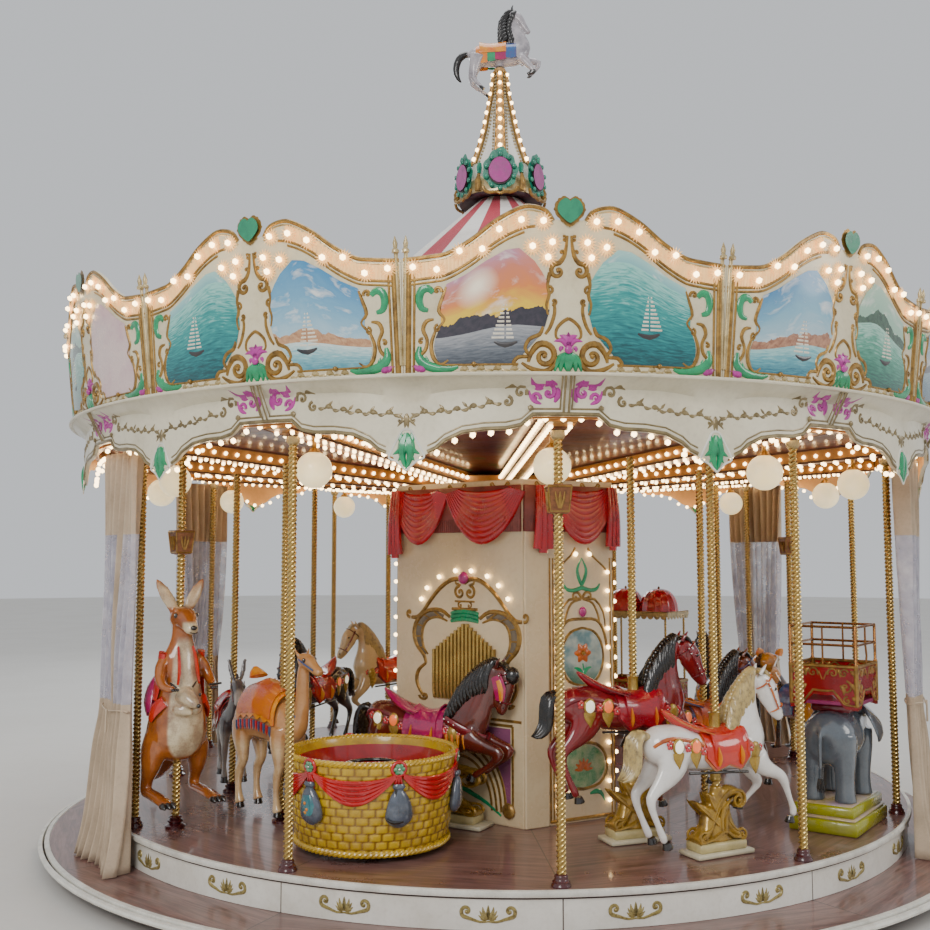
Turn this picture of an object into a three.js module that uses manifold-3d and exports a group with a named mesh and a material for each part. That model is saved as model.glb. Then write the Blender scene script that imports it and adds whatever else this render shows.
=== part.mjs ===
// A small fairground carousel: a turning round platform with animal figures, a painted centre
// drum, twelve sweeps under a painted crown, and a striped roof with a spire and a leaping horse.
// Millimetres, +Z up. The origin is on the axis of rotation, at the ground. An angle is measured
// in degrees from the front (-Y), and grows towards the right (+X).
import * as THREE from 'three';
import { mergeVertices } from 'three/addons/utils/BufferGeometryUtils.js';
import Module from 'manifold-3d';

const wasm = await Module();
wasm.setup();

// Driving dimensions
const SECTORS = 12;
const SECTOR = 360 / SECTORS;
const RING_SIDES = 36;
const LIMB_SIDES = 5;
const FIRST_POLE = 6.1;
const FIT = 0.3;
const BEARING_GAP = 0.4;

const GROUND_FRAME = { hubRadius: 460, hubHeight: 120, beamReach: 3260, beamWidth: 110, beamHeight: 90 };
const MAST = { radius: 140, top: 2985 };
const SLEWING_RING = { inner: 190, outer: 430 };

const DECK_RADIUS = 3500;
const DECK_TOP = 400;
const DECK = { bottom: 358, ribBottom: 250, ribWidth: 70, bore: 165, ribReach: 3436 };
const STEP = { top: 160, thick: 45, inner: 3395, outer: 3980, hangerInner: 3320, hangerOuter: 3430 };
const SKIRT = { inner: 3440.3, outer: 3468 };

// Plan of the centre, the same when it is turned half way round
const DRUM_CORNERS = [[160, -2010], [880, -1580], [860, 1220], [-160, 2010], [-880, 1580], [-860, -1220]];
const DRUM_WALL = 40;
const DRUM_TOP = 2999.7;
const VALANCE = { bottom: 2560, top: 2960, depth: 90 };

const SWEEP = { root: 420, reach: 3640, hubBottom: 3000, rimBottom: 3240, height: 110, width: 190 };
const RIM = { inner: 3605, outer: 3659.7, bottom: 3250, top: 3420 };
const GLOBE = { radius: 125, ring: 3150, z: 3000 };
const CEILING = { inner: 320, outer: 3575, thick: 12 };

const FASCIA = { inner: 3660, outer: 3712, bottom: 3262, top: 3500, cornice: 3835, dropTip: 2935 };
// Lower edge of the fascia: degrees from the middle of a crown panel, height
const SCALLOP = [[0, 3258], [3.1, 3256], [4.2, 3193], [5.6, 3172], [7.7, 3168], [9.7, 3150], [11.4, 3100], [12.6, 3045], [15, 3035]];
const CROWN = { foot: 3500.3, footRadius: 3785, thick: 30, lean: 0.106, post: 4310, postWidth: 1.3 };
// Top edge of a crown panel: degrees from its middle, height
const CROWN_EDGE = [
  [0, 4532], [1.1, 4505], [1.45, 4415], [2.8, 4500], [4.8, 4490],
  [7.2, 4385], [9.6, 4268], [12.0, 4212], [14.3, 4203],
];

const ROOF_PROFILE = [[220, 5817], [2300, 3930], [3020, 3680], [3700, 3500.3]];
const ROOF_THICK = 18;
const SPIRE_PROFILE = [
  [0, 5817.3], [240, 5817.3], [376, 5788], [400, 5810], [372, 5930], [320, 6000], [262, 6190], [205, 6345], [152, 6540],
  [112, 6745], [78, 6900], [56, 7150], [0, 7150],
];
const MEDALLION = { count: 6, ring: 395, halfWidth: 150, bottom: 5795, top: 6195 };

const POLE_RADIUS = 32;
const POLE_RING = 3400;
const POLE_TOP = 3204;
const POLE_SIDES = 12;
const CURTAIN_POLES = [-53.9, 66.1, 126.1, -113.9];
const LAMP_BOX = { pole: 6.1, bottom: 2680, top: 2860, bottomWidth: 165, topWidth: 212, sideDrop: 250 };

const SLIDE_GAP = 0.5;
const BROWN_HORSE = { angle: -17.3, ring: 1853, turn: -28, seat: 620 };
const HOWDAH = { rear: -290, front: 230, half: 250, floor: 915, sill: 1210, rail: 1500, board: 30, bar: 22 };
const BASKET = { angle: -20.6, ring: 2600, bottom: 440, top: 1080, footRadius: 505, rimRadius: 590 };

// Materials, as the photograph shows them
function paint(color, roughness = 0.45, metalness = 0) {
  return new THREE.MeshStandardMaterial({ color, roughness, metalness });
}
const cream = paint(0xe9dcc0);
const gold = paint(0xb98a3c, 0.35, 0.6);
const ivory = paint(0xf1e9da);
const steel = paint(0x50545a, 0.6, 0.4);
const boards = paint(0x6d4a44, 0.3);
const red = paint(0xb01224, 0.4);
const green = paint(0x1f9a72, 0.4);
const curtainCloth = paint(0xd2c1a8, 0.85);
const hide = {
  white: paint(0xe8e4de),
  maroon: paint(0x7a1a1c),
  bay: paint(0x6a3a20),
  brown: paint(0x3b2418),
  grey: paint(0x6f7278),
  tan: paint(0xc48a3e),
  orange: paint(0xd27a26),
};

// Closed geometry helpers
function toSolid(geometry) {
  const bare = geometry.clone();
  bare.deleteAttribute('normal');
  bare.deleteAttribute('uv');
  const merged = mergeVertices(bare, 1e-3);
  const vertProperties = Float32Array.from(merged.attributes.position.array);
  const triVerts = Uint32Array.from(merged.index.array);
  const solid = new wasm.Manifold(new wasm.Mesh({ numProp: 3, vertProperties, triVerts }));
  if (solid.volume() > 0) return solid;
  for (let i = 0; i < triVerts.length; i += 3) {
    [triVerts[i], triVerts[i + 1]] = [triVerts[i + 1], triVerts[i]];
  }
  return new wasm.Manifold(new wasm.Mesh({ numProp: 3, vertProperties, triVerts }));
}

function toGeometry(solid) {
  const { vertProperties, triVerts, numProp } = solid.getMesh();
  const positions = new Float32Array((vertProperties.length / numProp) * 3);
  for (let i = 0; i < positions.length / 3; i += 1) {
    positions.set(vertProperties.subarray(i * numProp, i * numProp + 3), i * 3);
  }
  const geometry = new THREE.BufferGeometry();
  geometry.setAttribute('position', new THREE.BufferAttribute(positions, 3));
  geometry.setIndex(new THREE.BufferAttribute(Uint32Array.from(triVerts), 1));
  geometry.computeVertexNormals();
  return geometry;
}

function join(...geometries) {
  return toGeometry(geometries.map(toSolid).reduce((sum, next) => sum.add(next)));
}

function cut(geometry, ...tools) {
  return toGeometry(tools.map(toSolid).reduce((rest, tool) => rest.subtract(tool), toSolid(geometry)));
}

// Moves each vertex of a geometry to the point that place(x, y, z) gives
function warp(geometry, place) {
  const points = geometry.attributes.position;
  for (let i = 0; i < points.count; i += 1) {
    const to = place(points.getX(i), points.getY(i), points.getZ(i));
    points.setXYZ(i, to.x, to.y, to.z);
  }
  return geometry;
}

function radians(degrees) {
  return THREE.MathUtils.degToRad(degrees);
}

function polar(angle, radius, z) {
  return new THREE.Vector3(radius * Math.sin(radians(angle)), -radius * Math.cos(radians(angle)), z);
}

// A ring or a round solid about the axis, from a closed profile of [radius, z]
function turned(profile, sides) {
  const points = profile.map(([r, z]) => new THREE.Vector2(r, z));
  if (profile[0][0] > 0) points.push(points[0].clone());
  return new THREE.LatheGeometry(points, sides, radians(FIRST_POLE)).rotateX(Math.PI / 2);
}

function tube(inner, outer, bottom, top, sides) {
  return turned([[inner, bottom], [outer, bottom], [outer, top], [inner, top]], sides);
}

function block(x0, x1, y0, y1, z0, z1) {
  const box = new THREE.BoxGeometry(x1 - x0, y1 - y0, z1 - z0);
  return box.translate((x0 + x1) / 2, (y0 + y1) / 2, (z0 + z1) / 2);
}

function rod(radius, bottom, top, sides = POLE_SIDES, topRadius = radius) {
  const post = new THREE.CylinderGeometry(topRadius, radius, top - bottom, sides);
  return post.rotateX(Math.PI / 2).translate(0, 0, (top + bottom) / 2);
}

// A tapering limb through stations of [x, y, z, half width, half depth]
function loft(stations, sides = LIMB_SIDES) {
  const last = stations.length - 1;
  const path = stations.map(([x, y, z]) => new THREE.Vector3(x, y, z));
  return warp(new THREE.CylinderGeometry(1, 1, 1, sides, last), (u, v, w) => {
    const i = Math.round((0.5 - v) * last);
    const along = path[Math.min(i + 1, last)].clone().sub(path[Math.max(i - 1, 0)]).normalize();
    const across = new THREE.Vector3(0, 1, 0).addScaledVector(along, -along.y).normalize();
    const up = new THREE.Vector3().crossVectors(across, along);
    const [, , , halfWidth, halfDepth] = stations[i];
    return path[i].clone().addScaledVector(across, u * halfWidth).addScaledVector(up, w * halfDepth);
  });
}

// The same with level rings, for what stands or hangs: stations of [x, y, z, half length, half width]
function stack(stations, sides = LIMB_SIDES) {
  const last = stations.length - 1;
  return warp(new THREE.CylinderGeometry(1, 1, 1, sides, last), (u, v, w) => {
    const [x, y, z, halfLength, halfWidth] = stations[Math.round((0.5 - v) * last)];
    return new THREE.Vector3(x + u * halfLength, y + w * halfWidth, z);
  });
}

// The same geometry, turned so that its +X points outwards at an angle
function outwards(geometry, angle) {
  return geometry.rotateZ(radians(angle - 90));
}

function everySector(make, offset = 0) {
  return Array.from({ length: SECTORS }, (_, i) => make(FIRST_POLE + offset + i * SECTOR));
}

const carousel = new THREE.Group();

function addMesh(name, geometry, material, parent = carousel) {
  const mesh = new THREE.Mesh(join(geometry), material);
  mesh.name = name;
  parent.add(mesh);
  return mesh;
}

// Ground frame: a round pedestal with six beams on the ground, and the fixed centre mast
function groundFrame() {
  const { hubRadius, hubHeight, beamReach, beamWidth, beamHeight } = GROUND_FRAME;
  const hub = rod(hubRadius, 0, hubHeight, 24);
  const beams = [0, 60, 120].map((turn) => {
    const beam = block(-beamReach, beamReach, -beamWidth / 2, beamWidth / 2, 0, beamHeight);
    return outwards(beam, FIRST_POLE + turn);
  });
  const mast = rod(MAST.radius, hubHeight - 10, MAST.top, 24);
  addMesh('ground_frame', join(hub, mast, ...beams), steel);
}

// Platform: deck on twelve ribs and a slewing ring, white skirt, and the step ring that hangs below
function platform() {
  const slewingBottom = GROUND_FRAME.hubHeight + BEARING_GAP;
  const bearing = tube(SLEWING_RING.inner, SLEWING_RING.outer, slewingBottom, DECK.ribBottom + 5, 12);
  const plate = tube(DECK.bore, DECK_RADIUS, DECK.bottom, DECK_TOP, RING_SIDES);
  const hub = tube(DECK.bore, 520, DECK.ribBottom, DECK.bottom + 5, 12);
  const half = DECK.ribWidth / 2;
  const ribs = everySector((angle) => {
    return outwards(block(480, DECK.ribReach, -half, half, DECK.ribBottom, DECK.bottom + 5), angle);
  });
  addMesh('deck', join(plate, hub, bearing, ...ribs), boards);

  addMesh('skirt_ring', tube(SKIRT.inner, SKIRT.outer, STEP.top + FIT, DECK.bottom - FIT, RING_SIDES), ivory);

  const tread = turned([
    [STEP.inner, STEP.top - STEP.thick], [STEP.outer - 6, STEP.top - STEP.thick],
    [STEP.outer, STEP.top - STEP.thick / 2], [STEP.outer - 6, STEP.top], [STEP.inner, STEP.top],
  ], RING_SIDES);
  const hangers = everySector((angle) => {
    const post = block(STEP.hangerInner, STEP.hangerOuter, -30, 30, STEP.top - 40, DECK.ribBottom - FIT);
    return outwards(post, angle);
  });
  addMesh('step_ring', join(tread, ...hangers), boards);
}

// Centre drum: six painted walls round the machinery, and the draped valance at their top
function drumCorner(index, inset) {
  const before = drumSide(index - 1, inset);
  const after = drumSide(index, inset);
  const det = before.n.x * after.n.y - before.n.y * after.n.x;
  return new THREE.Vector2(
    (before.d * after.n.y - after.d * before.n.y) / det,
    (before.n.x * after.d - after.n.x * before.d) / det,
  );
}

// One side of the drum in plan, as a line n . p = d moved in by an inset
function drumSide(index, inset) {
  const count = DRUM_CORNERS.length;
  const corner = (i) => new THREE.Vector2(...DRUM_CORNERS[((i % count) + count) % count]);
  const a = corner(index);
  const b = corner(index + 1);
  const n = new THREE.Vector2(b.y - a.y, a.x - b.x).normalize();
  return { n, d: n.x * a.x + n.y * a.y - inset, a, b };
}

function extruded(points, bottom, top) {
  const shape = new THREE.Shape(points);
  const solid = new THREE.ExtrudeGeometry(shape, { depth: top - bottom, bevelEnabled: false });
  return solid.translate(0, 0, bottom);
}

function drumWall(index) {
  const outerA = drumCorner(index, 0);
  const outerB = drumCorner(index + 1, 0);
  const innerA = drumCorner(index, DRUM_WALL);
  const innerB = drumCorner(index + 1, DRUM_WALL);
  const run = outerB.clone().sub(outerA).normalize().multiplyScalar(FIT);
  const points = [outerA.add(run), outerB.sub(run), innerB.sub(run), innerA.add(run)];
  return extruded(points, DECK_TOP + FIT, DRUM_TOP);
}

function drum() {
  const names = ['drum_portrait_right', 'drum_side_right', 'drum_organ_rear', 'drum_portrait_left',
    'drum_side_left', 'drum_organ_front'];
  names.forEach((name, index) => addMesh(name, drumWall(index), cream));

  const outline = (inset) => DRUM_CORNERS.map((_, index) => drumCorner(index, inset));
  const band = extruded(outline(-VALANCE.depth), VALANCE.bottom, VALANCE.top);
  const core = extruded(outline(-FIT), VALANCE.bottom - 10, VALANCE.top + 10);
  addMesh('drape_valance', cut(band, core), red);
}

// Sweeps: twelve beams that rise from the hub to the rim, each with a globe lamp near its end
function sweepBottom(radius) {
  const share = (radius - SWEEP.root) / (SWEEP.reach - SWEEP.root);
  return SWEEP.hubBottom + share * (SWEEP.rimBottom - SWEEP.hubBottom);
}

function sweepFrame() {
  const half = SWEEP.width / 2;
  const beams = everySector((angle) => {
    const beam = warp(block(SWEEP.root, SWEEP.reach, -half, half, 0, 1), (x, y, z) => {
      return new THREE.Vector3(x, y, sweepBottom(x) + z * SWEEP.height);
    });
    const seat = block(POLE_RING - 55, POLE_RING + 55, -55, 55, POLE_TOP + FIT, sweepBottom(POLE_RING) + 40);
    const stem = rod(16, GLOBE.z + GLOBE.radius - 10, sweepBottom(GLOBE.ring) + 20, 4).translate(GLOBE.ring, 0, 0);
    const globe = new THREE.SphereGeometry(GLOBE.radius, 7, 5).rotateX(Math.PI / 2).translate(GLOBE.ring, 0, GLOBE.z);
    return outwards(join(beam, seat, stem, globe), angle);
  });
  const hub = tube(170, 940, SWEEP.hubBottom, SWEEP.hubBottom + SWEEP.height, 24);
  const lid = rod(300, SWEEP.hubBottom + 60, SWEEP.hubBottom + SWEEP.height, 24);
  const kingPost = rod(70, SWEEP.hubBottom + 80, ROOF_PROFILE[0][1] - ROOF_THICK - FIT, 12);
  const rim = tube(RIM.inner, RIM.outer, RIM.bottom, RIM.top, RING_SIDES);
  addMesh('sweep_frame', join(hub, lid, kingPost, rim, ...beams), gold);

  const { inner, outer, thick } = CEILING;
  const edge = (radius) => Math.max(sweepBottom(radius), SWEEP.hubBottom) + SWEEP.height + 2 * FIT;
  const soffit = turned([
    [inner, edge(inner)], [SWEEP.root, edge(SWEEP.root)], [outer, edge(outer)], [outer, edge(outer) + thick],
    [SWEEP.root, edge(SWEEP.root) + thick], [inner, edge(inner) + thick],
  ], RING_SIDES);
  addMesh('ceiling', soffit, red);
}

// Fascia: the cream band under the crown, with its cornice and a green drop at each seam of the crown
function fascia() {
  const { inner, outer, bottom, top, cornice, dropTip } = FASCIA;
  const band = turned([
    [inner, bottom], [outer + 8, bottom], [outer, bottom + 34], [outer - 10, top - 60],
    [cornice, top - 14], [cornice, top], [inner, top],
  ], RING_SIDES);
  const drops = everySector((angle) => {
    const leaf = loft([
      [outer - 4, 0, bottom - 110, 22, 16], [outer - 4, 0, bottom - 170, 62, 20], [outer - 4, 0, bottom - 268, 92, 20],
      [outer - 4, 0, dropTip, 10, 8],
    ], 4);
    return outwards(leaf, angle);
  }, SECTOR / 2);
  const edge = [...SCALLOP].reverse().map(([a, z]) => [-a, z]).concat(SCALLOP.slice(1));
  const last = edge.length - 1;
  const aprons = everySector((angle) => warp(new THREE.BoxGeometry(1, 1, 1, last, 1, 1), (u, v, w) => {
    const [turn, low] = edge[Math.round((u + 0.5) * last)];
    const z = low + (w + 0.5) * (bottom + 20 - low);
    return polar(angle + turn, (inner + outer) / 2 + v * 32, z);
  }));
  addMesh('fascia_ring', join(band, ...aprons, ...drops), cream);
}

// Crown: panels with a wavy top edge that lean outwards, two to a board, with a post at each seam
function crownRadius(z) {
  return CROWN.footRadius + (z - CROWN.foot) * CROWN.lean;
}

function crownPanel(middle) {
  const edge = [...CROWN_EDGE].reverse().map(([a, z]) => [-a, z]).concat(CROWN_EDGE.slice(1));
  const last = edge.length - 1;
  return warp(new THREE.BoxGeometry(1, 1, 1, last, 1, 1), (u, v, w) => {
    const [angle, top] = edge[Math.round((u + 0.5) * last)];
    const z = CROWN.foot + (w + 0.5) * (top - CROWN.foot);
    return polar(middle + angle, crownRadius(z) + v * CROWN.thick, z);
  });
}

function crownPost(angle, side) {
  return warp(new THREE.BoxGeometry(1, 1, 1), (u, v, w) => {
    const z = CROWN.foot + (w + 0.5) * (CROWN.post - CROWN.foot);
    const width = w > 0 ? 0.6 : 1;
    const turn = (0.06 + (u + 0.5) * CROWN.postWidth * width) * side;
    return polar(angle + turn, crownRadius(z) + v * (CROWN.thick + 24) + 6, z);
  });
}

function crown() {
  const names = ['crown_board_1', 'crown_board_2', 'crown_board_3', 'crown_board_4',
    'crown_board_5', 'crown_board_6'];
  names.forEach((name, index) => {
    const start = FIRST_POLE - SECTOR / 2 + index * 2 * SECTOR;
    const panels = [start + SECTOR / 2, start + 1.5 * SECTOR].map(crownPanel);
    const posts = [crownPost(start, 1), crownPost(start + SECTOR, -1), crownPost(start + SECTOR, 1),
      crownPost(start + 2 * SECTOR, -1)];
    const seam = warp(new THREE.BoxGeometry(1, 1, 1), (u, v, w) => {
      const z = CROWN.foot + (w + 0.5) * 500;
      return polar(start + SECTOR + u * 1.2, crownRadius(z) + v * 16, z);
    });
    addMesh(name, join(...panels, ...posts, seam), cream);
  });
}

// Roof and spire: a striped cone with a low apron, a fluted spire, six medallions and a leaping horse
function roof() {
  const upper = ROOF_PROFILE;
  const lower = [...ROOF_PROFILE].reverse().map(([r, z], i) => [r - ROOF_THICK, i ? z - ROOF_THICK : z]);
  const [[topRadius, topZ]] = ROOF_PROFILE;
  const skin = turned([[0, topZ], ...upper, ...lower.slice(0, -1), [topRadius - ROOF_THICK, topZ - ROOF_THICK],
    [0, topZ - ROOF_THICK]], 24);
  addMesh('roof_canopy', skin, red);

  const cone = turned(SPIRE_PROFILE, 12);
  const { count, ring, halfWidth, bottom, top } = MEDALLION;
  const medallions = Array.from({ length: count }, (_, i) => {
    const plate = loft([
      [ring + 4, 0, bottom, 60, 24], [ring, 0, bottom + 90, halfWidth, 34],
      [ring - 12, 0, bottom + 230, halfWidth, 34], [ring - 40, 0, top, 25, 14],
    ], 4);
    const bracket = block(200, ring, -40, 40, bottom + 40, bottom + 150);
    return outwards(join(plate, bracket), FIRST_POLE - 6 + i * (360 / count));
  });
  addMesh('spire', join(cone, ...medallions), ivory);
}

// Figures face +X, with their underside near z = 0 of their own frame
const TRUNK_SIDES = 7;

function horseLeg(points, side) {
  return loft(points.map(([x, z, r]) => [x, side * 78, z, r, r * 1.15]), 4);
}

// Leg poses: each is a chain of [x, z, radius] from the trunk to the hoof
const REACHING = [[330, 590, 84], [520, 482, 44], [618, 245, 30], [588, 185, 38]];
const FOLDED = [[310, 570, 78], [452, 428, 42], [292, 290, 32]];
const STANDING = [[-425, 690, 116], [-608, 450, 46], [-500, 180, 30], [-476, 105, 38]];
const TUCKED = [[400, 640, 80], [648, 570, 50], [400, 385, 34]];

function horse() {
  const spine = loft([
    [-570, 0, 775, 60, 70], [-440, 0, 758, 138, 136], [-180, 0, 702, 142, 138], [70, 0, 692, 142, 146],
    [250, 0, 720, 128, 182], [275, 0, 870, 96, 138], [278, 0, 1020, 62, 102], [340, 0, 1165, 46, 66],
  ], TRUNK_SIDES);
  const head = loft([[420, 0, 1155, 50, 70], [480, 0, 1075, 60, 90], [592, 0, 885, 34, 42]]);
  const tail = loft([[-545, 0, 800, 34, 40], [-660, 0, 790, 48, 54], [-690, 0, 650, 48, 50], [-735, 0, 560, 22, 24]], 4);
  const legs = [horseLeg(REACHING, -1), horseLeg(FOLDED, 1), horseLeg(STANDING, 1), horseLeg(STANDING, -1)];
  return join(spine, head, tail, ...legs);
}

// The horse by the organ bows its arched neck and tucks both forelegs
function bowedHorse() {
  const spine = loft([
    [-545, 0, 775, 56, 66], [-430, 0, 765, 126, 134], [-170, 0, 698, 132, 132], [90, 0, 690, 132, 142],
    [300, 0, 715, 120, 182], [400, 0, 895, 90, 158], [480, 0, 1055, 62, 110], [572, 0, 1160, 44, 74],
  ], TRUNK_SIDES);
  const head = loft([[600, 0, 1165, 46, 70], [660, 0, 1080, 54, 84], [620, 0, 850, 32, 38]]);
  const tail = loft([[-530, 0, 800, 34, 38], [-640, 0, 790, 44, 50], [-655, 0, 480, 24, 26]], 4);
  const legs = [horseLeg(TUCKED, -1), horseLeg(TUCKED, 1), horseLeg(STANDING, 1), horseLeg(STANDING, -1)];
  return join(spine, head, tail, ...legs);
}

function shortLeg(x, y, top, radius) {
  return stack([[x, y, top, radius * 1.3, radius * 1.2], [x, y, 4, radius, radius]], 4);
}

function fourLegs(rear, front, spread, top, radius) {
  return [[rear, spread], [rear, -spread], [front, spread], [front, -spread]]
    .map(([x, y]) => shortLeg(x, y, top, radius));
}

function camel() {
  const spine = loft([
    [-530, 0, 640, 60, 70], [-430, 0, 665, 135, 160], [-170, 0, 715, 145, 190], [60, 0, 660, 125, 165],
    [185, 0, 700, 76, 100], [238, 0, 860, 50, 62], [258, 0, 1110, 45, 55],
  ], TRUNK_SIDES);
  const hump = loft([[-150, 0, 800, 100, 160], [-150, 0, 930, 60, 100], [-150, 0, 1000, 20, 30]], LIMB_SIDES);
  const head = loft([[220, 0, 1150, 50, 60], [320, 0, 1160, 55, 60], [440, 0, 1095, 38, 40]]);
  return join(spine, hump, head, ...fourLegs(-420, 60, 85, 600, 50));
}

function donkey() {
  const spine = loft([
    [-300, 0, 520, 50, 60], [-220, 0, 530, 130, 140], [0, 0, 520, 140, 150], [180, 0, 560, 110, 130],
    [280, 0, 680, 60, 90], [340, 0, 800, 45, 60],
  ], TRUNK_SIDES);
  const head = loft([[310, 0, 820, 50, 60], [400, 0, 780, 50, 56], [500, 0, 700, 36, 38]]);
  const ears = [1, -1].map((s) => loft([[320, s * 35, 840, 20, 14], [290, s * 50, 960, 14, 10]], 4));
  return join(spine, head, ...ears, ...fourLegs(-210, 170, 80, 500, 44));
}

function kangaroo() {
  const body = loft([
    [-60, 0, 190, 150, 120], [-30, 0, 380, 215, 205], [10, 0, 640, 205, 200], [40, 0, 940, 140, 120],
    [45, 0, 1130, 76, 70], [50, 0, 1190, 70, 65],
  ], TRUNK_SIDES);
  const head = loft([[-20, 0, 1250, 75, 70], [60, 0, 1260, 95, 95], [250, 0, 1200, 40, 40]]);
  const ears = [1, -1].map((s) => loft([[20, s * 50, 1320, 40, 30], [0, s * 135, 1470, 52, 20], [0, s * 205, 1600, 14, 10]], 4));
  const feet = [1, -1].map((s) => loft([[-170, s * 110, 120, 76, 76], [20, s * 150, 120, 84, 100], [280, s * 190, 40, 60, 34]], 4));
  const tail = loft([[-100, 0, 300, 120, 110], [-320, 0, 150, 75, 70], [-520, 0, 60, 34, 34]]);
  const joey = loft([[190, 0, 560, 70, 60], [220, 0, 680, 85, 80], [250, 0, 850, 20, 20]]);
  const arms = [1, -1].map((s) => loft([[40, s * 130, 960, 55, 55], [150, s * 150, 820, 42, 42], [240, s * 110, 780, 36, 36]], 4));
  return join(body, head, ...ears, ...feet, tail, joey, ...arms);
}

function tiger() {
  const spine = loft([
    [-420, 0, 470, 50, 60], [-330, 0, 480, 125, 132], [0, 0, 470, 135, 140], [250, 0, 500, 130, 150],
    [330, 40, 640, 110, 120], [330, 110, 790, 95, 100],
  ], TRUNK_SIDES);
  const head = loft([[280, 70, 850, 90, 90], [330, 150, 870, 130, 125], [400, 280, 810, 60, 52]], TRUNK_SIDES);
  const tail = loft([[-380, 0, 500, 34, 34], [-520, 0, 420, 30, 30], [-600, 0, 480, 26, 26]], 4);
  return join(spine, head, tail, ...fourLegs(-300, 240, 85, 460, 56));
}

function elephant() {
  const plinth = join(block(-400, 400, -250, 250, 0, 110), block(-370, 370, -222, 222, 105, 200));
  const pad = block(-200, 160, -150, 150, 700, HOWDAH.floor - BEARING_GAP);
  const spine = loft([
    [-330, 0, 640, 90, 110], [-240, 0, 650, 195, 195], [0, 0, 660, 205, 200], [200, 0, 710, 160, 180],
    [340, 0, 770, 140, 150], [430, 0, 720, 90, 95],
  ], TRUNK_SIDES);
  const snout = loft([[400, 0, 730, 60, 60], [480, 0, 560, 45, 45], [500, 0, 400, 36, 36], [560, 0, 330, 28, 28]]);
  const ears = [1, -1].map((s) => loft([[250, s * 120, 860, 20, 60], [230, s * 215, 740, 22, 130], [240, s * 200, 600, 14, 60]], 4));
  const legs = [[-210, 115], [-210, -115], [200, 115], [200, -115]].map(([x, y]) => {
    return stack([[x, y, 640, 95, 85], [x, y, 400, 78, 74], [x, y, 192, 86, 82]], 6);
  });
  return join(plinth, pad, spine, snout, ...ears, ...legs);
}

function howdah() {
  const { rear, front, half, floor, sill, rail, board, bar } = HOWDAH;
  const deck = block(rear, front, -half, half, floor, floor + 40);
  const ends = [[rear, rear + board], [front - board, front]].map(([x0, x1]) => block(x0, x1, -half, half, floor, sill));
  const sides = [[-half, -half + board], [half - board, half]].map(([y0, y1]) => block(rear, front, y0, y1, floor, sill));
  const posts = [[rear, -half], [front - bar, -half], [rear, half - bar], [front - bar, half - bar]]
    .map(([x, y]) => block(x, x + bar, y, y + bar, sill - 20, rail));
  const topRails = [block(rear, front, -half, -half + bar, rail - bar, rail), block(rear, front, half - bar, half, rail - bar, rail),
    block(rear, rear + bar, -half, half, rail - bar, rail), block(front - bar, front, -half, half, rail - bar, rail)];
  return join(deck, ...ends, ...sides, ...posts, ...topRails);
}

function carriage() {
  const tub = block(-430, 430, -260, 260, 120, 620);
  const hollow = block(-390, 390, -222, 222, 180, 640);
  const runners = [block(-380, 380, -200, -150, 0.3, 130), block(-380, 380, 150, 200, 0.3, 130)];
  const posts = [[-400, -240], [400, -240], [-400, 240], [400, 240]].map(([x, y]) => {
    return block(x - 14, x + 14, y - 14, y + 14, 600, 1340);
  });
  const roofPlate = block(-440, 440, -280, 280, 1330, 1400);
  const domes = [-210, 210].map((x) => loft([[x, 0, 1395, 260, 200], [x, 0, 1500, 200, 160], [x, 0, 1600, 90, 70], [x, 0, 1680, 14, 14]], 8));
  return join(cut(tub, hollow), ...runners, ...posts, roofPlate, ...domes);
}

// A figure stands in a group of its own, turned to face along its path round the axis
function figureGroup(angle, ring, lift, turn = angle) {
  const group = new THREE.Group();
  group.position.copy(polar(angle, ring, DECK_TOP + lift));
  group.rotation.z = radians(turn);
  carousel.add(group);
  return group;
}

// A fixed figure is one piece with its pole, which stands in a stepped boss on the deck
function addFixed(name, shape, material, angle, ring, lift, poleX = 0, lamp = false, turn = angle) {
  const boss = [rod(75, -lift + FIT, -lift + 40, 12), rod(52, -lift + 35, -lift + 90, 12)];
  const pole = rod(POLE_RADIUS, -lift + 80, sweepBottom(ring - 120) - 10 - DECK_TOP - lift, 8);
  const box = lamp ? [lampBox(DECK_TOP + lift + LAMP_BOX.sideDrop)] : [];
  const parts = [...boss, pole, ...box].map((piece) => piece.translate(poleX, 0, 0));
  const placed = figureGroup(angle, ring, lift, turn);
  addMesh(name, join(shape, ...parts), material, placed);
}

// A jumping horse slides on a fixed pole that rises from a gilded scroll pedestal
const PEDESTAL_STOP = 455;
function addJumper(name, material, angle, ring, lift) {
  const placed = figureGroup(angle, ring, 0);
  const bore = rod(POLE_RADIUS + SLIDE_GAP, -500, 2600, 8);
  addMesh(`${name}_horse`, cut(horse().translate(0, 0, lift), bore), material, placed);
  const foot = join(
    block(-240, 240, -112, 112, FIT, 40), block(-205, 205, -86, 86, 35, 90),
    loft([[0, 0, 80, 84, 200], [0, 0, 160, 64, 128], [0, 0, 240, 54, 108], [0, 0, 320, 58, 165], [0, 0, 375, 62, 212],
      [0, 0, 425, 60, 120], [0, 0, PEDESTAL_STOP, 50, 60]], 8),
    rod(POLE_RADIUS, 80, sweepBottom(ring - 120) - 10 - DECK_TOP, 8),
  );
  addMesh(`${name}_pedestal`, foot, gold, placed);
}

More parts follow.
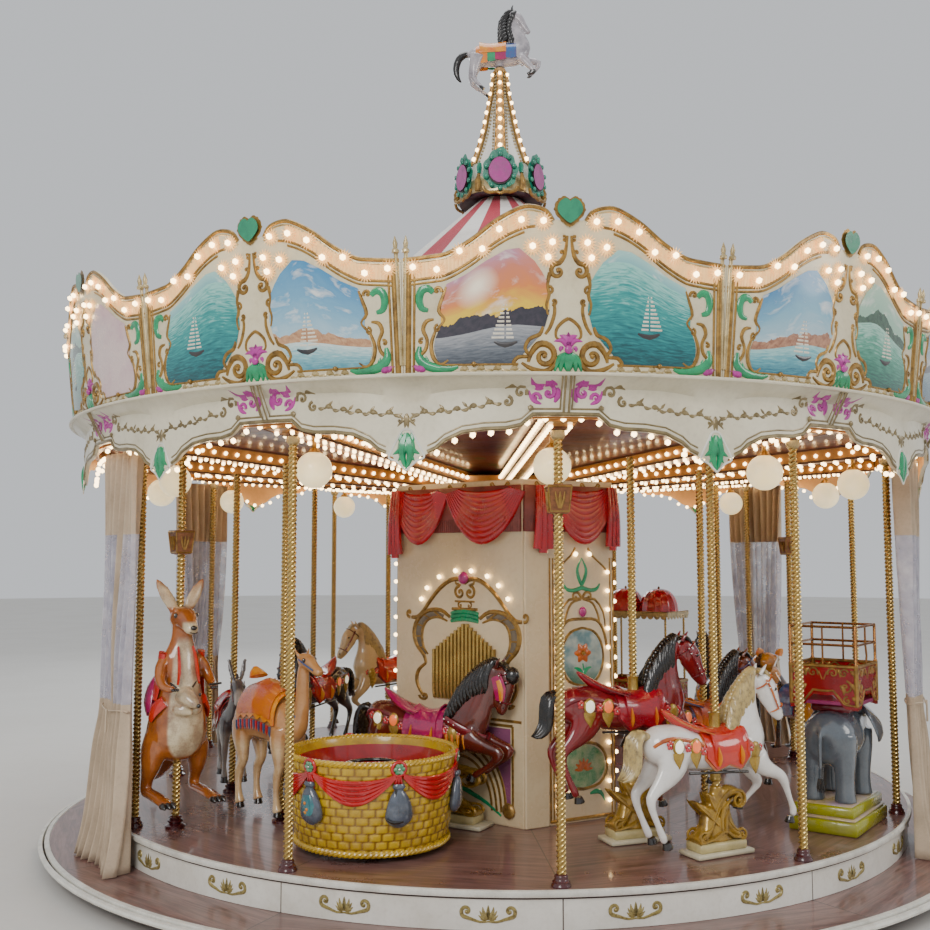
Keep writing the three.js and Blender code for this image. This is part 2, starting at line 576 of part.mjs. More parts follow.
// The dark horse by the organ stands on a cream scroll base, and on no pole
function standingHorse() {
  const { angle, ring, turn, seat } = BROWN_HORSE;
  const placed = figureGroup(angle, ring, 0, turn);
  const body = bowedHorse();
  addMesh('brown_horse', cut(body, rod(POLE_RADIUS + FIT, 0, seat + FIT, 8)), hide.brown, placed);
  const foot = join(
    block(-350, 550, -110, 110, FIT, 40), block(-310, 500, -70, 70, 35, 160),
    loft([[60, 0, 140, 60, 380], [90, 0, 260, 56, 240], [70, 0, 340, 50, 130], [0, 0, 500, 46, 60]], 8),
    rod(POLE_RADIUS, 100, seat, 8),
  );
  addMesh('brown_pedestal', foot, cream, placed);
}

function basket() {
  const { angle, ring, bottom, top, footRadius, rimRadius } = BASKET;
  const placed = figureGroup(angle, ring, -DECK_TOP);
  const bowl = turned([
    [60, bottom], [footRadius, bottom], [footRadius + 50, bottom + 260], [rimRadius - 5, top - 60],
    [rimRadius + 12, top - 30], [rimRadius, top], [rimRadius - 50, top], [rimRadius - 62, top - 60],
    [footRadius - 30, bottom + 60], [60, bottom + 60],
  ], 24);
  addMesh('basket_tub', bowl, paint(0xd9a92c), placed);
  const pivot = join(
    rod(300, DECK_TOP + FIT, bottom - BEARING_GAP, 24), rod(54, bottom - 10, top - 130, 16),
    rod(210, top - 150, top - 120, 16),
  );
  addMesh('basket_pivot', pivot, steel, placed);
}

function figures() {
  basket();
  addFixed('kangaroo', kangaroo(), hide.tan, -50.3, 3165, 190);
  addFixed('camel', camel(), hide.tan, -42.5, 2480, 60);
  addFixed('donkey', donkey(), hide.grey, -71, 2450, 120);
  standingHorse();
  addJumper('maroon', hide.maroon, 22.5, 2470, 210);
  addJumper('white', hide.white, 29.2, 2990, 0);
  addFixed('tiger', tiger(), hide.orange, 106, 3060, 60, 80, true);
  const elephantSpot = figureGroup(56, 3080, 0);
  addMesh('elephant', elephant().translate(0, 0, FIT), hide.grey, elephantSpot);
  addMesh('howdah', howdah(), red, elephantSpot);
  addFixed('bay_horse', horse(), hide.bay, 48, 2150, 20, 0, false, 30);
  addFixed('grey_horse', horse(), hide.grey, 102, 2150, 10);
  addFixed('black_horse', horse(), hide.brown, -112, 2050, -20);
  addFixed('cream_horse', horse(), hide.white, -146, 2250, 60);
  addMesh('carriage', carriage(), red, figureGroup(146, 2900, 0));
  addFixed('rear_pony', horse().scale(0.86, 0.86, 0.86), hide.bay, 178, 2950, 60);
  addFixed('left_pony', horse().scale(0.86, 0.86, 0.86), hide.white, -88, 3000, 40, 0, true);
}

// A tapered box lamp round a pole
function lampBox(drop) {
  const { bottom, top, bottomWidth, topWidth } = LAMP_BOX;
  const box = new THREE.CylinderGeometry(topWidth * Math.SQRT1_2, bottomWidth * Math.SQRT1_2, top - bottom, 4);
  return box.rotateY(Math.PI / 4).rotateX(Math.PI / 2).translate(0, 0, (top + bottom) / 2 - drop);
}

// Twelve outer poles, the front one with a lamp box, and the curtains that are gathered beside four of them
function outerPoles() {
  everySector((angle) => angle).forEach((angle, index) => {
    const pieces = [rod(62, DECK_TOP + FIT, DECK_TOP + 35, 12), rod(46, DECK_TOP + 30, DECK_TOP + 75, 12),
      rod(POLE_RADIUS, DECK_TOP + 70, POLE_TOP, 12)];
    if (Math.abs(angle - LAMP_BOX.pole) < 1) pieces.push(lampBox(0));
    const pole = addMesh(`outer_pole_${index + 1}`, join(...pieces), gold);
    pole.position.copy(polar(angle, POLE_RING, 0));
    pole.rotation.z = radians(angle);
  });
}

function curtains() {
  const names = ['curtain_front_left', 'curtain_front_right', 'curtain_rear_right', 'curtain_rear_left'];
  names.forEach((name, index) => {
    const bundle = stack([
      [3548, 0, sweepBottom(3460) - FIT, 88, 400], [3548, 0, 2500, 86, 370], [3560, 0, 1290, 86, 290],
      [3604, 0, 480, 92, 380], [3640, 0, STEP.top + FIT, 125, 430],
    ], 10);
    addMesh(name, outwards(bundle, CURTAIN_POLES[index]), curtainCloth);
  });
}

// The horse on the spire leaps with a raised head; its hind hooves hang beside the spire
function topHorse() {
  const spine = loft([
    [-300, 0, 125, 40, 50], [-220, 0, 135, 82, 100], [-20, 0, 140, 92, 112], [150, 0, 150, 84, 108],
    [205, 0, 235, 62, 100], [140, 0, 350, 46, 82], [105, 0, 470, 38, 66], [125, 0, 560, 30, 40],
  ], TRUNK_SIDES);
  const head = loft([[90, 0, 550, 40, 46], [180, 0, 530, 40, 50], [290, 0, 365, 22, 26]]);
  const tail = loft([[-280, 0, 150, 24, 24], [-400, 0, 120, 34, 34], [-425, 0, -10, 32, 32], [-370, 0, -130, 16, 16]], 4);
  const limbs = [
    [[210, 60, 110, 46, 50], [385, 66, 95, 24, 28], [285, 66, -50, 20, 20]],
    [[200, -60, 100, 46, 50], [340, -66, 60, 24, 28], [260, -66, -70, 20, 20]],
    [[-220, 62, 120, 62, 76], [-270, 80, -110, 26, 30], [-80, 112, -240, 20, 20]],
    [[-220, -62, 120, 62, 76], [-250, -80, -120, 26, 30], [-150, -112, -250, 20, 20]],
  ].map((points) => loft(points, 4));
  const figure = join(spine, head, tail, ...limbs, rod(48, 0, 80, 12));
  const group = new THREE.Group();
  group.position.set(0, 0, 7150 + FIT);
  addMesh('top_horse', figure, hide.grey, group);
  carousel.add(group);
}

groundFrame();
platform();
drum();
sweepFrame();
fascia();
crown();
roof();
topHorse();
outerPoles();
curtains();
figures();

export default carousel;
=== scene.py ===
"""The fairground carousel's looks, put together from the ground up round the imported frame."""

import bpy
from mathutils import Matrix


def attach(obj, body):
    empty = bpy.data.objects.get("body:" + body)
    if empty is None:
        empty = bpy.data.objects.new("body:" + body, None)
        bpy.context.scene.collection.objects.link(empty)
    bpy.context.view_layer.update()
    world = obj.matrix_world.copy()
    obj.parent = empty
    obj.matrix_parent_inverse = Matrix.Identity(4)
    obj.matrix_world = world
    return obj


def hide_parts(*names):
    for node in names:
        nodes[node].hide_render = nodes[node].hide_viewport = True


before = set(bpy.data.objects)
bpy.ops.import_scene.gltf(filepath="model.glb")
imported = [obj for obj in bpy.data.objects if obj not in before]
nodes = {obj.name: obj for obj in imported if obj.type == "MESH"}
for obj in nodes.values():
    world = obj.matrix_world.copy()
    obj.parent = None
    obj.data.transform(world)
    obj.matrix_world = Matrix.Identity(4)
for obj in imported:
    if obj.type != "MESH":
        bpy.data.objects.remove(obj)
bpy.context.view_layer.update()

import math

import bmesh
import bpy
from mathutils import Matrix, Vector

scene = bpy.context.scene


# ---- Camera, floor and light ----
# The camera stands in front, a little under the height of the fascia, and looks slightly up.
camera = bpy.data.objects.new("camera", bpy.data.cameras.new("camera"))
camera.location = (0, -10.21, 2.405)
camera.rotation_euler = (math.radians(94.88), 0, math.radians(1.91))
camera.data.lens = 41.88
camera.data.sensor_width = 36
scene.collection.objects.link(camera)
scene.camera = camera

world = bpy.data.worlds.new("soft_sky")
world.use_nodes = True
world.node_tree.nodes["Background"].inputs["Color"].default_value = (0.93, 0.96, 1, 1)
world.node_tree.nodes["Background"].inputs["Strength"].default_value = 0.72
scene.world = world


def soft_light(name, place, size, watts, colour, aim=(0, 0, 2)):
    lamp = bpy.data.lights.new(name, "AREA")
    lamp.shape, lamp.size, lamp.energy, lamp.color = "DISK", size, watts, colour
    piece = bpy.data.objects.new(name, lamp)
    piece.location = place
    piece.rotation_euler = (Vector(place) - Vector(aim)).to_track_quat("Z", "Y").to_euler()
    scene.collection.objects.link(piece)


soft_light("front_light", (-4, -15, 9), 7, 1150, (1, 0.98, 0.95))
soft_light("right_light", (14, -6, 8), 6, 500, (1, 0.97, 0.93))
soft_light("rear_light", (-3, 15, 10), 8, 600, (0.93, 0.97, 1))
soft_light("top_light", (0, 0, 15), 8, 500, (1, 1, 1))


# Effects that several finishes share: each is a group that puts out values which vary over a surface
def effect(name, inputs, outputs):
    group = bpy.data.node_groups.new(name, "ShaderNodeTree")
    kinds = {"c": "NodeSocketColor", "v": "NodeSocketFloat"}
    for label, kind in inputs:
        group.interface.new_socket(label, in_out="INPUT", socket_type=kinds[kind])
    for label, kind in outputs:
        group.interface.new_socket(label, in_out="OUTPUT", socket_type=kinds[kind])
    return group, group.nodes.new("NodeGroupInput").outputs, group.nodes.new("NodeGroupOutput").inputs


def node(tree, kind, links=None, **settings):
    """A shader node with its settings, its inputs set to values or joined to other sockets."""
    made = tree.nodes.new("ShaderNode" + kind)
    for key, value in settings.items():
        setattr(made, key, value)
    for key, value in (links or {}).items():
        socket = made.inputs[key]
        if isinstance(value, bpy.types.NodeSocket):
            tree.links.new(value, socket)
        else:
            socket.default_value = value
    return made


def sums(tree, operation, a, b=0.0, clamp=False):
    return node(tree, "Math", {0: a, 1: b}, operation=operation, use_clamp=clamp).outputs[0]


def blend_colour(tree, share, first, second):
    made = node(tree, "Mix", data_type="RGBA", blend_type="MIX")
    for socket, value in ((made.inputs[0], share), (made.inputs[6], first), (made.inputs[7], second)):
        if isinstance(value, bpy.types.NodeSocket):
            tree.links.new(value, socket)
        else:
            socket.default_value = value
    return made.outputs[2]


def ramp(tree, value, stops):
    made = node(tree, "ValToRGB", {"Fac": value})
    while len(made.color_ramp.elements) < len(stops):
        made.color_ramp.elements.new(0.5)
    for element, (position, colour) in zip(made.color_ramp.elements, stops):
        element.position, element.color = position, colour
    return made.outputs["Color"]


# Fairground paint that has stood outdoors: faint mottling, dust in patches and specks, brush and orange-peel relief
aged, get, put = effect("aged_paint", [("Colour", "c"), ("Soiled", "c"), ("Scale", "v"), ("Amount", "v"),
                                       ("Gloss", "v")], [("Colour", "c"), ("Roughness", "v"), ("Height", "v")])
where = aged.nodes.new("ShaderNodeTexCoord").outputs["Object"]
cloud = node(aged, "TexNoise",
             {"Vector": where, "Scale": get["Scale"], "Detail": 5.0, "Roughness": 0.62}).outputs["Fac"]
fine_scale = sums(aged, "MULTIPLY", get["Scale"], 14.0)
fine = node(aged, "TexNoise", {"Vector": where, "Scale": fine_scale, "Detail": 3.0}).outputs["Fac"]
patch = node(aged, "MapRange", {"Value": cloud, "From Min": 0.42, "From Max": 0.72}).outputs[0]
speck = node(aged, "MapRange", {"Value": fine, "From Min": 0.5, "From Max": 0.8}).outputs[0]
soil = sums(aged, "MULTIPLY", sums(aged, "ADD", patch, sums(aged, "MULTIPLY", speck, 0.45)), get["Amount"], clamp=True)
aged.links.new(blend_colour(aged, soil, get["Colour"], get["Soiled"]), put["Colour"])
aged.links.new(sums(aged, "ADD", get["Gloss"], sums(aged, "MULTIPLY", soil, 0.3), clamp=True), put["Roughness"])
aged.links.new(sums(aged, "ADD", cloud, sums(aged, "MULTIPLY", fine, 0.35)), put["Height"])


def rgb(code):
    """A colour from a six-figure code, in linear light."""
    parts = [((code >> shift) & 255) / 255 for shift in (16, 8, 0)]
    return tuple(((c + 0.055) / 1.055) ** 2.4 if c > 0.04045 else c / 12.92 for c in parts) + (1,)


def finish(name, colour, soiled=None, gloss=0.35, metal=0.0, coat=0.0, scale=3.0, amount=0.5, bump=0.12, glow=0.0):
    """A painted, gilded or bare surface on the shared aged-paint effect. The colours are six-figure codes."""
    surface = bpy.data.materials.new(name)
    surface.use_nodes = True
    tree = surface.node_tree
    shader = tree.nodes["Principled BSDF"]
    worn = tree.nodes.new("ShaderNodeGroup")
    worn.node_tree, worn.name = aged, "worn"
    worn.inputs["Colour"].default_value = rgb(colour)
    worn.inputs["Soiled"].default_value = rgb(soiled if soiled is not None else colour)
    worn.inputs["Scale"].default_value, worn.inputs["Amount"].default_value = scale, amount
    worn.inputs["Gloss"].default_value = gloss
    tree.links.new(worn.outputs["Colour"], shader.inputs["Base Color"])
    tree.links.new(worn.outputs["Roughness"], shader.inputs["Roughness"])
    relief = node(tree, "Bump", {"Height": worn.outputs["Height"], "Strength": bump, "Distance": 0.004})
    relief.name = "relief"
    tree.links.new(relief.outputs["Normal"], shader.inputs["Normal"])
    shader.inputs["Metallic"].default_value = metal
    shader.inputs["Coat Weight"].default_value = coat
    shader.inputs["Coat Roughness"].default_value = 0.06
    if glow:
        tree.links.new(worn.outputs["Colour"], shader.inputs["Emission Color"])
        shader.inputs["Emission Strength"].default_value = glow
    surface.diffuse_color = rgb(colour)
    return surface


def recolour(surface, paint_it):
    """Gives the aged paint of a finish a colour that varies: paint_it(tree) returns a colour socket."""
    tree = surface.node_tree
    tree.links.new(paint_it(tree), tree.nodes["worn"].inputs["Colour"])
    return surface


ground = bmesh.new()
bmesh.ops.create_circle(ground, cap_ends=True, radius=60, segments=64)
floor_mesh = bpy.data.meshes.new("floor")
ground.to_mesh(floor_mesh)
floor = bpy.data.objects.new("floor", floor_mesh)
floor_mesh.materials.append(finish("pale_floor", 0xD9D6D0, 0xCFCBC4, gloss=0.6, scale=0.6, amount=0.4))
scene.collection.objects.link(floor)


# ---- Ground frame ----
# A round steel pedestal and six box beams lie on the ground and carry the fixed centre mast.
# They are welded, primed grey and dusty from travel.
steel_grey = finish("frame_steel_paint", 0x5A5E63, 0x8B8377, gloss=0.5, metal=0.3, scale=4, amount=0.7)
nodes["ground_frame"].data.materials.clear()
nodes["ground_frame"].data.materials.append(steel_grey)

TURN = math.radians(30)
FIRST = math.radians(6.1)


def settle(name, form, finishes, body, sharp=35, smooth=True, replaces=()):
    """Makes a piece of a finished form: its faces turned outwards, its edges sharp past an angle."""
    bmesh.ops.recalc_face_normals(form, faces=form.faces)
    mesh = bpy.data.meshes.new(name)
    form.to_mesh(mesh)
    form.free()
    return place_piece(name, mesh, finishes, body, sharp, smooth, replaces)


def place_piece(name, mesh, finishes, body, sharp=35, smooth=True, replaces=()):
    mesh.polygons.foreach_set("use_smooth", [smooth] * len(mesh.polygons))
    if smooth:
        mesh.set_sharp_from_angle(angle=math.radians(sharp))
    for surface in finishes:
        mesh.materials.append(surface)
    piece = bpy.data.objects.new(name, mesh)
    scene.collection.objects.link(piece)
    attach(piece, body)
    if replaces:
        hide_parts(*replaces)
    return piece


def everything(form):
    return form.verts[:] + form.edges[:] + form.faces[:]


def turn_by(form, angle, verts=None):
    bmesh.ops.rotate(form, cent=(0, 0, 0), matrix=Matrix.Rotation(angle, 3, "Z"), verts=verts or form.verts)


def edges_of(verts):
    """The edges at some vertices, each once and in a fixed order."""
    return list(dict.fromkeys(edge for vert in verts for edge in vert.link_edges))


def faces_of(verts):
    """The faces at some vertices, each once and in a fixed order."""
    return list(dict.fromkeys(face for vert in verts for face in vert.link_faces))


def all_round(form, count=12):
    """Repeats everything in a form round the axis."""
    bmesh.ops.spin(form, geom=everything(form), cent=(0, 0, 0), axis=(0, 0, 1), steps=count - 1,
                   angle=math.tau * (count - 1) / count, use_duplicate=True)


def spun_ring(form, profile, steps=144, tone=0):
    """A ring about the axis from a closed profile of (radius, height)."""
    corners = [form.verts.new((r, 0, z)) for r, z in profile]
    edges = [form.edges.new((corners[i - 1], corners[i])) for i in range(len(corners))]
    old = set(form.faces)
    bmesh.ops.spin(form, geom=corners + edges, cent=(0, 0, 0), axis=(0, 0, 1), angle=math.tau, steps=steps,
                   use_merge=True)
    for face in form.faces:
        if face not in old:
            face.material_index = tone


def bar(form, low, high, bevel=0.004, tone=0):
    """A straight bar or board between two corners, its edges rounded."""
    old = set(form.faces)
    made = bmesh.ops.create_cube(form, size=1)["verts"]
    size, middle = Vector(high) - Vector(low), (Vector(high) + Vector(low)) / 2
    bmesh.ops.scale(form, vec=size, verts=made)
    bmesh.ops.translate(form, vec=middle, verts=made)
    edges = edges_of(made)
    if bevel:
        out = bmesh.ops.bevel(form, geom=edges, offset=bevel, segments=1, profile=0.5, affect="EDGES", material=-1)
        made = out["verts"] + [vert for vert in made if vert.is_valid]
    for face in form.faces:
        if face not in old:
            face.material_index = tone
    return made


def curve_through(stations, between):
    """More stations on a smooth curve through the given ones."""
    if between < 2 or len(stations) < 3:
        return stations
    full = [stations[0]] + list(stations) + [stations[-1]]
    out = []
    for a, b, c, d in zip(full, full[1:], full[2:], full[3:]):
        for step in range(between):
            t = step / between
            out.append([0.5 * (2 * q + (r - p) * t + (2 * p - 5 * q + 4 * r - s) * t * t
                               + (3 * q - p - 3 * r + s) * t ** 3) for p, q, r, s in zip(a, b, c, d)])
    return out + [list(stations[-1])]


def limb(form, stations, sides=8, tone=0, side=(0, 1, 0), between=1):
    """A closed tapering rod through stations of x, y, z, half width along `side`, half depth across it."""
    stations = curve_through(stations, between)
    last = len(stations) - 1
    ring = bmesh.ops.create_circle(form, cap_ends=False, segments=sides, radius=1)["verts"]
    edges = edges_of(ring)
    made, faces = list(ring), list(bmesh.ops.contextual_create(form, geom=edges)["faces"])
    for level in range(last):
        grown = bmesh.ops.extrude_edge_only(form, edges=edges)["geom"]
        ring = [item for item in grown if isinstance(item, bmesh.types.BMVert)]
        edges = [item for item in grown if isinstance(item, bmesh.types.BMEdge)]
        faces += [item for item in grown if isinstance(item, bmesh.types.BMFace)]
        for vert in ring:
            vert.co.z = level + 1
        made += ring
    faces += bmesh.ops.contextual_create(form, geom=edges)["faces"]
    points = [Vector(s[:3]) for s in stations]
    side = Vector(side)
    frames = []
    for i, point in enumerate(points):
        along = (points[min(i + 1, last)] - points[max(i - 1, 0)]).normalized()
        across = side - along * along.dot(side)
        across = across.normalized() if across.length > 1e-4 else along.orthogonal().normalized()
        frames.append((point, across, across.cross(along), stations[i][3], stations[i][4]))
    for vert in made:
        point, across, up, wide, deep = frames[round(vert.co.z)]
        vert.co = point + across * (vert.co.x * wide) + up * (vert.co.y * deep)
    for face in faces:
        face.material_index = tone
    return made


def stroke(form, points, girth, tone=0, sides=6, between=3, flat=0.8):
    """A raised moulding on a panel that faces the front: points of (across, height), a half width at each."""
    stations = [[x, 0, z, g * flat, g] for (x, z), g in zip(points, girth)]
    return limb(form, stations, sides, tone, between=between)


def scroll(form, eye, radius, start, turns, girth, tone=0, sides=6, tail=()):
    """A scroll on a panel: it winds into its eye from `start` degrees, `turns` times round, after an optional tail."""
    count = max(6, int(abs(turns) * 10))
    points, widths = list(tail), [girth * (0.45 + 0.55 * i / max(1, len(tail))) for i in range(len(tail))]
    for i in range(count + 1):
        t = i / count
        angle, reach = math.radians(start) + turns * math.tau * t, radius * (1 - 0.86 * t)
        points.append((eye[0] + reach * math.cos(angle), eye[1] + reach * math.sin(angle)))
        widths.append(girth * (1 - 0.45 * t))
    stroke(form, points, widths, tone, sides, between=1 if not tail else 2)
    bead(form, (eye[0], -girth * 0.4, eye[1]), girth * 0.8, tone)


def bead(form, place, radius, tone=0, detail=1, squash=(1, 1, 1)):
    made = bmesh.ops.create_icosphere(form, subdivisions=detail, radius=radius)["verts"]
    bmesh.ops.scale(form, vec=squash, verts=made)
    bmesh.ops.translate(form, vec=place, verts=made)
    for face in faces_of(made):
        face.material_index = tone
    return made


def leaf(form, root, tip, width, tone=0, bend=0.0, thick=0.5):
    """An acanthus leaf on a panel, pointed at both ends and swelling near its root."""
    a, b = Vector((root[0], 0, root[1])), Vector((tip[0], 0, tip[1]))
    along = b - a
    out = Vector((-along.z, 0, along.x)) * bend
    shares = ((0, 0.35), (0.2, 0.9), (0.42, 1), (0.66, 0.72), (0.86, 0.42), (1, 0.06))
    points = [a + along * t + out * math.sin(math.pi * t) for t, _ in shares]
    stroke(form, [(p.x, p.z) for p in points], [width * w for _, w in shares], tone, 6, 2, thick)


def mirror_across(form, verts=None):
    """The left half of a panel from its right half."""
    geom = everything(form) if verts is None else verts
    bmesh.ops.mirror(form, geom=geom, axis="X", matrix=Matrix.Identity(4), merge_dist=0)


def curl(form, radius, verts=None):
    """Bends a flat panel that faces the front round the axis: radius(z) is where its face stands."""
    for vert in verts or form.verts:
        x, y, z = vert.co
        r = radius(z)
        angle = x / r
        vert.co = ((r - y) * math.sin(angle), -(r - y) * math.cos(angle), z)


def knots(form, points, girth, tone=0):
    """Short leaves in a chain, as on a carved garland."""
    for i, (a, b) in enumerate(zip(points, points[1:])):
        leaf(form, a, b, girth * (1.25 if i % 2 else 0.9), tone, 0.18 if i % 2 else -0.18, 0.7)


# ---- Step and skirt ----
# A brown plywood step hangs under the edge of the platform, with a double cream lip. Above it a white
# skirt closes the frame, in one board to each half sector, with two gilded scrolls screwed on each.
tread_brown = finish("step_tread", 0x6E4B42, 0x8E7F78, gloss=0.3, coat=0.25, scale=5, amount=0.55)


def plank_streaks(tree):
    """Long fine streaks round the axis, as in stained and varnished plywood."""
    at = node(tree, "SeparateXYZ", {"Vector": node(tree, "TexCoord").outputs["Object"]}).outputs
    radius = sums(tree, "SQRT",
                  sums(tree, "ADD", sums(tree, "MULTIPLY", at[0], at[0]), sums(tree, "MULTIPLY", at[1], at[1])))
    angle = sums(tree, "ARCTAN2", at[0], sums(tree, "MULTIPLY", at[1], -1.0))
    sector = sums(tree, "FLOOR", sums(tree, "DIVIDE", sums(tree, "SUBTRACT", angle, FIRST), TURN))
    middle = sums(tree, "ADD", sums(tree, "MULTIPLY", sums(tree, "ADD", sector, 0.5), TURN), FIRST)
    across = sums(tree, "MULTIPLY", radius, sums(tree, "SINE", sums(tree, "SUBTRACT", angle, middle)))
    outward = sums(tree, "MULTIPLY", radius, sums(tree, "COSINE", sums(tree, "SUBTRACT", angle, middle)))
    grain = node(tree, "CombineXYZ", {0: sums(tree, "MULTIPLY", across, 1.2), 1: sums(tree, "MULTIPLY", outward, 16.0),
                                      2: sector})
    streak = node(tree, "TexNoise", {"Vector": grain.outputs[0], "Scale": 1.6, "Detail": 6.0, "Roughness": 0.7,
                                     "Distortion": 0.6})
    tint = ramp(tree, streak.outputs["Fac"], [(0.25, rgb(0x3E2622)), (0.48, rgb(0x6F4A44)), (0.6, rgb(0x8A645C)),
                                              (0.8, rgb(0x5B3A38))])
    edge = sums(tree, "ABSOLUTE", sums(tree, "SUBTRACT", sums(tree, "ABSOLUTE", sums(tree, "SUBTRACT", angle, middle)),
                                       TURN / 2))
    seam = sums(tree, "LESS_THAN", sums(tree, "MULTIPLY", edge, radius), 0.004)
    return blend_colour(tree, seam, tint, rgb(0x15100F))


recolour(tread_brown, plank_streaks)
lip_white = finish("lip_white", 0xE6E4DA, 0xA59E90, gloss=0.35, coat=0.2, scale=6, amount=0.5)
# A dark finish for the ring under the step's lips, the brackets under the step and the strip under the deck's lip: its
# dark colour is painted shade under these overhangs.
under_lip_shade = finish("under_lip_shade_paint", 0x3A2420, 0x5C4A42, gloss=0.6, scale=6)

step = bmesh.new()
spun_ring(step, [(3.395, 0.118), (3.895, 0.118), (3.895, 0.158), (3.395, 0.158)])
spun_ring(step, [(3.895, 0.13), (3.93, 0.13), (3.936, 0.15), (3.932, 0.163), (3.9, 0.165), (3.895, 0.158)], tone=1)
spun_ring(step, [(3.946, 0.116), (3.975, 0.116), (3.982, 0.132), (3.978, 0.148), (3.952, 0.152), (3.946, 0.14)], tone=1)
# a dark ring under the two lips: painted shadow in the gap under the step
spun_ring(step, [(3.90, 0.098), (3.95, 0.098), (3.95, 0.118), (3.90, 0.118)], tone=2)
spare = bpy.data.meshes.new("spare")


def add(form, extra):
    """Moves a finished part into a form."""
    extra.to_mesh(spare)
    extra.free()
    form.from_mesh(spare)


hangers = bmesh.new()
bar(hangers, (-0.03, -3.43, 0.12), (0.03, -3.32, 0.2497), tone=2)
turn_by(hangers, FIRST)
all_round(hangers)
add(step, hangers)
settle("step", step, [tread_brown, lip_white, under_lip_shade], "rotor", replaces=["step_ring"])

skirt_white = finish("skirt_enamel", 0xE9E6DC, 0xB8AE9C, gloss=0.3, coat=0.3, scale=2.5, amount=0.45)
gilt = finish("gilt_moulding", 0xC8963A, 0x5A3A16, gloss=0.28, metal=0.75, coat=0.2, scale=16, amount=0.75, bump=0.3)
skirt = bmesh.new()
spun_ring(skirt, [(3.441, 0.1603), (3.468, 0.1603), (3.468, 0.3577), (3.441, 0.3577)])
# a thin dark strip just under the deck's lip: painted shade
spun_ring(skirt, [(3.466, 0.346), (3.474, 0.346), (3.474, 0.356), (3.466, 0.356)], tone=2)
settle("skirt", skirt, [skirt_white, gilt, under_lip_shade], "rotor", replaces=["skirt_ring"])


def board_joints(tree):
    """A dark hairline where one board of the skirt meets the next."""
    at = node(tree, "SeparateXYZ", {"Vector": node(tree, "TexCoord").outputs["Object"]}).outputs
    angle = sums(tree, "ARCTAN2", at[0], sums(tree, "MULTIPLY", at[1], -1.0))
    share = sums(tree, "FRACT", sums(tree, "DIVIDE", sums(tree, "ADD", angle, math.tau - FIRST), TURN))
    joint = sums(tree, "GREATER_THAN", sums(tree, "ABSOLUTE", sums(tree, "SUBTRACT", share, 0.5)), 0.4977)
    return blend_colour(tree, joint, rgb(0xE9E6DC), rgb(0x3B2B26))


recolour(skirt_white, board_joints)

skirt_scrolls = bmesh.new()
scroll(skirt_scrolls, (0.132, 0.272), 0.036, -60, 1.05, 0.014, tail=[(0.0, 0.213), (0.05, 0.211), (0.1, 0.226)])
leaf(skirt_scrolls, (0.0, 0.222), (0.0, 0.314), 0.015)
for angle, length, width in ((66, 0.082, 0.014), (44, 0.076, 0.013), (22, 0.07, 0.012), (3, 0.056, 0.009)):
    tip = (length * math.cos(math.radians(angle)), 0.23 + length * math.sin(math.radians(angle)))
    leaf(skirt_scrolls, (0.0, 0.228), tip, width, bend=-0.12)
mirror_across(skirt_scrolls)
curl(skirt_scrolls, lambda z: 3.466)
turn_by(skirt_scrolls, FIRST + TURN / 4)
all_round(skirt_scrolls, 24)
settle("skirt_scrolls", skirt_scrolls,
       [finish("skirt_relief", 0xAA9A5E, 0x5E4C24, gloss=0.26, metal=0.3, coat=0.4, scale=60, amount=0.9, bump=0.3)],
       "rotor", 50)

# ---- Deck ----
# Twelve varnished plywood sections lie on steel ribs round the slewing ring, edged with a white lip.
deck_varnish = finish("deck_varnish", 0x6A443C, 0x8E7A74, gloss=0.27, coat=0.4, scale=1.4, amount=0.35, bump=0.05)
recolour(deck_varnish, plank_streaks)
deck = bmesh.new()
spun_ring(deck, [(0.165, 0.358), (3.472, 0.358), (3.472, 0.4), (0.165, 0.4)])
spun_ring(deck, [(3.472, 0.362), (3.496, 0.362), (3.502, 0.375), (3.5, 0.398), (3.488, 0.403), (3.472, 0.402)], tone=1)
spun_ring(deck, [(0.19, 0.1204), (0.43, 0.1204), (0.43, 0.25), (0.52, 0.25), (0.52, 0.36), (0.19, 0.36)], 48, tone=2)
ribs = bmesh.new()
bar(ribs, (-0.035, -3.436, 0.25), (0.035, -0.48, 0.36), tone=2)
turn_by(ribs, FIRST)
all_round(ribs)
add(deck, ribs)
settle("deck_boards", deck, [deck_varnish, lip_white, steel_grey], "rotor", replaces=["deck"])


# ---- Centre drum ----
# Six moulded panels in gloss cream close the machinery in. The two end panels carry a show organ front
# with gilded pipes, and the two slanted ones a flower picture between columns of bulbs.
PLAN = [(0.16, -2.01), (0.88, -1.58), (0.86, 1.22), (-0.16, 2.01), (-0.88, 1.58), (-0.86, -1.22)]
panel_cream = finish("drum_cream", 0xDCC9A4, 0xB08C5E, gloss=0.2, coat=0.5, scale=1.6, amount=0.35, bump=0.06)
old_gold = finish("old_gold", 0xA8823F, 0x4A3216, gloss=0.3, metal=0.6, coat=0.25, scale=18, amount=0.8, bump=0.3)
leaf_green = finish("leaf_green", 0x1E9A63, 0x0C4A35, gloss=0.2, coat=0.6, scale=12, amount=0.6)
jewel_pink = finish("jewel_pink", 0xC02E82, 0x6A1248, gloss=0.2, coat=0.6, scale=12, amount=0.5)
pipe_gold = finish("pipe_gold", 0xB99A55, 0x6E5426, gloss=0.24, metal=0.7, scale=9, amount=0.6)
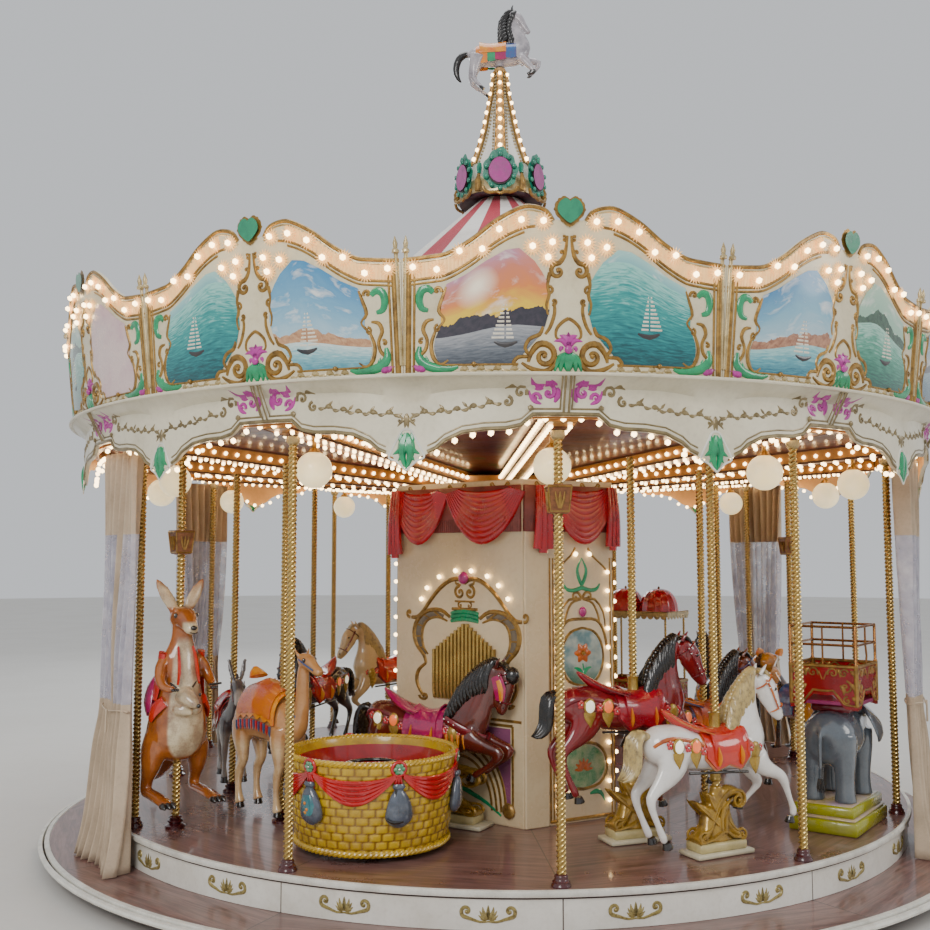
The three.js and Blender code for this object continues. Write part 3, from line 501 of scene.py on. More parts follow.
# Dark grey-brown laid in the hollow of the organ case's scrolls: painted shade.
hollow_painted_shade = finish("shell_hollow_painted_shade", 0x6F6350, 0x3B3226, gloss=0.3, coat=0.3, scale=14, amount=0.7)
violet_panel = finish("violet_panel", 0x8A5070, 0x70425E, gloss=0.22, coat=0.5, scale=4, amount=0.6)
bulb_glow = bpy.data.materials.new("warm_bulb")
bulb_glow.use_nodes = True
bulb_glow.node_tree.nodes["Principled BSDF"].inputs["Base Color"].default_value = (1, 0.85, 0.62, 1)
bulb_glow.node_tree.nodes["Principled BSDF"].inputs["Emission Color"].default_value = (1, 0.72, 0.36, 1)
bulb_glow.node_tree.nodes["Principled BSDF"].inputs["Emission Strength"].default_value = 9
bulb_glow.cycles.emission_sampling = "NONE"


def stand_against(form, corner_a, corner_b):
    """Sets a panel that was built facing the front, centred on x = 0, against one side of a plan."""
    a, b = Vector(corner_a), Vector(corner_b)
    heading = math.atan2(b.y - a.y, b.x - a.x)
    bmesh.ops.rotate(form, cent=(0, 0, 0), matrix=Matrix.Rotation(heading, 3, "Z"), verts=form.verts)
    bmesh.ops.translate(form, vec=((a.x + b.x) / 2, (a.y + b.y) / 2, 0), verts=form.verts)


def bulbs_at(form, places, radius=0.017, tone=0):
    for place in places:
        bead(form, place, radius, tone)


def organ_front(form, half):
    """The end panel: cream wall, arched case of pipes, and a dado with a violet panel."""
    bar(form, (-half, 0, 0.4003), (half, 0.04, 2.9997))
    bar(form, (-half + 0.03, -0.004, 0.41), (half - 0.02, 0, 1.17), 0.002)
    stroke(form, [(-half + 0.02, 1.175), (half - 0.015, 1.175)], [0.012] * 2, 1)
    bar(form, (-0.43, -0.006, 0.56), (0.53, -0.002, 1.12), 0.001, 5)
    arch = [(0.05 + 0.44 * math.cos(math.radians(a)), -0.0075, 0.5 + 0.54 * math.sin(math.radians(a)))
            for a in range(0, 181, 9)]
    form.faces.new([form.verts.new(point) for point in arch])
    for x in (-0.45, 0.55):
        stroke(form, [(x, 0.5), (x, 1.14)], [0.014] * 2, 1)
    stroke(form, [(-0.45, 1.14), (0.55, 1.14)], [0.014] * 2, 1)
    for i in range(4):
        reach = 0.44 - 0.045 * i
        stroke(form, [(0.05 + reach * math.cos(math.radians(a)), 0.5 + 1.22 * reach * math.sin(math.radians(a)))
                      for a in range(0, 181, 20)], [0.017] * 10, 1)
    stroke(form, [(-0.32, 0.82), (-0.1, 0.7), (0.1, 0.62), (0.3, 0.55), (0.44, 0.47)],
           [0.012, 0.03, 0.026, 0.02, 0.012], 2)
    bead(form, (0.52, -0.02, 0.52), 0.06, 1, 2, (1, 0.4, 1))
    c = 0.08
    pipes = 17
    for i in range(pipes):
        x = c - 0.3 + 0.6 * i / (pipes - 1)
        top = 1.9 - abs(i - 8.5) * 0.026
        limb(form, [[x, -0.012, 1.3, 0.014, 0.0155], [x, -0.02, 1.36, 0.02, 0.0165], [x, -0.02, top, 0.02, 0.0165]], 8,
             3)
    stroke(form, [(c - 0.32, 1.34), (c + 0.32, 1.34)], [0.014] * 2, 1)
    part = bmesh.new()
    # right half of the scrolled case, mirrored afterwards
    stroke(part, [(0.0, 2.2), (0.06, 2.235), (0.16, 2.22), (0.27, 2.15), (0.36, 2.06), (0.43, 1.98), (0.5, 1.925),
                  (0.56, 1.92)], [0.012, 0.018, 0.019, 0.019, 0.018, 0.017, 0.017, 0.015], 1)
    scroll(part, (0.585, 1.955), 0.038, -100, 0.9, 0.014, 1)
    scroll(part, (0.05, 2.13), 0.055, 90, -1.3, 0.014, 1, tail=[(0.1, 2.24), (0.09, 2.2)])
    scroll(part, (0.045, 2.03), 0.028, 90, -1, 0.009, 1)
    case = set(part.verts)
    stroke(part, [(0.15, 1.93), (0.22, 1.985), (0.32, 1.975), (0.395, 1.9), (0.42, 1.8), (0.4, 1.7), (0.345, 1.62),
                  (0.33, 1.56)], [0.012, 0.017, 0.018, 0.018, 0.017, 0.016, 0.014, 0.011], 1)
    stroke(part, [(0.33, 1.56), (0.385, 1.5), (0.4, 1.42), (0.375, 1.34), (0.34, 1.29)],
           [0.011, 0.014, 0.014, 0.013, 0.012], 1)
    scroll(part, (0.345, 1.3), 0.036, 0, -1.1, 0.012, 1)
    stroke(part, [(0.17, 1.9), (0.24, 1.93), (0.31, 1.91), (0.35, 1.85), (0.36, 1.76), (0.345, 1.68), (0.315, 1.63)],
           [0.008, 0.011, 0.011, 0.011, 0.01, 0.009, 0.007], 1)
    for (ax, az), (bx, bz) in (((0.2, 1.915), (0.27, 1.975)), ((0.3, 1.92), (0.36, 1.95)),
                               ((0.345, 1.85), (0.41, 1.87)), ((0.355, 1.77), (0.415, 1.77)),
                               ((0.34, 1.69), (0.39, 1.67))):
        stroke(part, [(ax, az), (bx, bz)], [0.008, 0.011], 1)
    # a flat dark band in the hollow of the scroll: painted shade
    stroke(part, [(0.2, 1.93), (0.28, 1.95), (0.35, 1.9), (0.385, 1.82), (0.375, 1.72), (0.33, 1.63)],
           [0.02, 0.03, 0.032, 0.03, 0.026, 0.01], 4, flat=0.15)
    for vert in part.verts:
        if vert not in case:
            vert.co.x = 0.15 + (vert.co.x - 0.15) * 1.42
    mirror_across(part)
    bmesh.ops.translate(part, vec=(c, 0, 0), verts=part.verts)
    add(form, part)
    for i in range(3):
        stroke(form, [(c - 0.14, 1.905 + 0.03 * i), (c, 1.925 + 0.03 * i), (c + 0.14, 1.905 + 0.03 * i)],
               [0.014, 0.02, 0.014], 2)
    stroke(form, [(c - 0.13, 2.0), (c + 0.13, 2.0)], [0.012] * 2, 1)
    stroke(form, [(c - 0.1, 2.06), (c + 0.1, 2.06)], [0.008] * 2, 1)
    bead(form, (c, -0.02, 2.245), 0.05, 6, 2, (1, 0.5, 1))
    bulbs_at(form, [(c + x, -0.02, z) for x, z in ((-0.44, 2.07), (-0.38, 2.16), (-0.25, 2.25), (-0.08, 2.3),
                                                   (0.08, 2.3), (0.24, 2.26), (0.35, 2.19), (0.44, 2.09))], 0.02, 7)


def portrait_front(form, half):
    """The slanted panel: plain pilaster, gilt frame with bulbs, ribbon, jewel, oval flower picture and shield."""
    bar(form, (-half, 0, 0.4003), (half, 0.04, 2.9997))
    bar(form, (-half + 0.005, -0.025, 0.401), (-0.2, 0, 2.62), 0.008)
    for x in (-0.175, 0.39):
        for offset in (0, 0.028):
            stroke(form, [(x + offset, 0.42), (x + offset, 2.4)], [0.008] * 2, 1)
    stroke(form, [(-0.175, 0.425), (0.415, 0.425)], [0.014] * 2, 1)
    m = 0.122
    part = bmesh.new()
    stroke(part, [(0.0, 0.99), (0.12, 0.97), (0.2, 0.9), (0.22, 0.78), (0.15, 0.67), (0.0, 0.64)], [0.012] * 6, 1)
    stroke(part, [(0.0, 1.42), (0.13, 1.46), (0.185, 1.56), (0.195, 1.65), (0.175, 1.75), (0.11, 1.83), (0.0, 1.86)],
           [0.011] * 7, 1)
    stroke(part, [(0.0, 1.93), (0.13, 1.92), (0.2, 1.84), (0.235, 1.7)], [0.012] * 4, 1)
    scroll(part, (0.06, 2.1), 0.05, 200, -0.9, 0.013, 1, tail=[(0.22, 1.86), (0.2, 1.98), (0.12, 2.08)])
    stroke(part, [(0.02, 2.08), (0.1, 2.05), (0.15, 1.96), (0.16, 1.9)], [0.01] * 4, 1)
    stroke(part, [(0.0, 2.17), (0.08, 2.15), (0.14, 2.16), (0.17, 2.2)], [0.018, 0.016, 0.014, 0.007], 2)
    stroke(part, [(0.0, 2.19), (0.03, 2.25), (0.04, 2.32), (0.0, 2.4)], [0.014, 0.016, 0.012, 0.004], 2)
    stroke(part, [(0.06, 2.48), (0.1, 2.42), (0.2, 2.34), (0.235, 2.3)], [0.009] * 4, 1)
    leaf(part, (0.06, 0.6), (0.2, 0.53), 0.02, 2, 0.3)
    bulbs_at(part, [(0.235, -0.015, 2.29 - 0.146 * i) for i in range(13)], 0.018, 6)
    bead(part, (0.065, -0.015, 2.43), 0.02, 6)
    mirror_across(part)
    bmesh.ops.translate(part, vec=(m, 0, 0), verts=part.verts)
    add(form, part)
    bead(form, (m, -0.01, 1.985), 0.034, 5, 2, (1, 0.5, 1.2))
    made = bmesh.ops.create_circle(form, cap_ends=True, radius=1, segments=28)["verts"]
    for vert in made:
        vert.co = (m + vert.co.x * 0.185, -0.004, 1.64 + vert.co.y * 0.215)
    for face in faces_of(made):
        face.material_index = 3
    # one red bloom with its stalk and two leaves
    for length, width, turn in ((0.088, 0.036, 0), (0.055, 0.027, 30)):
        for i in range(6):
            angle = math.radians(60 * i + turn)
            leaf(form, (m, 1.67), (m + length * math.cos(angle), 1.67 + length * math.sin(angle)), width, 7, 0, 0.4)
    bead(form, (m, -0.016, 1.67), 0.02, 1)
    stroke(form, [(m, 1.59), (m + 0.012, 1.52), (m, 1.45)], [0.009] * 3, 2)
    for side in (1, -1):
        leaf(form, (m, 1.49), (m + side * 0.1, 1.56), 0.022, 2, side * 0.2)
    made = bmesh.ops.create_circle(form, cap_ends=True, radius=1, segments=24)["verts"]
    for vert in made:
        vert.co = (m + vert.co.x * 0.2, -0.004, 0.815 + vert.co.y * 0.16)
    for face in faces_of(made):
        face.material_index = 4
    for i in range(7):
        spread = math.radians(180 * i / 6)
        leaf(form, (m, 0.79), (m + 0.1 * math.cos(spread), 0.79 + 0.1 * math.sin(spread)), 0.02, 7, 0, 0.5)


def flower_picture(tree):
    """A clouded blue-grey ground, darker and greener towards the foot."""
    at = node(tree, "TexCoord").outputs["Object"]
    high = node(tree, "SeparateXYZ", {"Vector": at}).outputs[2]
    meadow = ramp(tree, sums(tree, "SUBTRACT", high, 1.0), [(0.45, rgb(0xFFFFFF)), (0.6, rgb(0x000000))])
    sky = ramp(tree, node(tree, "TexNoise", {"Vector": at, "Scale": 9.0}).outputs["Fac"],
               [(0.35, rgb(0x6E8F93)), (0.65, rgb(0xC7CDBE))])
    return blend_colour(tree, meadow, sky, rgb(0x3F6B50))


flower_paint = recolour(finish("flower_picture", 0x9AA79A, 0x6E6A55, gloss=0.25, coat=0.5, scale=10, amount=0.3),
                        flower_picture)
shield_paint = finish("shield_green", 0x4E8F58, 0xC9C79A, gloss=0.25, coat=0.5, scale=9, amount=0.9)
shield_flower = finish("shield_flower", 0xC8641E, 0x8A3A12, gloss=0.25, coat=0.4, scale=20, amount=0.6)
bare_panel = finish("mirror_panel", 0xCDBB98, 0xA68B60, gloss=0.2, coat=0.4, scale=2.0, amount=0.4)

ends = {"drum_organ_front": (5, 0), "drum_organ_rear": (2, 3)}
for name, (a, b) in ends.items():
    wall = bmesh.new()
    length = (Vector(PLAN[b]) - Vector(PLAN[a])).length / 2 - 0.0008
    organ_front(wall, length)
    stand_against(wall, PLAN[a], PLAN[b])
    settle(name.replace("drum", "show"), wall, [panel_cream, old_gold, leaf_green, pipe_gold, hollow_painted_shade, violet_panel,
                                                jewel_pink, bulb_glow], "rotor", replaces=[name])
for name, (a, b) in {"drum_portrait_right": (0, 1), "drum_portrait_left": (3, 4)}.items():
    wall = bmesh.new()
    length = (Vector(PLAN[b]) - Vector(PLAN[a])).length / 2 - 0.0008
    portrait_front(wall, length)
    stand_against(wall, PLAN[a], PLAN[b])
    settle(name.replace("drum", "show"), wall, [panel_cream, old_gold, leaf_green, flower_paint, shield_paint,
                                                jewel_pink, bulb_glow, shield_flower], "rotor",
           replaces=[name])
for name, (a, b) in {"drum_side_right": (1, 2), "drum_side_left": (4, 5)}.items():
    wall = bmesh.new()
    length = (Vector(PLAN[b]) - Vector(PLAN[a])).length / 2 - 0.0008
    bar(wall, (-length, 0, 0.4003), (length, 0.04, 2.9997))
    for i in range(4):
        left = -length + 0.06 + i * (2 * length - 0.06) / 4
        right = left + (2 * length - 0.06) / 4 - 0.06
        for low, high in ((0.5, 1.1), (1.2, 2.5)):
            bar(wall, (left + 0.03, -0.008, low + 0.03), (right - 0.03, 0, high - 0.03), 0.006, 2)
            stroke(wall, [(left, low), (left, high)], [0.009] * 2, 1)
            stroke(wall, [(right, low), (right, high)], [0.009] * 2, 1)
            stroke(wall, [(left, high), (right, high)], [0.009] * 2, 1)
            stroke(wall, [(left, low), (right, low)], [0.009] * 2, 1)
        centre = (left + right) / 2
        scroll(wall, (centre - 0.1, 2.3), 0.06, 0, 1.1, 0.016, 1, tail=[(centre, 2.4), (centre - 0.03, 2.33)])
        scroll(wall, (centre + 0.1, 2.3), 0.06, 180, -1.1, 0.016, 1, tail=[(centre, 2.4), (centre + 0.03, 2.33)])
        leaf(wall, (centre, 2.3), (centre, 2.44), 0.03, 3)
    bulbs_at(wall, [(-length + 0.03, -0.015, 0.6 + 0.146 * i) for i in range(13)], 0.018, 4)
    bulbs_at(wall, [(length - 0.03, -0.015, 0.6 + 0.146 * i) for i in range(13)], 0.018, 4)
    stand_against(wall, PLAN[a], PLAN[b])
    settle(name.replace("drum", "plain"), wall, [panel_cream, old_gold, bare_panel, leaf_green, bulb_glow], "rotor",
           replaces=[name])


# ---- Valance ----
# A moulded valance in red gloss hangs round the top of the drum: swags over a pleated band, tails at the corners.
valance_red = finish("valance_red", 0xBC1020, 0x8C0A18, gloss=0.16, coat=0.8, scale=6, amount=0.7, bump=0.08)
fringe_brown = finish("fringe_brown", 0x8A4038, 0x5A2420, gloss=0.35, coat=0.2, scale=12, amount=0.6)


def swag(form, left, right, top, drop, rolls=9, out=-0.03):
    """Sagging rolls of cloth between two points, each a little lower and deeper than the one above."""
    span = right - left
    for k in range(rolls):
        share = k / (rolls - 1)
        ends, low = top - 0.03 * share, top - 0.05 - (drop - 0.05) * share
        inset = span * 0.02 * (rolls - k)
        points = []
        for i in range(9):
            t = i / 8
            x = left + inset + (span - 2 * inset) * t
            points.append([x, out - 0.035 * math.sin(math.pi * t) * (0.5 + 0.5 * share),
                           ends - (ends - low) * math.sin(math.pi * t) ** 0.8, 0.022,
                           0.012 + 0.02 * math.sin(math.pi * t)])
        limb(form, points, 7, 0, between=2)


def tail(form, x, top, bottom, width, out=-0.05):
    """A corner tail of three pleats that widens downwards."""
    for i in (-1, 0, 1):
        limb(form, [[x + i * width * 0.2, out, top, 0.03, width * 0.16],
                    [x + i * width * 0.27, out - 0.02, (top + bottom) / 2, 0.034, width * 0.2],
                    [x + i * width * 0.32, out - 0.01, bottom + 0.03 * abs(i), 0.034, width * 0.24]], 8, 0, between=3)


swag_parts = {(5, 0): ((-0.66, -0.06), (-0.1, 0.7)), (0, 1): ((-0.2, 0.42),),
              (1, 2): ((-1.4, -0.72), (-0.72, 0.0), (0.0, 0.72), (0.72, 1.4)), (2, 3): ((-0.66, -0.06), (-0.1, 0.7)),
              (3, 4): ((-0.2, 0.42),), (4, 5): ((-1.4, -0.72), (-0.72, 0.0), (0.0, 0.72), (0.72, 1.4))}
valance = bmesh.new()
for (a, b), spans in swag_parts.items():
    part = bmesh.new()
    length = (Vector(PLAN[b]) - Vector(PLAN[a])).length / 2
    bar(part, (-length + 0.005, -0.03, 2.6), (length - 0.005, -0.002, 2.955), 0.004, 1)
    for i in range(int(length * 2 / 0.022)):
        stroke(part, [(-length + 0.012 + 0.022 * i, 2.6), (-length + 0.012 + 0.022 * i, 2.7)], [0.008, 0.008], 1, 4, 1,
               4.2)
    for left, right in spans:
        swag(part, left, right, 2.935, 0.4)
    if len(spans) == 1:
        tail(part, -0.27, 2.95, 2.44, 0.16)
        tail(part, length - 0.04, 2.95, 2.46, 0.12)
    elif len(spans) == 2:
        tail(part, -length + 0.03, 2.95, 2.4, 0.13)
    for k in range(3 if length > 0.5 else 2):
        centre = -length + length * 2 * (k + 0.5) / (3 if length > 0.5 else 2)
        scroll(part, (centre - 0.08, 2.965), 0.02, 0, 1, 0.008, 2, tail=[(centre, 2.95), (centre - 0.04, 2.95)])
        scroll(part, (centre + 0.08, 2.965), 0.02, 180, -1, 0.008, 2, tail=[(centre, 2.95), (centre + 0.04, 2.95)])
    stand_against(part, PLAN[a], PLAN[b])
    add(valance, part)
settle("valance", valance, [valance_red, fringe_brown, old_gold], "rotor", 50,
       replaces=["drape_valance"])

# ---- Sweeps, ceiling and lamps ----
# Twelve gilded box sweeps rise from the hub to the rim. Rows of warm bulbs run along each, and an opal
# globe hangs near its end. Painted cloth-like panels between them close the roof space.
sweep_gilt = finish("sweep_gilt", 0xC08A48, 0x7A4A20, gloss=0.3, metal=0.25, coat=0.2, scale=8, amount=0.6)
sweep_edge = finish("sweep_edge", 0x5A3318, 0x3A2010, gloss=0.35, scale=9, amount=0.5)


def sweep_bottom(radius):
    return 3.0 + 0.24 * (radius - 0.42) / 3.22


sweep_part = bmesh.new()
bar(sweep_part, (-0.095, -3.6, 0), (0.095, -0.42, 0.11), 0.006)
for x in (-0.095, 0.095):
    bar(sweep_part, (x - 0.006, -3.6, -0.004), (x + 0.006, -0.45, 0.014), 0.003, 1)
    bar(sweep_part, (x - 0.006, -3.6, 0.098), (x + 0.006, -0.45, 0.114), 0.003, 1)
for vert in sweep_part.verts:
    vert.co.z += sweep_bottom(-vert.co.y)
bar(sweep_part, (-0.055, -3.455, 3.205), (0.055, -3.345, 3.24), 0.004, 1)
limb(sweep_part, [[0, -3.15, 3.11, 0.016, 0.016], [0, -3.15, 3.22, 0.016, 0.016]], 12, 2)
limb(sweep_part, [[0, -3.15, 3.118, 0.05, 0.05], [0, -3.15, 3.15, 0.03, 0.03]], 16, 2)
turn_by(sweep_part, FIRST)
all_round(sweep_part)
spun_ring(sweep_part, [(0.17, 3.0), (0.94, 3.0), (0.94, 3.11), (0.17, 3.11)], 72)
spun_ring(sweep_part, [(3.607, 3.25), (3.657, 3.25), (3.657, 3.42), (3.607, 3.42)])
limb(sweep_part, [[0, 0, 3.06, 0.3, 0.3], [0, 0, 3.11, 0.3, 0.3]], 32)
limb(sweep_part, [[0, 0, 3.1, 0.07, 0.07], [0, 0, 5.67, 0.07, 0.07]], 20, 1)
settle("sweeps", sweep_part, [sweep_gilt, sweep_edge, old_gold], "rotor", replaces=["sweep_frame"])

bulb_rows = bmesh.new()
for i in range(31):
    r = 0.62 + i * 0.096
    for x, z in ((-0.062, -0.012), (0.062, -0.012), (-0.107, 0.055), (0.107, 0.055)):
        bead(bulb_rows, (x, -r - (0.048 if abs(x) > 0.1 else 0), sweep_bottom(r) + z), 0.0175)
turn_by(bulb_rows, FIRST)
all_round(bulb_rows)
settle("sweep_bulbs", bulb_rows, [bulb_glow], "rotor", 180)

opal = bpy.data.materials.new("opal_globe")
opal.use_nodes = True
tree = opal.node_tree
shade = tree.nodes["Principled BSDF"]
mist = ramp(tree, node(tree, "TexNoise", {"Vector": node(tree, "TexCoord").outputs["Object"], "Scale": 5.0,
                                          "Detail": 3.0}).outputs["Fac"],
            [(0.3, (1, 0.8, 0.42, 1)), (0.7, (1, 0.87, 0.55, 1))])
tree.links.new(mist, shade.inputs["Base Color"])
tree.links.new(mist, shade.inputs["Emission Color"])
shade.inputs["Emission Strength"].default_value = 0.95
shade.inputs["Roughness"].default_value = 0.2
opal.cycles.emission_sampling = "NONE"
globes = bmesh.new()
ball = bmesh.ops.create_uvsphere(globes, u_segments=28, v_segments=18, radius=0.125)["verts"]
bmesh.ops.translate(globes, vec=(0, -3.15, 3.0), verts=ball)
turn_by(globes, FIRST)
all_round(globes)
settle("globes", globes, [opal], "rotor", 180)

ceiling_paint = finish("ceiling_paint", 0x5A1420, 0x241018, gloss=0.3, coat=0.3, scale=1.5, amount=0.6)


def ceiling_panels(tree):
    """Panels of wine red and slate violet, streaked across, with leaves of dull green near the hub."""
    at = node(tree, "SeparateXYZ", {"Vector": node(tree, "TexCoord").outputs["Object"]}).outputs
    angle = sums(tree, "ARCTAN2", at[0], sums(tree, "MULTIPLY", at[1], -1.0))
    radius = sums(tree, "SQRT",
                  sums(tree, "ADD", sums(tree, "MULTIPLY", at[0], at[0]), sums(tree, "MULTIPLY", at[1], at[1])))
    run = node(tree, "CombineXYZ", {0: sums(tree, "MULTIPLY", angle, 2.2), 1: sums(tree, "MULTIPLY", radius, 9.0),
                                    2: 0.0})
    streak = node(tree, "TexNoise", {"Vector": run.outputs[0], "Scale": 1.1, "Detail": 5.0, "Roughness": 0.65,
                                     "Distortion": 0.4})
    base = ramp(tree, streak.outputs["Fac"], [(0.3, rgb(0x3A0F1C)), (0.45, rgb(0x6B1626)), (0.55, rgb(0x4A3A5C)),
                                              (0.68, rgb(0x7A1A2C))])
    vines = node(tree, "TexVoronoi",
                 {"Vector": node(tree, "CombineXYZ", {0: sums(tree, "MULTIPLY", angle, 9.0),
                                                      1: sums(tree, "MULTIPLY", radius, 5.0), 2: 0.0}).outputs[0],
                  "Scale": 1.0}).outputs["Distance"]
    near = sums(tree, "MULTIPLY", sums(tree, "LESS_THAN", radius, 1.7), sums(tree, "LESS_THAN", vines, 0.32))
    return blend_colour(tree, near, base, rgb(0x2C5A46))


recolour(ceiling_paint, ceiling_panels)
nodes["ceiling"].data.materials.clear()
nodes["ceiling"].data.materials.append(ceiling_paint)


# ---- Fascia ----
# A cream moulded band in twelve sections, bolted to the rim: a scalloped lower edge with a grey-gold moulding,
# gilded garlands, pink scrolls at each joint and a green leaf drop under each post. Bulbs hang behind its edge.
fascia_cream = finish("fascia_cream", 0xDDD5BC, 0xA89C80, gloss=0.28, coat=0.3, scale=2.2, amount=0.45, bump=0.05)
edge_gold = finish("edge_gold", 0x8F7E58, 0x4E4028, gloss=0.32, metal=0.35, coat=0.2, scale=16, amount=0.7, bump=0.25)
band_pink = finish("band_pink", 0xB93A9A, 0x7A2466, gloss=0.25, coat=0.4, scale=9, amount=0.5)
# The back face of the band glows warm: painted light from the bulbs behind its edge.
lit_back = finish("lit_back", 0xE2A662, 0xB87834, gloss=0.5, scale=6, amount=0.4, glow=0.35)

SCALLOP = [(0, 3.258), (3.1, 3.256), (4.2, 3.193), (5.6, 3.172), (7.7, 3.168), (9.7, 3.15), (11.4, 3.1), (12.2, 3.055),
           (13.4, 3.02), (15, 3.0)]


def at_angle(table, angle):
    """Height from a table of (degrees, height), eased between its rows."""
    angle = abs(angle)
    for (a, low), (b, high) in zip(table, table[1:]):
        if angle <= b:
            t = (angle - a) / (b - a)
            return low + (high - low) * t
    return table[-1][1]


def fascia_face(z):
    """The band's face: upright below, a hollow above that swings out to the cornice."""
    t = max(0.0, min(1.0, (z - 3.42) / 0.07))
    return 3.714 + 0.016 * max(0, (3.3 - z)) + 0.118 * t * t * (3 - 2 * t)


def fascia_sheet(form, steps=60):
    """One section of the band as a sheet with a wall behind it."""
    sheet = bmesh.new()
    bmesh.ops.create_grid(sheet, x_segments=steps, y_segments=9, size=0.5)
    for vert in sheet.verts:
        turn, share = vert.co.x * 30, vert.co.y + 0.5
        low = at_angle(SCALLOP, turn)
        z = low + (3.5 - low) * share
        vert.co = (math.radians(turn) * 3.72, 0, z)
    bmesh.ops.recalc_face_normals(sheet, faces=sheet.faces)
    if sheet.faces[:][0].normal.y > 0:
        bmesh.ops.reverse_faces(sheet, faces=sheet.faces)
    for vert in sheet.verts:
        x, z = vert.co.x, vert.co.z
        angle, r = x / 3.72, fascia_face(z)
        vert.co = (r * math.sin(angle), -r * math.cos(angle), z)
    bmesh.ops.solidify(sheet, geom=sheet.faces[:], thickness=0.03)
    sheet.normal_update()
    for face in sheet.faces:
        out = Vector((face.calc_center_median().x, face.calc_center_median().y, 0)).normalized()
        # faces turned inwards take the glowing back finish: painted bulb light
        if face.normal.dot(out) < -0.3:
            face.material_index = 3
    add(form, sheet)


def arc(degrees, radius=3.72):
    return math.radians(degrees) * radius


ornament = bmesh.new()
edge_line = [(arc(a), at_angle(SCALLOP, a)) for a in (0, 1, 2, 3.1, 3.6, 4.2, 4.9, 5.6, 6.6, 7.7, 8.7, 9.7, 10.6, 11.4,
                                                      12.2, 13)]
stroke(ornament, [(x, z + 0.012) for x, z in edge_line], [0.012] * 16, 1, 6, 1)
stroke(ornament, [(x, z + 0.048) for x, z in edge_line[3:]], [0.006] * 13, 1, 5, 1)
stroke(ornament, [(0.016, 3.275), (0.016, 3.49)], [0.007] * 2, 1)
stroke(ornament, [(0.036, 3.3), (0.036, 3.49)], [0.005] * 2, 1)
stroke(ornament, [(0.03, 3.3), (0.2, 3.3)], [0.007] * 2, 1)
bead(ornament, (0.215, -0.008, 3.305), 0.02, 1, 1, (1, 0.6, 1))
# pink scroll beside the joint
scroll(ornament, (0.105, 3.4), 0.05, 60, 1.05, 0.017, 2)
scroll(ornament, (0.185, 3.37), 0.032, 200, -1.0, 0.013, 2)
leaf(ornament, (0.07, 3.34), (0.1, 3.465), 0.02, 2, 0.3)
leaf(ornament, (0.12, 3.44), (0.225, 3.475), 0.018, 2, -0.25)
leaf(ornament, (0.15, 3.33), (0.225, 3.425), 0.014, 2, -0.2)
# gilded garland from a scroll, dipping to the drop under the post
scroll(ornament, (0.275, 3.4), 0.042, 200, -1.15, 0.013, 1)
scroll(ornament, (0.355, 3.345), 0.034, 100, 1.1, 0.011, 1)
leaf(ornament, (0.3, 3.43), (0.375, 3.415), 0.014, 1, 0.2)
knots(ornament, [(0.39, 3.335), (0.44, 3.34), (0.49, 3.325), (0.54, 3.318), (0.59, 3.305), (0.64, 3.3), (0.69, 3.292),
                 (0.74, 3.29), (0.79, 3.28), (0.84, 3.288), (0.89, 3.275), (0.945, 3.283)], 0.013, 1)
for x, z in ((0.46, 3.355), (0.6, 3.325), (0.74, 3.31), (0.86, 3.305)):
    leaf(ornament, (x, z - 0.01), (x + 0.03, z + 0.022), 0.009, 1)
    leaf(ornament, (x, z - 0.01), (x - 0.028, z - 0.03), 0.008, 1)
# half of the green leaf drop, and the small pendant over it
drop = arc(15)
for (rx, rz), (tx, tz), w in (((0.0, 3.16), (0.0, 2.94), 0.03), ((0.006, 3.13), (0.052, 2.99), 0.024),
                              ((0.01, 3.11), (0.086, 3.03), 0.02)):
    leaf(ornament, (drop - rx, rz), (drop - tx, tz), w, 4, 0.12, 0.9)
leaf(ornament, (drop - 0.002, 3.08), (drop - 0.03, 3.17), 0.02, 4, 0.2)
stroke(ornament, [(drop, 3.185), (drop - 0.03, 3.175), (drop - 0.055, 3.13), (drop - 0.095, 3.055), (drop - 0.11, 3.01),
                  (drop - 0.06, 2.985), (drop, 2.93)], [0.007] * 7, 5, 5)
scroll(ornament, (drop - 0.045, 3.24), 0.024, 120, -1, 0.008, 1)
leaf(ornament, (drop, 3.28), (drop - 0.012, 3.19), 0.016, 1)
leaf(ornament, (drop - 0.01, 3.255), (drop - 0.06, 3.2), 0.01, 1)
mirror_across(ornament)
curl(ornament, fascia_face)

fascia = bmesh.new()
fascia_sheet(fascia)
backing = bmesh.ops.create_circle(fascia, cap_ends=True, radius=1, segments=20)["verts"]
for vert in backing:
    angle = math.radians(15) + vert.co.x * 0.026
    vert.co = (3.716 * math.sin(angle), -3.716 * math.cos(angle), 3.06 + vert.co.y * 0.1)
add(fascia, ornament)
turn_by(fascia, FIRST)
all_round(fascia)
spun_ring(fascia, [(3.83, 3.484), (3.846, 3.488), (3.85, 3.497), (3.846, 3.506), (3.83, 3.51), (3.8, 3.5)])
settle("fascia", fascia, [fascia_cream, edge_gold, band_pink, lit_back, leaf_green, lip_white], "rotor",
       40, replaces=["fascia_ring"])

edge_bulbs = bmesh.new()
for i in range(17):
    a = -15 + 30 * (i + 0.5) / 17
    r = 3.62
    z = at_angle(SCALLOP, a) - 0.005
    bead(edge_bulbs, (r * math.sin(math.radians(a)), -r * math.cos(math.radians(a)), z), 0.021)
turn_by(edge_bulbs, FIRST)
all_round(edge_bulbs)
settle("fascia_bulbs", edge_bulbs, [bulb_glow], "rotor", 180)


# ---- Crown ----
# Twelve moulded boards with a wavy top lean outwards on the fascia. Each has a band of bulbs in gilded suns,
# two seaside pictures in scrolled frames and a shield over its middle. Twin gilt posts close each joint.
crown_cream = finish("crown_cream", 0xDDD2B2, 0xA8976C, gloss=0.25, coat=0.35, scale=2.4, amount=0.5, bump=0.06)
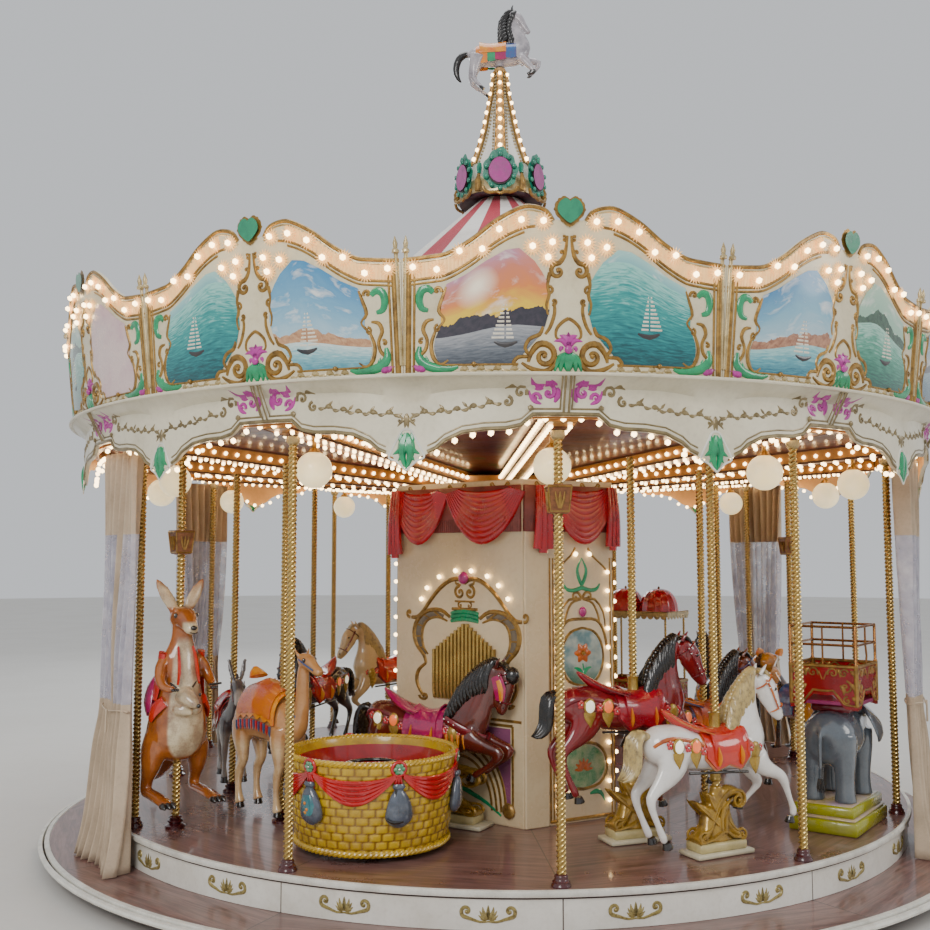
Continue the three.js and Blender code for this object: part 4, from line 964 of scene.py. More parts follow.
# Gilt that glows a little: painted light from the bulbs it carries.
band_gold_painted_glow = finish("band_gold_painted_glow", 0xC69A5C, 0x86602E, gloss=0.28, metal=0.2, coat=0.4, scale=14, amount=0.7, bump=0.15,
                   glow=0.12)
pale_gold = finish("pale_gold", 0xC9B483, 0x7A6230, gloss=0.24, metal=0.35, coat=0.4, scale=10, amount=0.8, bump=0.3)
shield_gem = finish("shield_gem", 0x1F8A62, 0x0F5A46, gloss=0.15, coat=0.8, scale=14, amount=0.6)
# The rays of the suns and the flutes of the band glow: painted light from the bulbs.
ray_gold_painted_glow = finish("ray_gold_painted_glow", 0xE8B878, 0xC08A48, gloss=0.3, metal=0.2, scale=20, amount=0.4, glow=0.9)

BOARD_EDGE = [(0, 4.41), (1.45, 4.415), (2, 4.47), (3, 4.50), (4.2, 4.50), (5.3, 4.465), (6.7, 4.41), (8.2, 4.33),
              (9.6, 4.27), (11, 4.225), (12.7, 4.21), (15, 4.2)]
REACH = 3.87


def board_top(x):
    return at_angle(BOARD_EDGE, math.degrees(x / REACH))


def board_face(z):
    return 3.8 + 0.106 * (z - 3.5)


def crown_sheet(form):
    """One board as a sheet with a wall behind it."""
    sheet = bmesh.new()
    bmesh.ops.create_grid(sheet, x_segments=76, y_segments=12, size=0.5)
    for vert in sheet.verts:
        x = vert.co.x * 2 * arc(14.97, REACH)
        z = 3.5003 + (board_top(x) - 3.5003) * (vert.co.y + 0.5)
        vert.co = (x, 0, z)
    for vert in sheet.verts:
        x, z = vert.co.x, vert.co.z
        angle = x / REACH
        vert.co = (board_face(z) * math.sin(angle), -board_face(z) * math.cos(angle), z)
    bmesh.ops.recalc_face_normals(sheet, faces=sheet.faces)
    if sheet.faces[:][0].normal.y > 0:
        bmesh.ops.reverse_faces(sheet, faces=sheet.faces)
    bmesh.ops.solidify(sheet, geom=sheet.faces[:], thickness=0.03)
    add(form, sheet)


def sun(form, x, z, reach=0.058):
    """A gilded sun with a bulb at its middle; its rays glow as painted bulb light."""
    rays = bmesh.ops.create_circle(form, cap_ends=True, cap_tris=True, segments=32, radius=1)["verts"]
    for vert in rays:
        far = vert.co.length
        angle = math.atan2(vert.co.y, vert.co.x)
        step = round(angle / math.tau * 32)
        r = 0 if far < 0.5 else reach * (1 if step % 2 else 0.5)
        vert.co = (x + r * math.cos(angle), -0.012 if r else -0.02, z + r * math.sin(angle))
    for face in faces_of(rays):
        face.material_index = 5
    bead(form, (x, -0.03, z), 0.021, 6)


def crown_half(form):
    """The right half of a board's mouldings, bulbs and colour."""
    xs = [0.1, 0.135, 0.19, 0.27, 0.36, 0.46, 0.56, 0.65, 0.74, 0.83, 0.92, 1.0]
    edge = [(x, board_top(x)) for x in xs]
    stroke(form, [(x, z - 0.008) for x, z in edge], [0.013] * 12, 1, 6, 3)
    stroke(form, [(x, z - 0.032) for x, z in edge], [0.006] * 12, 2, 5, 3)
    inner = [(x, z - 0.135) for x, z in edge[3:]]
    stroke(form, [(0.205, 4.375)] + inner, [0.009] * 10, 1, 6, 3)
    stroke(form, [(x, z - 0.022) for x, z in inner], [0.006] * 9, 2, 5, 3)
    stroke(form, [(x, z - 0.16) for x, z in edge[3:]], [0.008] * 9, 1, 6, 3)
    # flutes in the band, in the glowing gold: painted bulb light
    for low, high in zip(edge[3:], edge[4:]):
        for t in (0.0, 0.25, 0.5, 0.75):
            x, z = low[0] + (high[0] - low[0]) * t, low[1] + (high[1] - low[1]) * t
            stroke(form, [(x, z - 0.04), (x, z - 0.128)], [0.014, 0.011], 5, 5, 1, 0.3)
    for x, z in ((0.159, 4.4), (0.29, 4.405), (0.42, 4.35), (0.52, 4.235), (0.655, 4.225), (0.79, 4.12), (0.935, 4.14),
                 (0.105, 4.275), (0.222, 4.25), (0.13, 4.185)):
        sun(form, x, z, 0.062)
    # posts at the joint
    for x, g in ((0.965, 0.018), (0.93, 0.008)):
        stroke(form, [(x, 3.502), (x, 4.14)], [g] * 2, 1, 8, 1)
    stroke(form, [(0.984, 3.56), (0.984, 4.16), (0.984, 4.2), (0.984, 4.24)], [0.015, 0.015, 0.013, 0.013], 2, 8, 1)
    limb(form, [[0.984, -0.01, 4.235, 0.024, 0.024], [0.984, -0.01, 4.25, 0.024, 0.024],
                [0.984, -0.01, 4.262, 0.013, 0.013], [0.984, -0.01, 4.29, 0.017, 0.017],
                [0.984, -0.01, 4.335, 0.002, 0.002]], 8, 2)
    # centre cartouche
    scroll(form, (0.068, 4.11), 0.05, 100, -1.15, 0.016, 1, tail=[(0.012, 4.32), (0.018, 4.26), (0.03, 4.2)])
    scroll(form, (0.03, 4.3), 0.02, 60, 1, 0.009, 1)
    scroll(form, (0.045, 4.22), 0.02, 240, -0.9, 0.009, 1)
    stroke(form, [(0.115, 4.1), (0.13, 4.03), (0.12, 3.97), (0.135, 3.91), (0.125, 3.85)],
           [0.014, 0.011, 0.012, 0.011, 0.009], 1)
    scroll(form, (0.118, 3.995), 0.026, 80, 1.1, 0.01, 1)
    scroll(form, (0.09, 3.93), 0.022, -60, -1.0, 0.009, 1)
    stroke(form, [(0.088, 3.93), (0.085, 3.86), (0.11, 3.78), (0.14, 3.735)], [0.009, 0.011, 0.011, 0.008], 1)
    stroke(form, [(0.0, 3.83), (0.035, 3.81), (0.07, 3.77), (0.075, 3.72), (0.045, 3.7)],
           [0.011, 0.011, 0.01, 0.008, 0.006], 1)
    # big scroll bracket
    stroke(form, [(0.155, 3.78), (0.175, 3.735), (0.235, 3.705), (0.26, 3.65), (0.235, 3.605), (0.3, 3.6),
                  (0.33, 3.565), (0.31, 3.545)], [0.01, 0.014, 0.015, 0.013, 0.01, 0.013, 0.013, 0.008], 1)
    scroll(form, (0.145, 3.605), 0.078, 60, 1.25, 0.021, 1, tail=[(0.24, 3.57), (0.225, 3.62)])
    stroke(form, [(0.075, 3.6), (0.085, 3.55), (0.14, 3.515), (0.22, 3.53), (0.28, 3.565)],
           [0.013, 0.016, 0.016, 0.014, 0.008], 1)
    # pink rocaille, green fan
    for (ax, az), (bx, bz), w, bend in (((0.0, 3.655), (0.055, 3.73), 0.026, 0.25),
                                        ((0.0, 3.65), (0.088, 3.692), 0.02, 0.3), ((0.0, 3.645), (0.0, 3.75), 0.026, 0),
                                        ((0.03, 3.66), (0.045, 3.63), 0.014, 0.3)):
        leaf(form, (ax, az), (bx, bz), w, 3, bend, 0.7)
    bead(form, (0.0, -0.016, 3.642), 0.026, 3, 2, (1, 0.6, 1))
    for tip, w in ((0.0, 0.028), (0.045, 0.026), (0.082, 0.022)):
        leaf(form, (tip * 0.25, 3.625), (tip, 3.507), w, 4, 0.1, 0.9)
    # lower rail, gilded leaf strip, outer frame scrolls
    stroke(form, [(0.3, 3.557), (0.55, 3.557), (0.8, 3.557)], [0.008] * 3, 1, 6, 2)
    bead(form, (0.565, -0.01, 3.557), 0.018, 1, 1)
    knots(form, [(0.25, 3.522), (0.3, 3.53), (0.35, 3.52), (0.4, 3.532), (0.45, 3.522), (0.5, 3.532), (0.55, 3.522),
                 (0.6, 3.53), (0.65, 3.52)], 0.014, 2)
    stroke(form, [(0.735, 4.02), (0.76, 3.95), (0.78, 3.88), (0.745, 3.83), (0.77, 3.79), (0.8, 3.76)],
           [0.008, 0.013, 0.012, 0.01, 0.01, 0.006], 1)
    scroll(form, (0.79, 4.0), 0.027, 200, -1.0, 0.011, 1)
    scroll(form, (0.785, 3.775), 0.024, 90, -1.1, 0.009, 1)
    stroke(form, [(0.8, 3.76), (0.825, 3.68), (0.81, 3.6), (0.765, 3.56), (0.72, 3.585)],
           [0.009, 0.012, 0.013, 0.012, 0.008], 1)
    stroke(form, [(0.81, 3.83), (0.855, 3.82), (0.875, 3.77), (0.85, 3.71), (0.86, 3.65), (0.9, 3.615), (0.915, 3.63)],
           [0.007, 0.013, 0.013, 0.011, 0.012, 0.012, 0.007], 1)
    scroll(form, (0.885, 3.7), 0.02, 120, -0.9, 0.009, 1)
    # green hooks, acanthus at the foot, pink bud
    stroke(form, [(0.815, 3.99), (0.845, 4.015), (0.885, 4.005), (0.9, 3.955), (0.885, 3.9), (0.845, 3.885)],
           [0.016, 0.022, 0.026, 0.024, 0.02, 0.012], 4, 8, 3, 0.6)
    stroke(form, [(0.895, 3.67), (0.9, 3.61), (0.865, 3.565), (0.8, 3.54), (0.72, 3.53), (0.66, 3.545)],
           [0.012, 0.026, 0.03, 0.027, 0.02, 0.01], 4, 8, 3, 0.6)
    for x, z in ((0.885, 3.645), (0.84, 3.6), (0.78, 3.57), (0.71, 3.56)):
        leaf(form, (x, z - 0.035), (x + 0.018, z + 0.015), 0.011, 4)
    leaf(form, (0.86, 3.525), (0.925, 3.53), 0.024, 3, 0.2, 0.7)
    leaf(form, (0.9, 3.52), (0.945, 3.555), 0.016, 3, 0.2, 0.7)


trim = bmesh.new()
crown_half(trim)
mirror_across(trim)
# shield over the middle
for size, y, tone in ((1, -0.008, 1), (0.8, -0.026, 7)):
    made = bmesh.ops.create_circle(trim, cap_ends=True, segments=40, radius=1)["verts"]
    for vert in made:
        turn = math.atan2(vert.co.y, vert.co.x)
        lobe = (1 + 0.035 * math.cos(16 * turn)) if size == 1 else 1
        across, up = math.cos(turn), math.sin(turn)
        vert.co = (0.096 * size * lobe * across * (1 - 0.45 * max(0, -up) ** 1.6), y,
                   4.45 + 0.094 * size * lobe * (up - 0.26 * max(0, up) * max(0, 1 - abs(across) * 2.2) ** 2
                                                 + 0.1 * abs(across)))
    face = next(face for face in made[0].link_faces)
    face.material_index = tone
    grown = bmesh.ops.inset_region(trim, faces=[face], thickness=0.014, depth=0.014)["faces"]
    for item in grown:
        item.material_index = 0 if tone == 1 else tone
curl(trim, board_face)
panel = bmesh.new()
crown_sheet(panel)
pair = bmesh.new()
for one_board in (trim, panel):
    one_board.to_mesh(spare)
    one_board.free()
    for middle in (0, 30):
        before = set(pair.verts)
        pair.from_mesh(spare)
        new = [vert for vert in pair.verts if vert not in before]
        turn_by(pair, FIRST + math.radians(middle), new)
for k in range(6):
    board = pair.copy()
    turn_by(board, math.radians(60 * k))
    settle(f"crown_panels_{k + 1}", board, [crown_cream, old_gold, pale_gold, band_pink, leaf_green, ray_gold_painted_glow,
                                            bulb_glow, shield_gem], "rotor", 45,
           replaces=[f"crown_board_{k + 1}"])
pair.free()


def seaside(name, horizon, sky, sea, land=None, sun_at=None, scale=1.0, seed=0.0):
    """A painted view of open water and sky: the colours of both from low to high, low hills if there are any."""
    surface = finish(name, 0x808080, 0x808080, gloss=0.22, coat=0.55, scale=5, amount=0.0, bump=0.05)

    def paint_it(tree):
        at = node(tree, "SeparateXYZ", {"Vector": node(tree, "UVMap", uv_map="picture").outputs[0]}).outputs
        u, v = at[0], at[1]

        def noise(su, sv, detail=4.0, shift=0.0):
            spot = node(tree, "CombineXYZ", {0: sums(tree, "MULTIPLY", u, su), 1: sums(tree, "MULTIPLY", v, sv),
                                             2: seed + shift})
            return node(tree, "TexNoise", {"Vector": spot.outputs[0], "Scale": 1.0, "Detail": detail, "Roughness": 0.6,
                                           "Distortion": 0.5}).outputs["Fac"]

        cloud = noise(3.0 * scale, 6.0 * scale)
        high = node(tree, "MapRange", {"Value": v, "From Min": horizon, "From Max": 1.0}).outputs[0]
        lifted = sums(tree, "ADD", high, sums(tree, "MULTIPLY", sums(tree, "SUBTRACT", cloud, 0.5), 0.55), clamp=True)
        air = ramp(tree, lifted, [(i / (len(sky) - 1), rgb(c)) for i, c in enumerate(sky)])
        puffs = node(tree, "MapRange", {"Value": cloud, "From Min": 0.54, "From Max": 0.72}).outputs[0]
        air = blend_colour(tree, sums(tree, "MULTIPLY", puffs, 0.75), air, rgb(0xF1EDE4))
        if sun_at:
            du = sums(tree, "SUBTRACT", u, sun_at[0])
            dv = sums(tree, "SUBTRACT", v, sun_at[1])
            far = sums(tree, "SQRT", sums(tree, "ADD", sums(tree, "MULTIPLY", du, du), sums(tree, "MULTIPLY", dv, dv)))
            halo = node(tree, "MapRange", {"Value": far, "From Min": 0.22, "From Max": 0.03}).outputs[0]
            air = blend_colour(tree, halo, air, rgb(0xFFF0D8))
        waves = noise(7.0 * scale, 52.0 * scale, 3.0, 4.0)
        low = node(tree, "MapRange", {"Value": v, "From Min": 0.0, "From Max": horizon}).outputs[0]
        depth = sums(tree, "ADD", low, sums(tree, "MULTIPLY", sums(tree, "SUBTRACT", waves, 0.5), 1.3), clamp=True)
        water = ramp(tree, depth, [(i / (len(sea) - 1), rgb(c)) for i, c in enumerate(sea)])
        picture = blend_colour(tree, sums(tree, "LESS_THAN", v, horizon), air, water)
        if land:
            ridge = sums(tree, "ADD", horizon - 0.03, sums(tree, "MULTIPLY", noise(3.4, 0.0, 5.0, 9.0), land[1]))
            hill = sums(tree, "MULTIPLY", sums(tree, "LESS_THAN", v, ridge), sums(tree, "GREATER_THAN", v, horizon))
            tint = ramp(tree, noise(16.0, 16.0, 3.0, 2.0), [(0.35, rgb(land[0])), (0.65, rgb(land[2]))])
            picture = blend_colour(tree, hill, picture, tint)
        return picture

    return recolour(surface, paint_it)


views = [seaside("view_sunset", 0.34, [0xE0A020, 0xE5C030, 0xD98040, 0xC9785E, 0xB8849A],
                 [0x3F4650, 0x6A7078, 0x9A9CA0], (0x2A2A34, 0.34, 0x3C3640), (0.66, 0.8)),
         seaside("view_teal", 0.9, [0x7FB4B8, 0x9CC8C4], [0x0E4A50, 0x1B7478, 0x2F9490, 0x8FC9C0], None, None, 1.0,
                 2.0), seaside("view_blue_day", 0.26, [0xA9C6D2, 0x6FA5C4, 0x3F84B4], [0x4E8FA0, 0x7FB4BC, 0xC9DAD6],
                               (0xA87858, 0.26, 0xC9A078), None, 1.2, 5.0),
         seaside("view_green_water", 0.62, [0x8FB9A0, 0xA8C9B4], [0x1A5248, 0x2A7A62, 0x4E9C82, 0xA2CDBB],
                 (0x2E4A3A, 0.3, 0x476650), None, 1.0, 7.0),
         seaside("view_harbour", 0.3, [0xB7CBD0, 0x74A9C2, 0x3B7EAE], [0x2C6E82, 0x5AA0AC, 0x9CC9C8],
                 (0x8A5A44, 0.3, 0xB98868), None, 0.9, 11.0),
         seaside("view_evening", 0.42, [0xC9B0A0, 0x8FA9B8, 0x5A84A4], [0x2E4E60, 0x4A7284, 0x8AA4A8],
                 (0x40404A, 0.26, 0x5C5A5C), (0.3, 0.66), 1.1, 13.0),]
sail_white = finish("sail_white", 0xE8E0CE, 0xB8A88C, gloss=0.3, coat=0.4, scale=20, amount=0.6)
blush_panel = finish("blush_panel", 0xD9C2BC, 0xC49AA6, gloss=0.25, coat=0.4, scale=3, amount=0.8)
hull_dark = finish("hull_dark", 0x2A2A30, 0x4A4038, gloss=0.3, coat=0.4, scale=16, amount=0.6)


def sailing_boat(field, hull_x, hull_z):
    stroke(field, [(hull_x - 0.1, hull_z + 0.02), (hull_x, hull_z - 0.01), (hull_x + 0.1, hull_z + 0.025)],
           [0.006, 0.022, 0.004], 7, 6, 3, 0.4)
    stroke(field, [(hull_x, hull_z), (hull_x, hull_z + 0.26)], [0.004] * 2, 7, 5, 1, 1)
    for i in range(9):
        z = hull_z + 0.035 + 0.024 * i
        wide = 0.075 * (1 - i / 9)
        stroke(field, [(hull_x + 0.006, z), (hull_x + 0.006 + wide, z)], [0.014] * 2, 6, 4, 1, 0.5)
        stroke(field, [(hull_x - 0.006, z), (hull_x - 0.006 - wide * 0.6, z)], [0.014] * 2, 6, 4, 1, 0.5)


def picture_sheet(form, side, tone):
    """A picture field with one boat on it, inside its scrolled frame."""
    field = bmesh.new()
    grid = bmesh.ops.create_grid(field, x_segments=16, y_segments=12, size=0.5, calc_uvs=False)["verts"]
    uv = field.loops.layers.uv.new("picture")
    for face in field.faces:
        face.material_index = tone
        for loop in face.loops:
            loop[uv].uv = (loop.vert.co.x + 0.5, loop.vert.co.y + 0.5)

    def through(table, t):
        for (a, low), (b, high) in zip(table, table[1:]):
            if t <= b + 1e-6:
                return low + (high - low) * (t - a) / (b - a)
        return table[-1][1]

    for vert in grid:
        s, t = vert.co.x + 0.5, vert.co.y + 0.5
        near = through([(0, 0.33), (0.12, 0.25), (0.3, 0.15), (0.5, 0.115), (0.75, 0.13), (0.9, 0.19), (1, 0.3)], t)
        far = through([(0, 0.775), (0.2, 0.81), (0.35, 0.8), (0.5, 0.765), (0.7, 0.77), (1, 0.735)], t)
        x = near + (far - near) * s
        top = through([(0.1, 4.2), (0.3, 4.245), (0.38, 4.235), (0.5, 4.17), (0.62, 4.09), (0.75, 4.03), (0.83, 4.02)],
                      x)
        vert.co = (x, -0.004, 3.557 + (top - 3.557) * t)
    hull_x, hull_z = (0.5, 3.74) if tone % 2 else (0.38, 3.68)
    if tone != 8:
        sailing_boat(field, hull_x, hull_z)
    if side < 0:
        bmesh.ops.scale(field, vec=(-1, 1, 1), verts=field.verts)
    add(form, field)


pictures = bmesh.new()
pictures.loops.layers.uv.new("picture")
order = {0: (1, 0), 1: (3, 4), 2: (2, 5), 3: (4, 1), 4: (0, 3), 5: (5, 2), 6: (1, 4), 7: (0, 2), 8: (3, 5), 9: (4, 0),
         10: (8, 3), 11: (2, 1)}
for k in range(12):
    for side, tone in ((1, order[k][0]), (-1, order[k][1])):
        before = set(pictures.verts)
        picture_sheet(pictures, side, tone)
        new = [vert for vert in pictures.verts if vert not in before]
        curl(pictures, board_face, new)
        turn_by(pictures, FIRST + math.radians(30 * k), new)
settle("crown_pictures", pictures, views + [sail_white, hull_dark, blush_panel], "rotor", 40)


# ---- Roof ----
# A canvas cone in twenty-four red and white gores, laced tight between the crown and the foot of the spire.
def canvas(name, code, dusty):
    surface = finish(name, code, dusty, gloss=0.72, scale=1.8, amount=0.45, bump=0.0)
    tree = surface.node_tree
    at = node(tree, "SeparateXYZ", {"Vector": node(tree, "TexCoord").outputs["Object"]}).outputs
    angle = sums(tree, "ARCTAN2", at[0], at[1])
    weave = sums(tree, "MULTIPLY", sums(tree, "SINE", sums(tree, "MULTIPLY", angle, 1400.0)),
                 sums(tree, "SINE", sums(tree, "MULTIPLY", at[2], 1900.0)))
    share = sums(tree, "ABSOLUTE",
                 sums(tree, "SUBTRACT",
                      sums(tree, "FRACT", sums(tree, "DIVIDE", sums(tree, "ADD", angle, math.tau), TURN / 2)), 0.5))
    seam = sums(tree, "GREATER_THAN", share, 0.488)
    height = sums(tree, "ADD", sums(tree, "MULTIPLY", weave, 0.25), sums(tree, "MULTIPLY", seam, 2.0))
    tree.nodes["relief"].inputs["Strength"].default_value = 0.35
    tree.links.new(height, tree.nodes["relief"].inputs["Height"])
    tree.nodes["Principled BSDF"].inputs["Sheen Weight"].default_value = 0.25
    return surface


roof_red = canvas("roof_red", 0xB81A36, 0x8A2A3A)
roof_white = canvas("roof_white", 0xEEEAE4, 0xC4BCB0)
ROOF = [(3.7, 3.5003), (3.36, 3.585), (3.02, 3.68), (2.66, 3.795), (2.3, 3.93), (1.9, 4.29), (1.5, 4.655), (1.1, 5.018),
        (0.7, 5.38), (0.4, 5.653), (0.22, 5.817)]
roof = bmesh.new()
slope = [roof.verts.new((0, -r, z - 0.002)) for r, z in ROOF]
strands = [roof.edges.new(pair_of) for pair_of in zip(slope, slope[1:])]
bmesh.ops.spin(roof, geom=slope + strands, cent=(0, 0, 0), axis=(0, 0, 1), angle=math.tau, steps=144, use_merge=True)
for vert in roof.verts:
    x, y, z = vert.co
    r = math.hypot(x, y)
    within = abs(math.sin(12 * math.atan2(x, -y)))
    vert.co.z = z - 0.03 * within * math.sin(math.pi * min(1, max(0, (3.7 - r) / 3.4))) ** 0.7
for face in roof.faces:
    middle = face.calc_center_median()
    face.material_index = int(math.degrees(math.atan2(middle.x, -middle.y)) // 15) % 2
bmesh.ops.recalc_face_normals(roof, faces=roof.faces)
if sum(face.normal.z for face in roof.faces) < 0:
    bmesh.ops.reverse_faces(roof, faces=roof.faces)
bmesh.ops.solidify(roof, geom=roof.faces[:], thickness=0.004)
roof_piece = settle("roof_canvas", roof, [roof_white, roof_red], "rotor", 50, replaces=["roof_canopy"])

# ---- Spire ----
# A fluted white spire in moulded sections stands on the king post. Gilt strips of bulbs climb its six ribs over
# green and pink medallions, and a gilded skirt hides the top of the canvas.
spire_white = finish("spire_white", 0xEDEAE0, 0xB9AF9A, gloss=0.28, coat=0.35, scale=3, amount=0.5, bump=0.08)
medal_green = finish("medal_green", 0x1F8C6C, 0x0E4C4A, gloss=0.22, coat=0.5, scale=16, amount=0.8, bump=0.25)
medal_pink = finish("medal_pink", 0xA82E88, 0x6A1A5A, gloss=0.16, coat=0.7, scale=12, amount=0.6)
# Dark for the undersides round the spire's foot: painted shade.
underside_painted_shade = finish("underside_painted_shade", 0x3A1A26, 0x241018, gloss=0.5, scale=5, amount=0.6)
SPIRE = [(0.33, 5.96), (0.3, 6.05), (0.262, 6.19), (0.205, 6.345), (0.152, 6.54), (0.112, 6.745), (0.078, 6.9),
         (0.058, 7.08), (0.052, 7.12)]


def spire_radius(z):
    for (a, low), (b, high) in zip(SPIRE, SPIRE[1:]):
        if z <= high:
            return a + (b - a) * max(0, z - low) / (high - low)
    return SPIRE[-1][0]


spire = bmesh.new()
rings = curve_through([[r, z] for r, z in SPIRE], 5)
line = [spire.verts.new((0, -r, z)) for r, z in rings]
strands = [spire.edges.new(pair_of) for pair_of in zip(line, line[1:])]
bmesh.ops.spin(spire, geom=line + strands, cent=(0, 0, 0), axis=(0, 0, 1), angle=math.tau, steps=96, use_merge=True)
for vert in spire.verts:
    bulge = 1 + 0.1 * abs(math.cos(3 * math.atan2(vert.co.x, -vert.co.y))) * (1 if vert.co.z < 7 else 0.4)
    vert.co.x, vert.co.y = vert.co.x * bulge * 0.95, vert.co.y * bulge * 0.95
spun_ring(spire, [(0.0005, 7.1), (0.066, 7.1), (0.072, 7.115), (0.066, 7.13), (0.056, 7.136), (0.056, 7.15),
                  (0.0005, 7.15)], 32, 1)
spun_ring(spire, [(0.24, 5.8173), (0.2, 5.83), (0.2, 5.98), (0.33, 5.99), (0.352, 5.975), (0.372, 5.93), (0.392, 5.86),
                  (0.4, 5.81), (0.392, 5.79), (0.376, 5.787)], 96, 2)
spun_ring(spire, [(0.0005, 5.8173), (0.2, 5.8173), (0.2, 5.84), (0.0005, 5.84)], 48, 3)
# faces pointing down at the foot, and those inside the skirt, take the dark finish: painted shade under the skirt
for face in spire.faces:
    middle = face.calc_center_median()
    if middle.z < 5.815 and face.normal.z < 0 or middle.z < 5.95 and math.hypot(middle.x, middle.y) < 0.3:
        face.material_index = 3
# one sixth: bulb strip, medallion and half swags
rib = bmesh.new()
levels = [6.15 + 0.96 * i / 12 for i in range(13)]
wide = [0.052 - 0.03 * i / 12 for i in range(13)]
# the gilt strip glows a little, painted bulb light
limb(rib, [[0, -spire_radius(z) * 1.03 - 0.006, z, w, 0.012] for z, w in zip(levels, wide)], 10, 1, (1, 0, 0))
for side in (-1, 1):
    limb(rib, [[side * w, -spire_radius(z) * 1.03 - 0.01, z, 0.008, 0.012] for z, w in zip(levels, wide)], 6, 4,
         (1, 0, 0))
    for i in range(26):
        z = 6.16 + 0.036 * i
        w = 0.052 - 0.03 * (z - 6.15) / 0.96
        bead(rib, (side * (w + 0.022), -spire_radius(z) * 0.99, z), 0.0115, 2)
for i in range(10):
    z = 6.2 + 0.098 * i
    bead(rib, (0, -spire_radius(z) * 1.03 - 0.024, z), 0.024 - 0.0006 * i, 5)
for size, out, tone, depth in ((1.0, -0.395, 6, 0.02), (0.7, -0.417, 3, 0.008), (0.64, -0.426, 7, 0.012)):
    plate = bmesh.ops.create_circle(rib, cap_ends=True, segments=64, radius=1)["verts"]
    for vert in plate:
        turn = math.atan2(vert.co.y, vert.co.x)
        up = max(0, math.sin(turn))
        wave = (1 + 0.05 * math.cos(9 * turn) + 0.16 * up ** 14) if tone == 6 else 1
        vert.co = (0.165 * size * wave * math.cos(turn) * (1 - 0.12 * up), out,
                   5.985 + 0.19 * size * wave * math.sin(turn))
    face = next(face for face in plate[0].link_faces)
    face.material_index = tone
    for item in bmesh.ops.inset_region(rib, faces=[face], thickness=0.012, depth=depth)["faces"]:
        item.material_index = tone
for t in range(10):
    turn = math.radians(36 * t + 18)
    x, z = 0.135 * math.cos(turn), 5.985 + 0.16 * math.sin(turn)
    bead(rib, (x, -0.418, z), 0.022, 6, 2, (1.1, 0.6, 1.1))
bead(rib, (0, -0.42, 6.16), 0.028, 6, 2, (0.8, 0.6, 1.3))
for side in (-1, 1):
    points = [(side * 0.16, 5.84), (side * 0.14, 5.8), (side * 0.09, 5.785), (side * 0.04, 5.79), (0, 5.775)]
    limb(rib, [[x, -0.41, z, 0.014, 0.016] for x, z in points], 8, 4, between=2)
    limb(rib, [[side * 0.2, -0.345, 5.99, 0.02, 0.02], [side * 0.2, -0.34, 6.05, 0.03, 0.018],
               [side * 0.2, -0.335, 6.09, 0.018, 0.012]], 8, 6)
    limb(rib, [[side * 0.2, -0.36, 5.82, 0.03, 0.02], [side * 0.21, -0.37, 5.9, 0.024, 0.03],
               [side * 0.2, -0.35, 5.98, 0.014, 0.014]], 8, 4)
for k in range(6):
    copy = rib.copy()
    turn_by(copy, math.radians(0.1 + 60 * k))
    add(spire, copy)
rib.free()
settle("spire_tower", spire, [spire_white, band_gold_painted_glow, pale_gold, underside_painted_shade, old_gold, bulb_glow, medal_green,
                              medal_pink], "rotor", 40, replaces=["spire"])


# ---- Poles ----
# Twisted brass sleeves over steel poles hang from the sweeps. The outer ones stand in dark maroon collars, those
# of the figures in turned maroon bosses, and three carry a tapered lantern box in embossed copper.
brass = finish("twisted_brass", 0xDDBB62, 0xA8843A, gloss=0.17, metal=0.7, coat=0.4, scale=22, amount=0.5, bump=0.1)


# The sunk strands of the twist are coloured darker: painted shade in the grooves.
def brass_groove_shade(tree):
    groove = node(tree, "Attribute", attribute_name="groove").outputs["Fac"]
    return blend_colour(tree, groove, rgb(0xE6C878), rgb(0x8A6626))


recolour(brass, brass_groove_shade)
boss_maroon = finish("boss_maroon", 0x4A1418, 0x2A0C10, gloss=0.18, coat=0.7, scale=8, amount=0.5)
copper_box = finish("copper_box", 0x8E5A34, 0x4A2A18, gloss=0.32, metal=0.45, coat=0.3, scale=30, amount=0.8, bump=0.5)


def twisted_pole(form, place, low, high, radius=0.029, tone=0):
    """Four strands twisted up a pole, one turn to every eighth of a metre."""
    pole = bmesh.new()
    groove = pole.verts.layers.float.new("groove")
    bmesh.ops.create_circle(pole, cap_ends=False, segments=8, radius=1)
    grown = {"geom": pole.edges[:]}
    steps = int((high - low) / 0.0125)
    for level in range(steps):
        grown = bmesh.ops.extrude_edge_only(pole, edges=[item for item in grown["geom"]
                                                         if isinstance(item, bmesh.types.BMEdge)])
        for item in grown["geom"]:
            if isinstance(item, bmesh.types.BMVert):
                item.co.z = level + 1
    for vert in pole.verts:
        slot, level = round(math.atan2(vert.co.y, vert.co.x) / math.tau * 8) % 8, round(vert.co.z)
        reach = radius * (1.1 if slot % 2 else 0.86)
        # sunk strands are marked to carry the painted shade of the grooves
        vert[groove] = 0.0 if slot % 2 else 1.0
        angle = slot * math.tau / 8 + level * 0.62832
        vert.co = (place[0] + reach * math.cos(angle), place[1] + reach * math.sin(angle),
                   low + (high - low) * level / steps)
    for face in pole.faces:
        face.material_index = tone
    add(form, pole)


def turned_piece(form, place, profile, sides=20, tone=0):
    """A small turned piece on an upright axis, from its foot up: (radius, height) pairs."""
    stations = [[place[0], place[1], z, r, r] for r, z in profile]
    return limb(form, stations, sides, tone)


def polar(degrees, radius):
    return radius * math.sin(math.radians(degrees)), -radius * math.cos(math.radians(degrees))


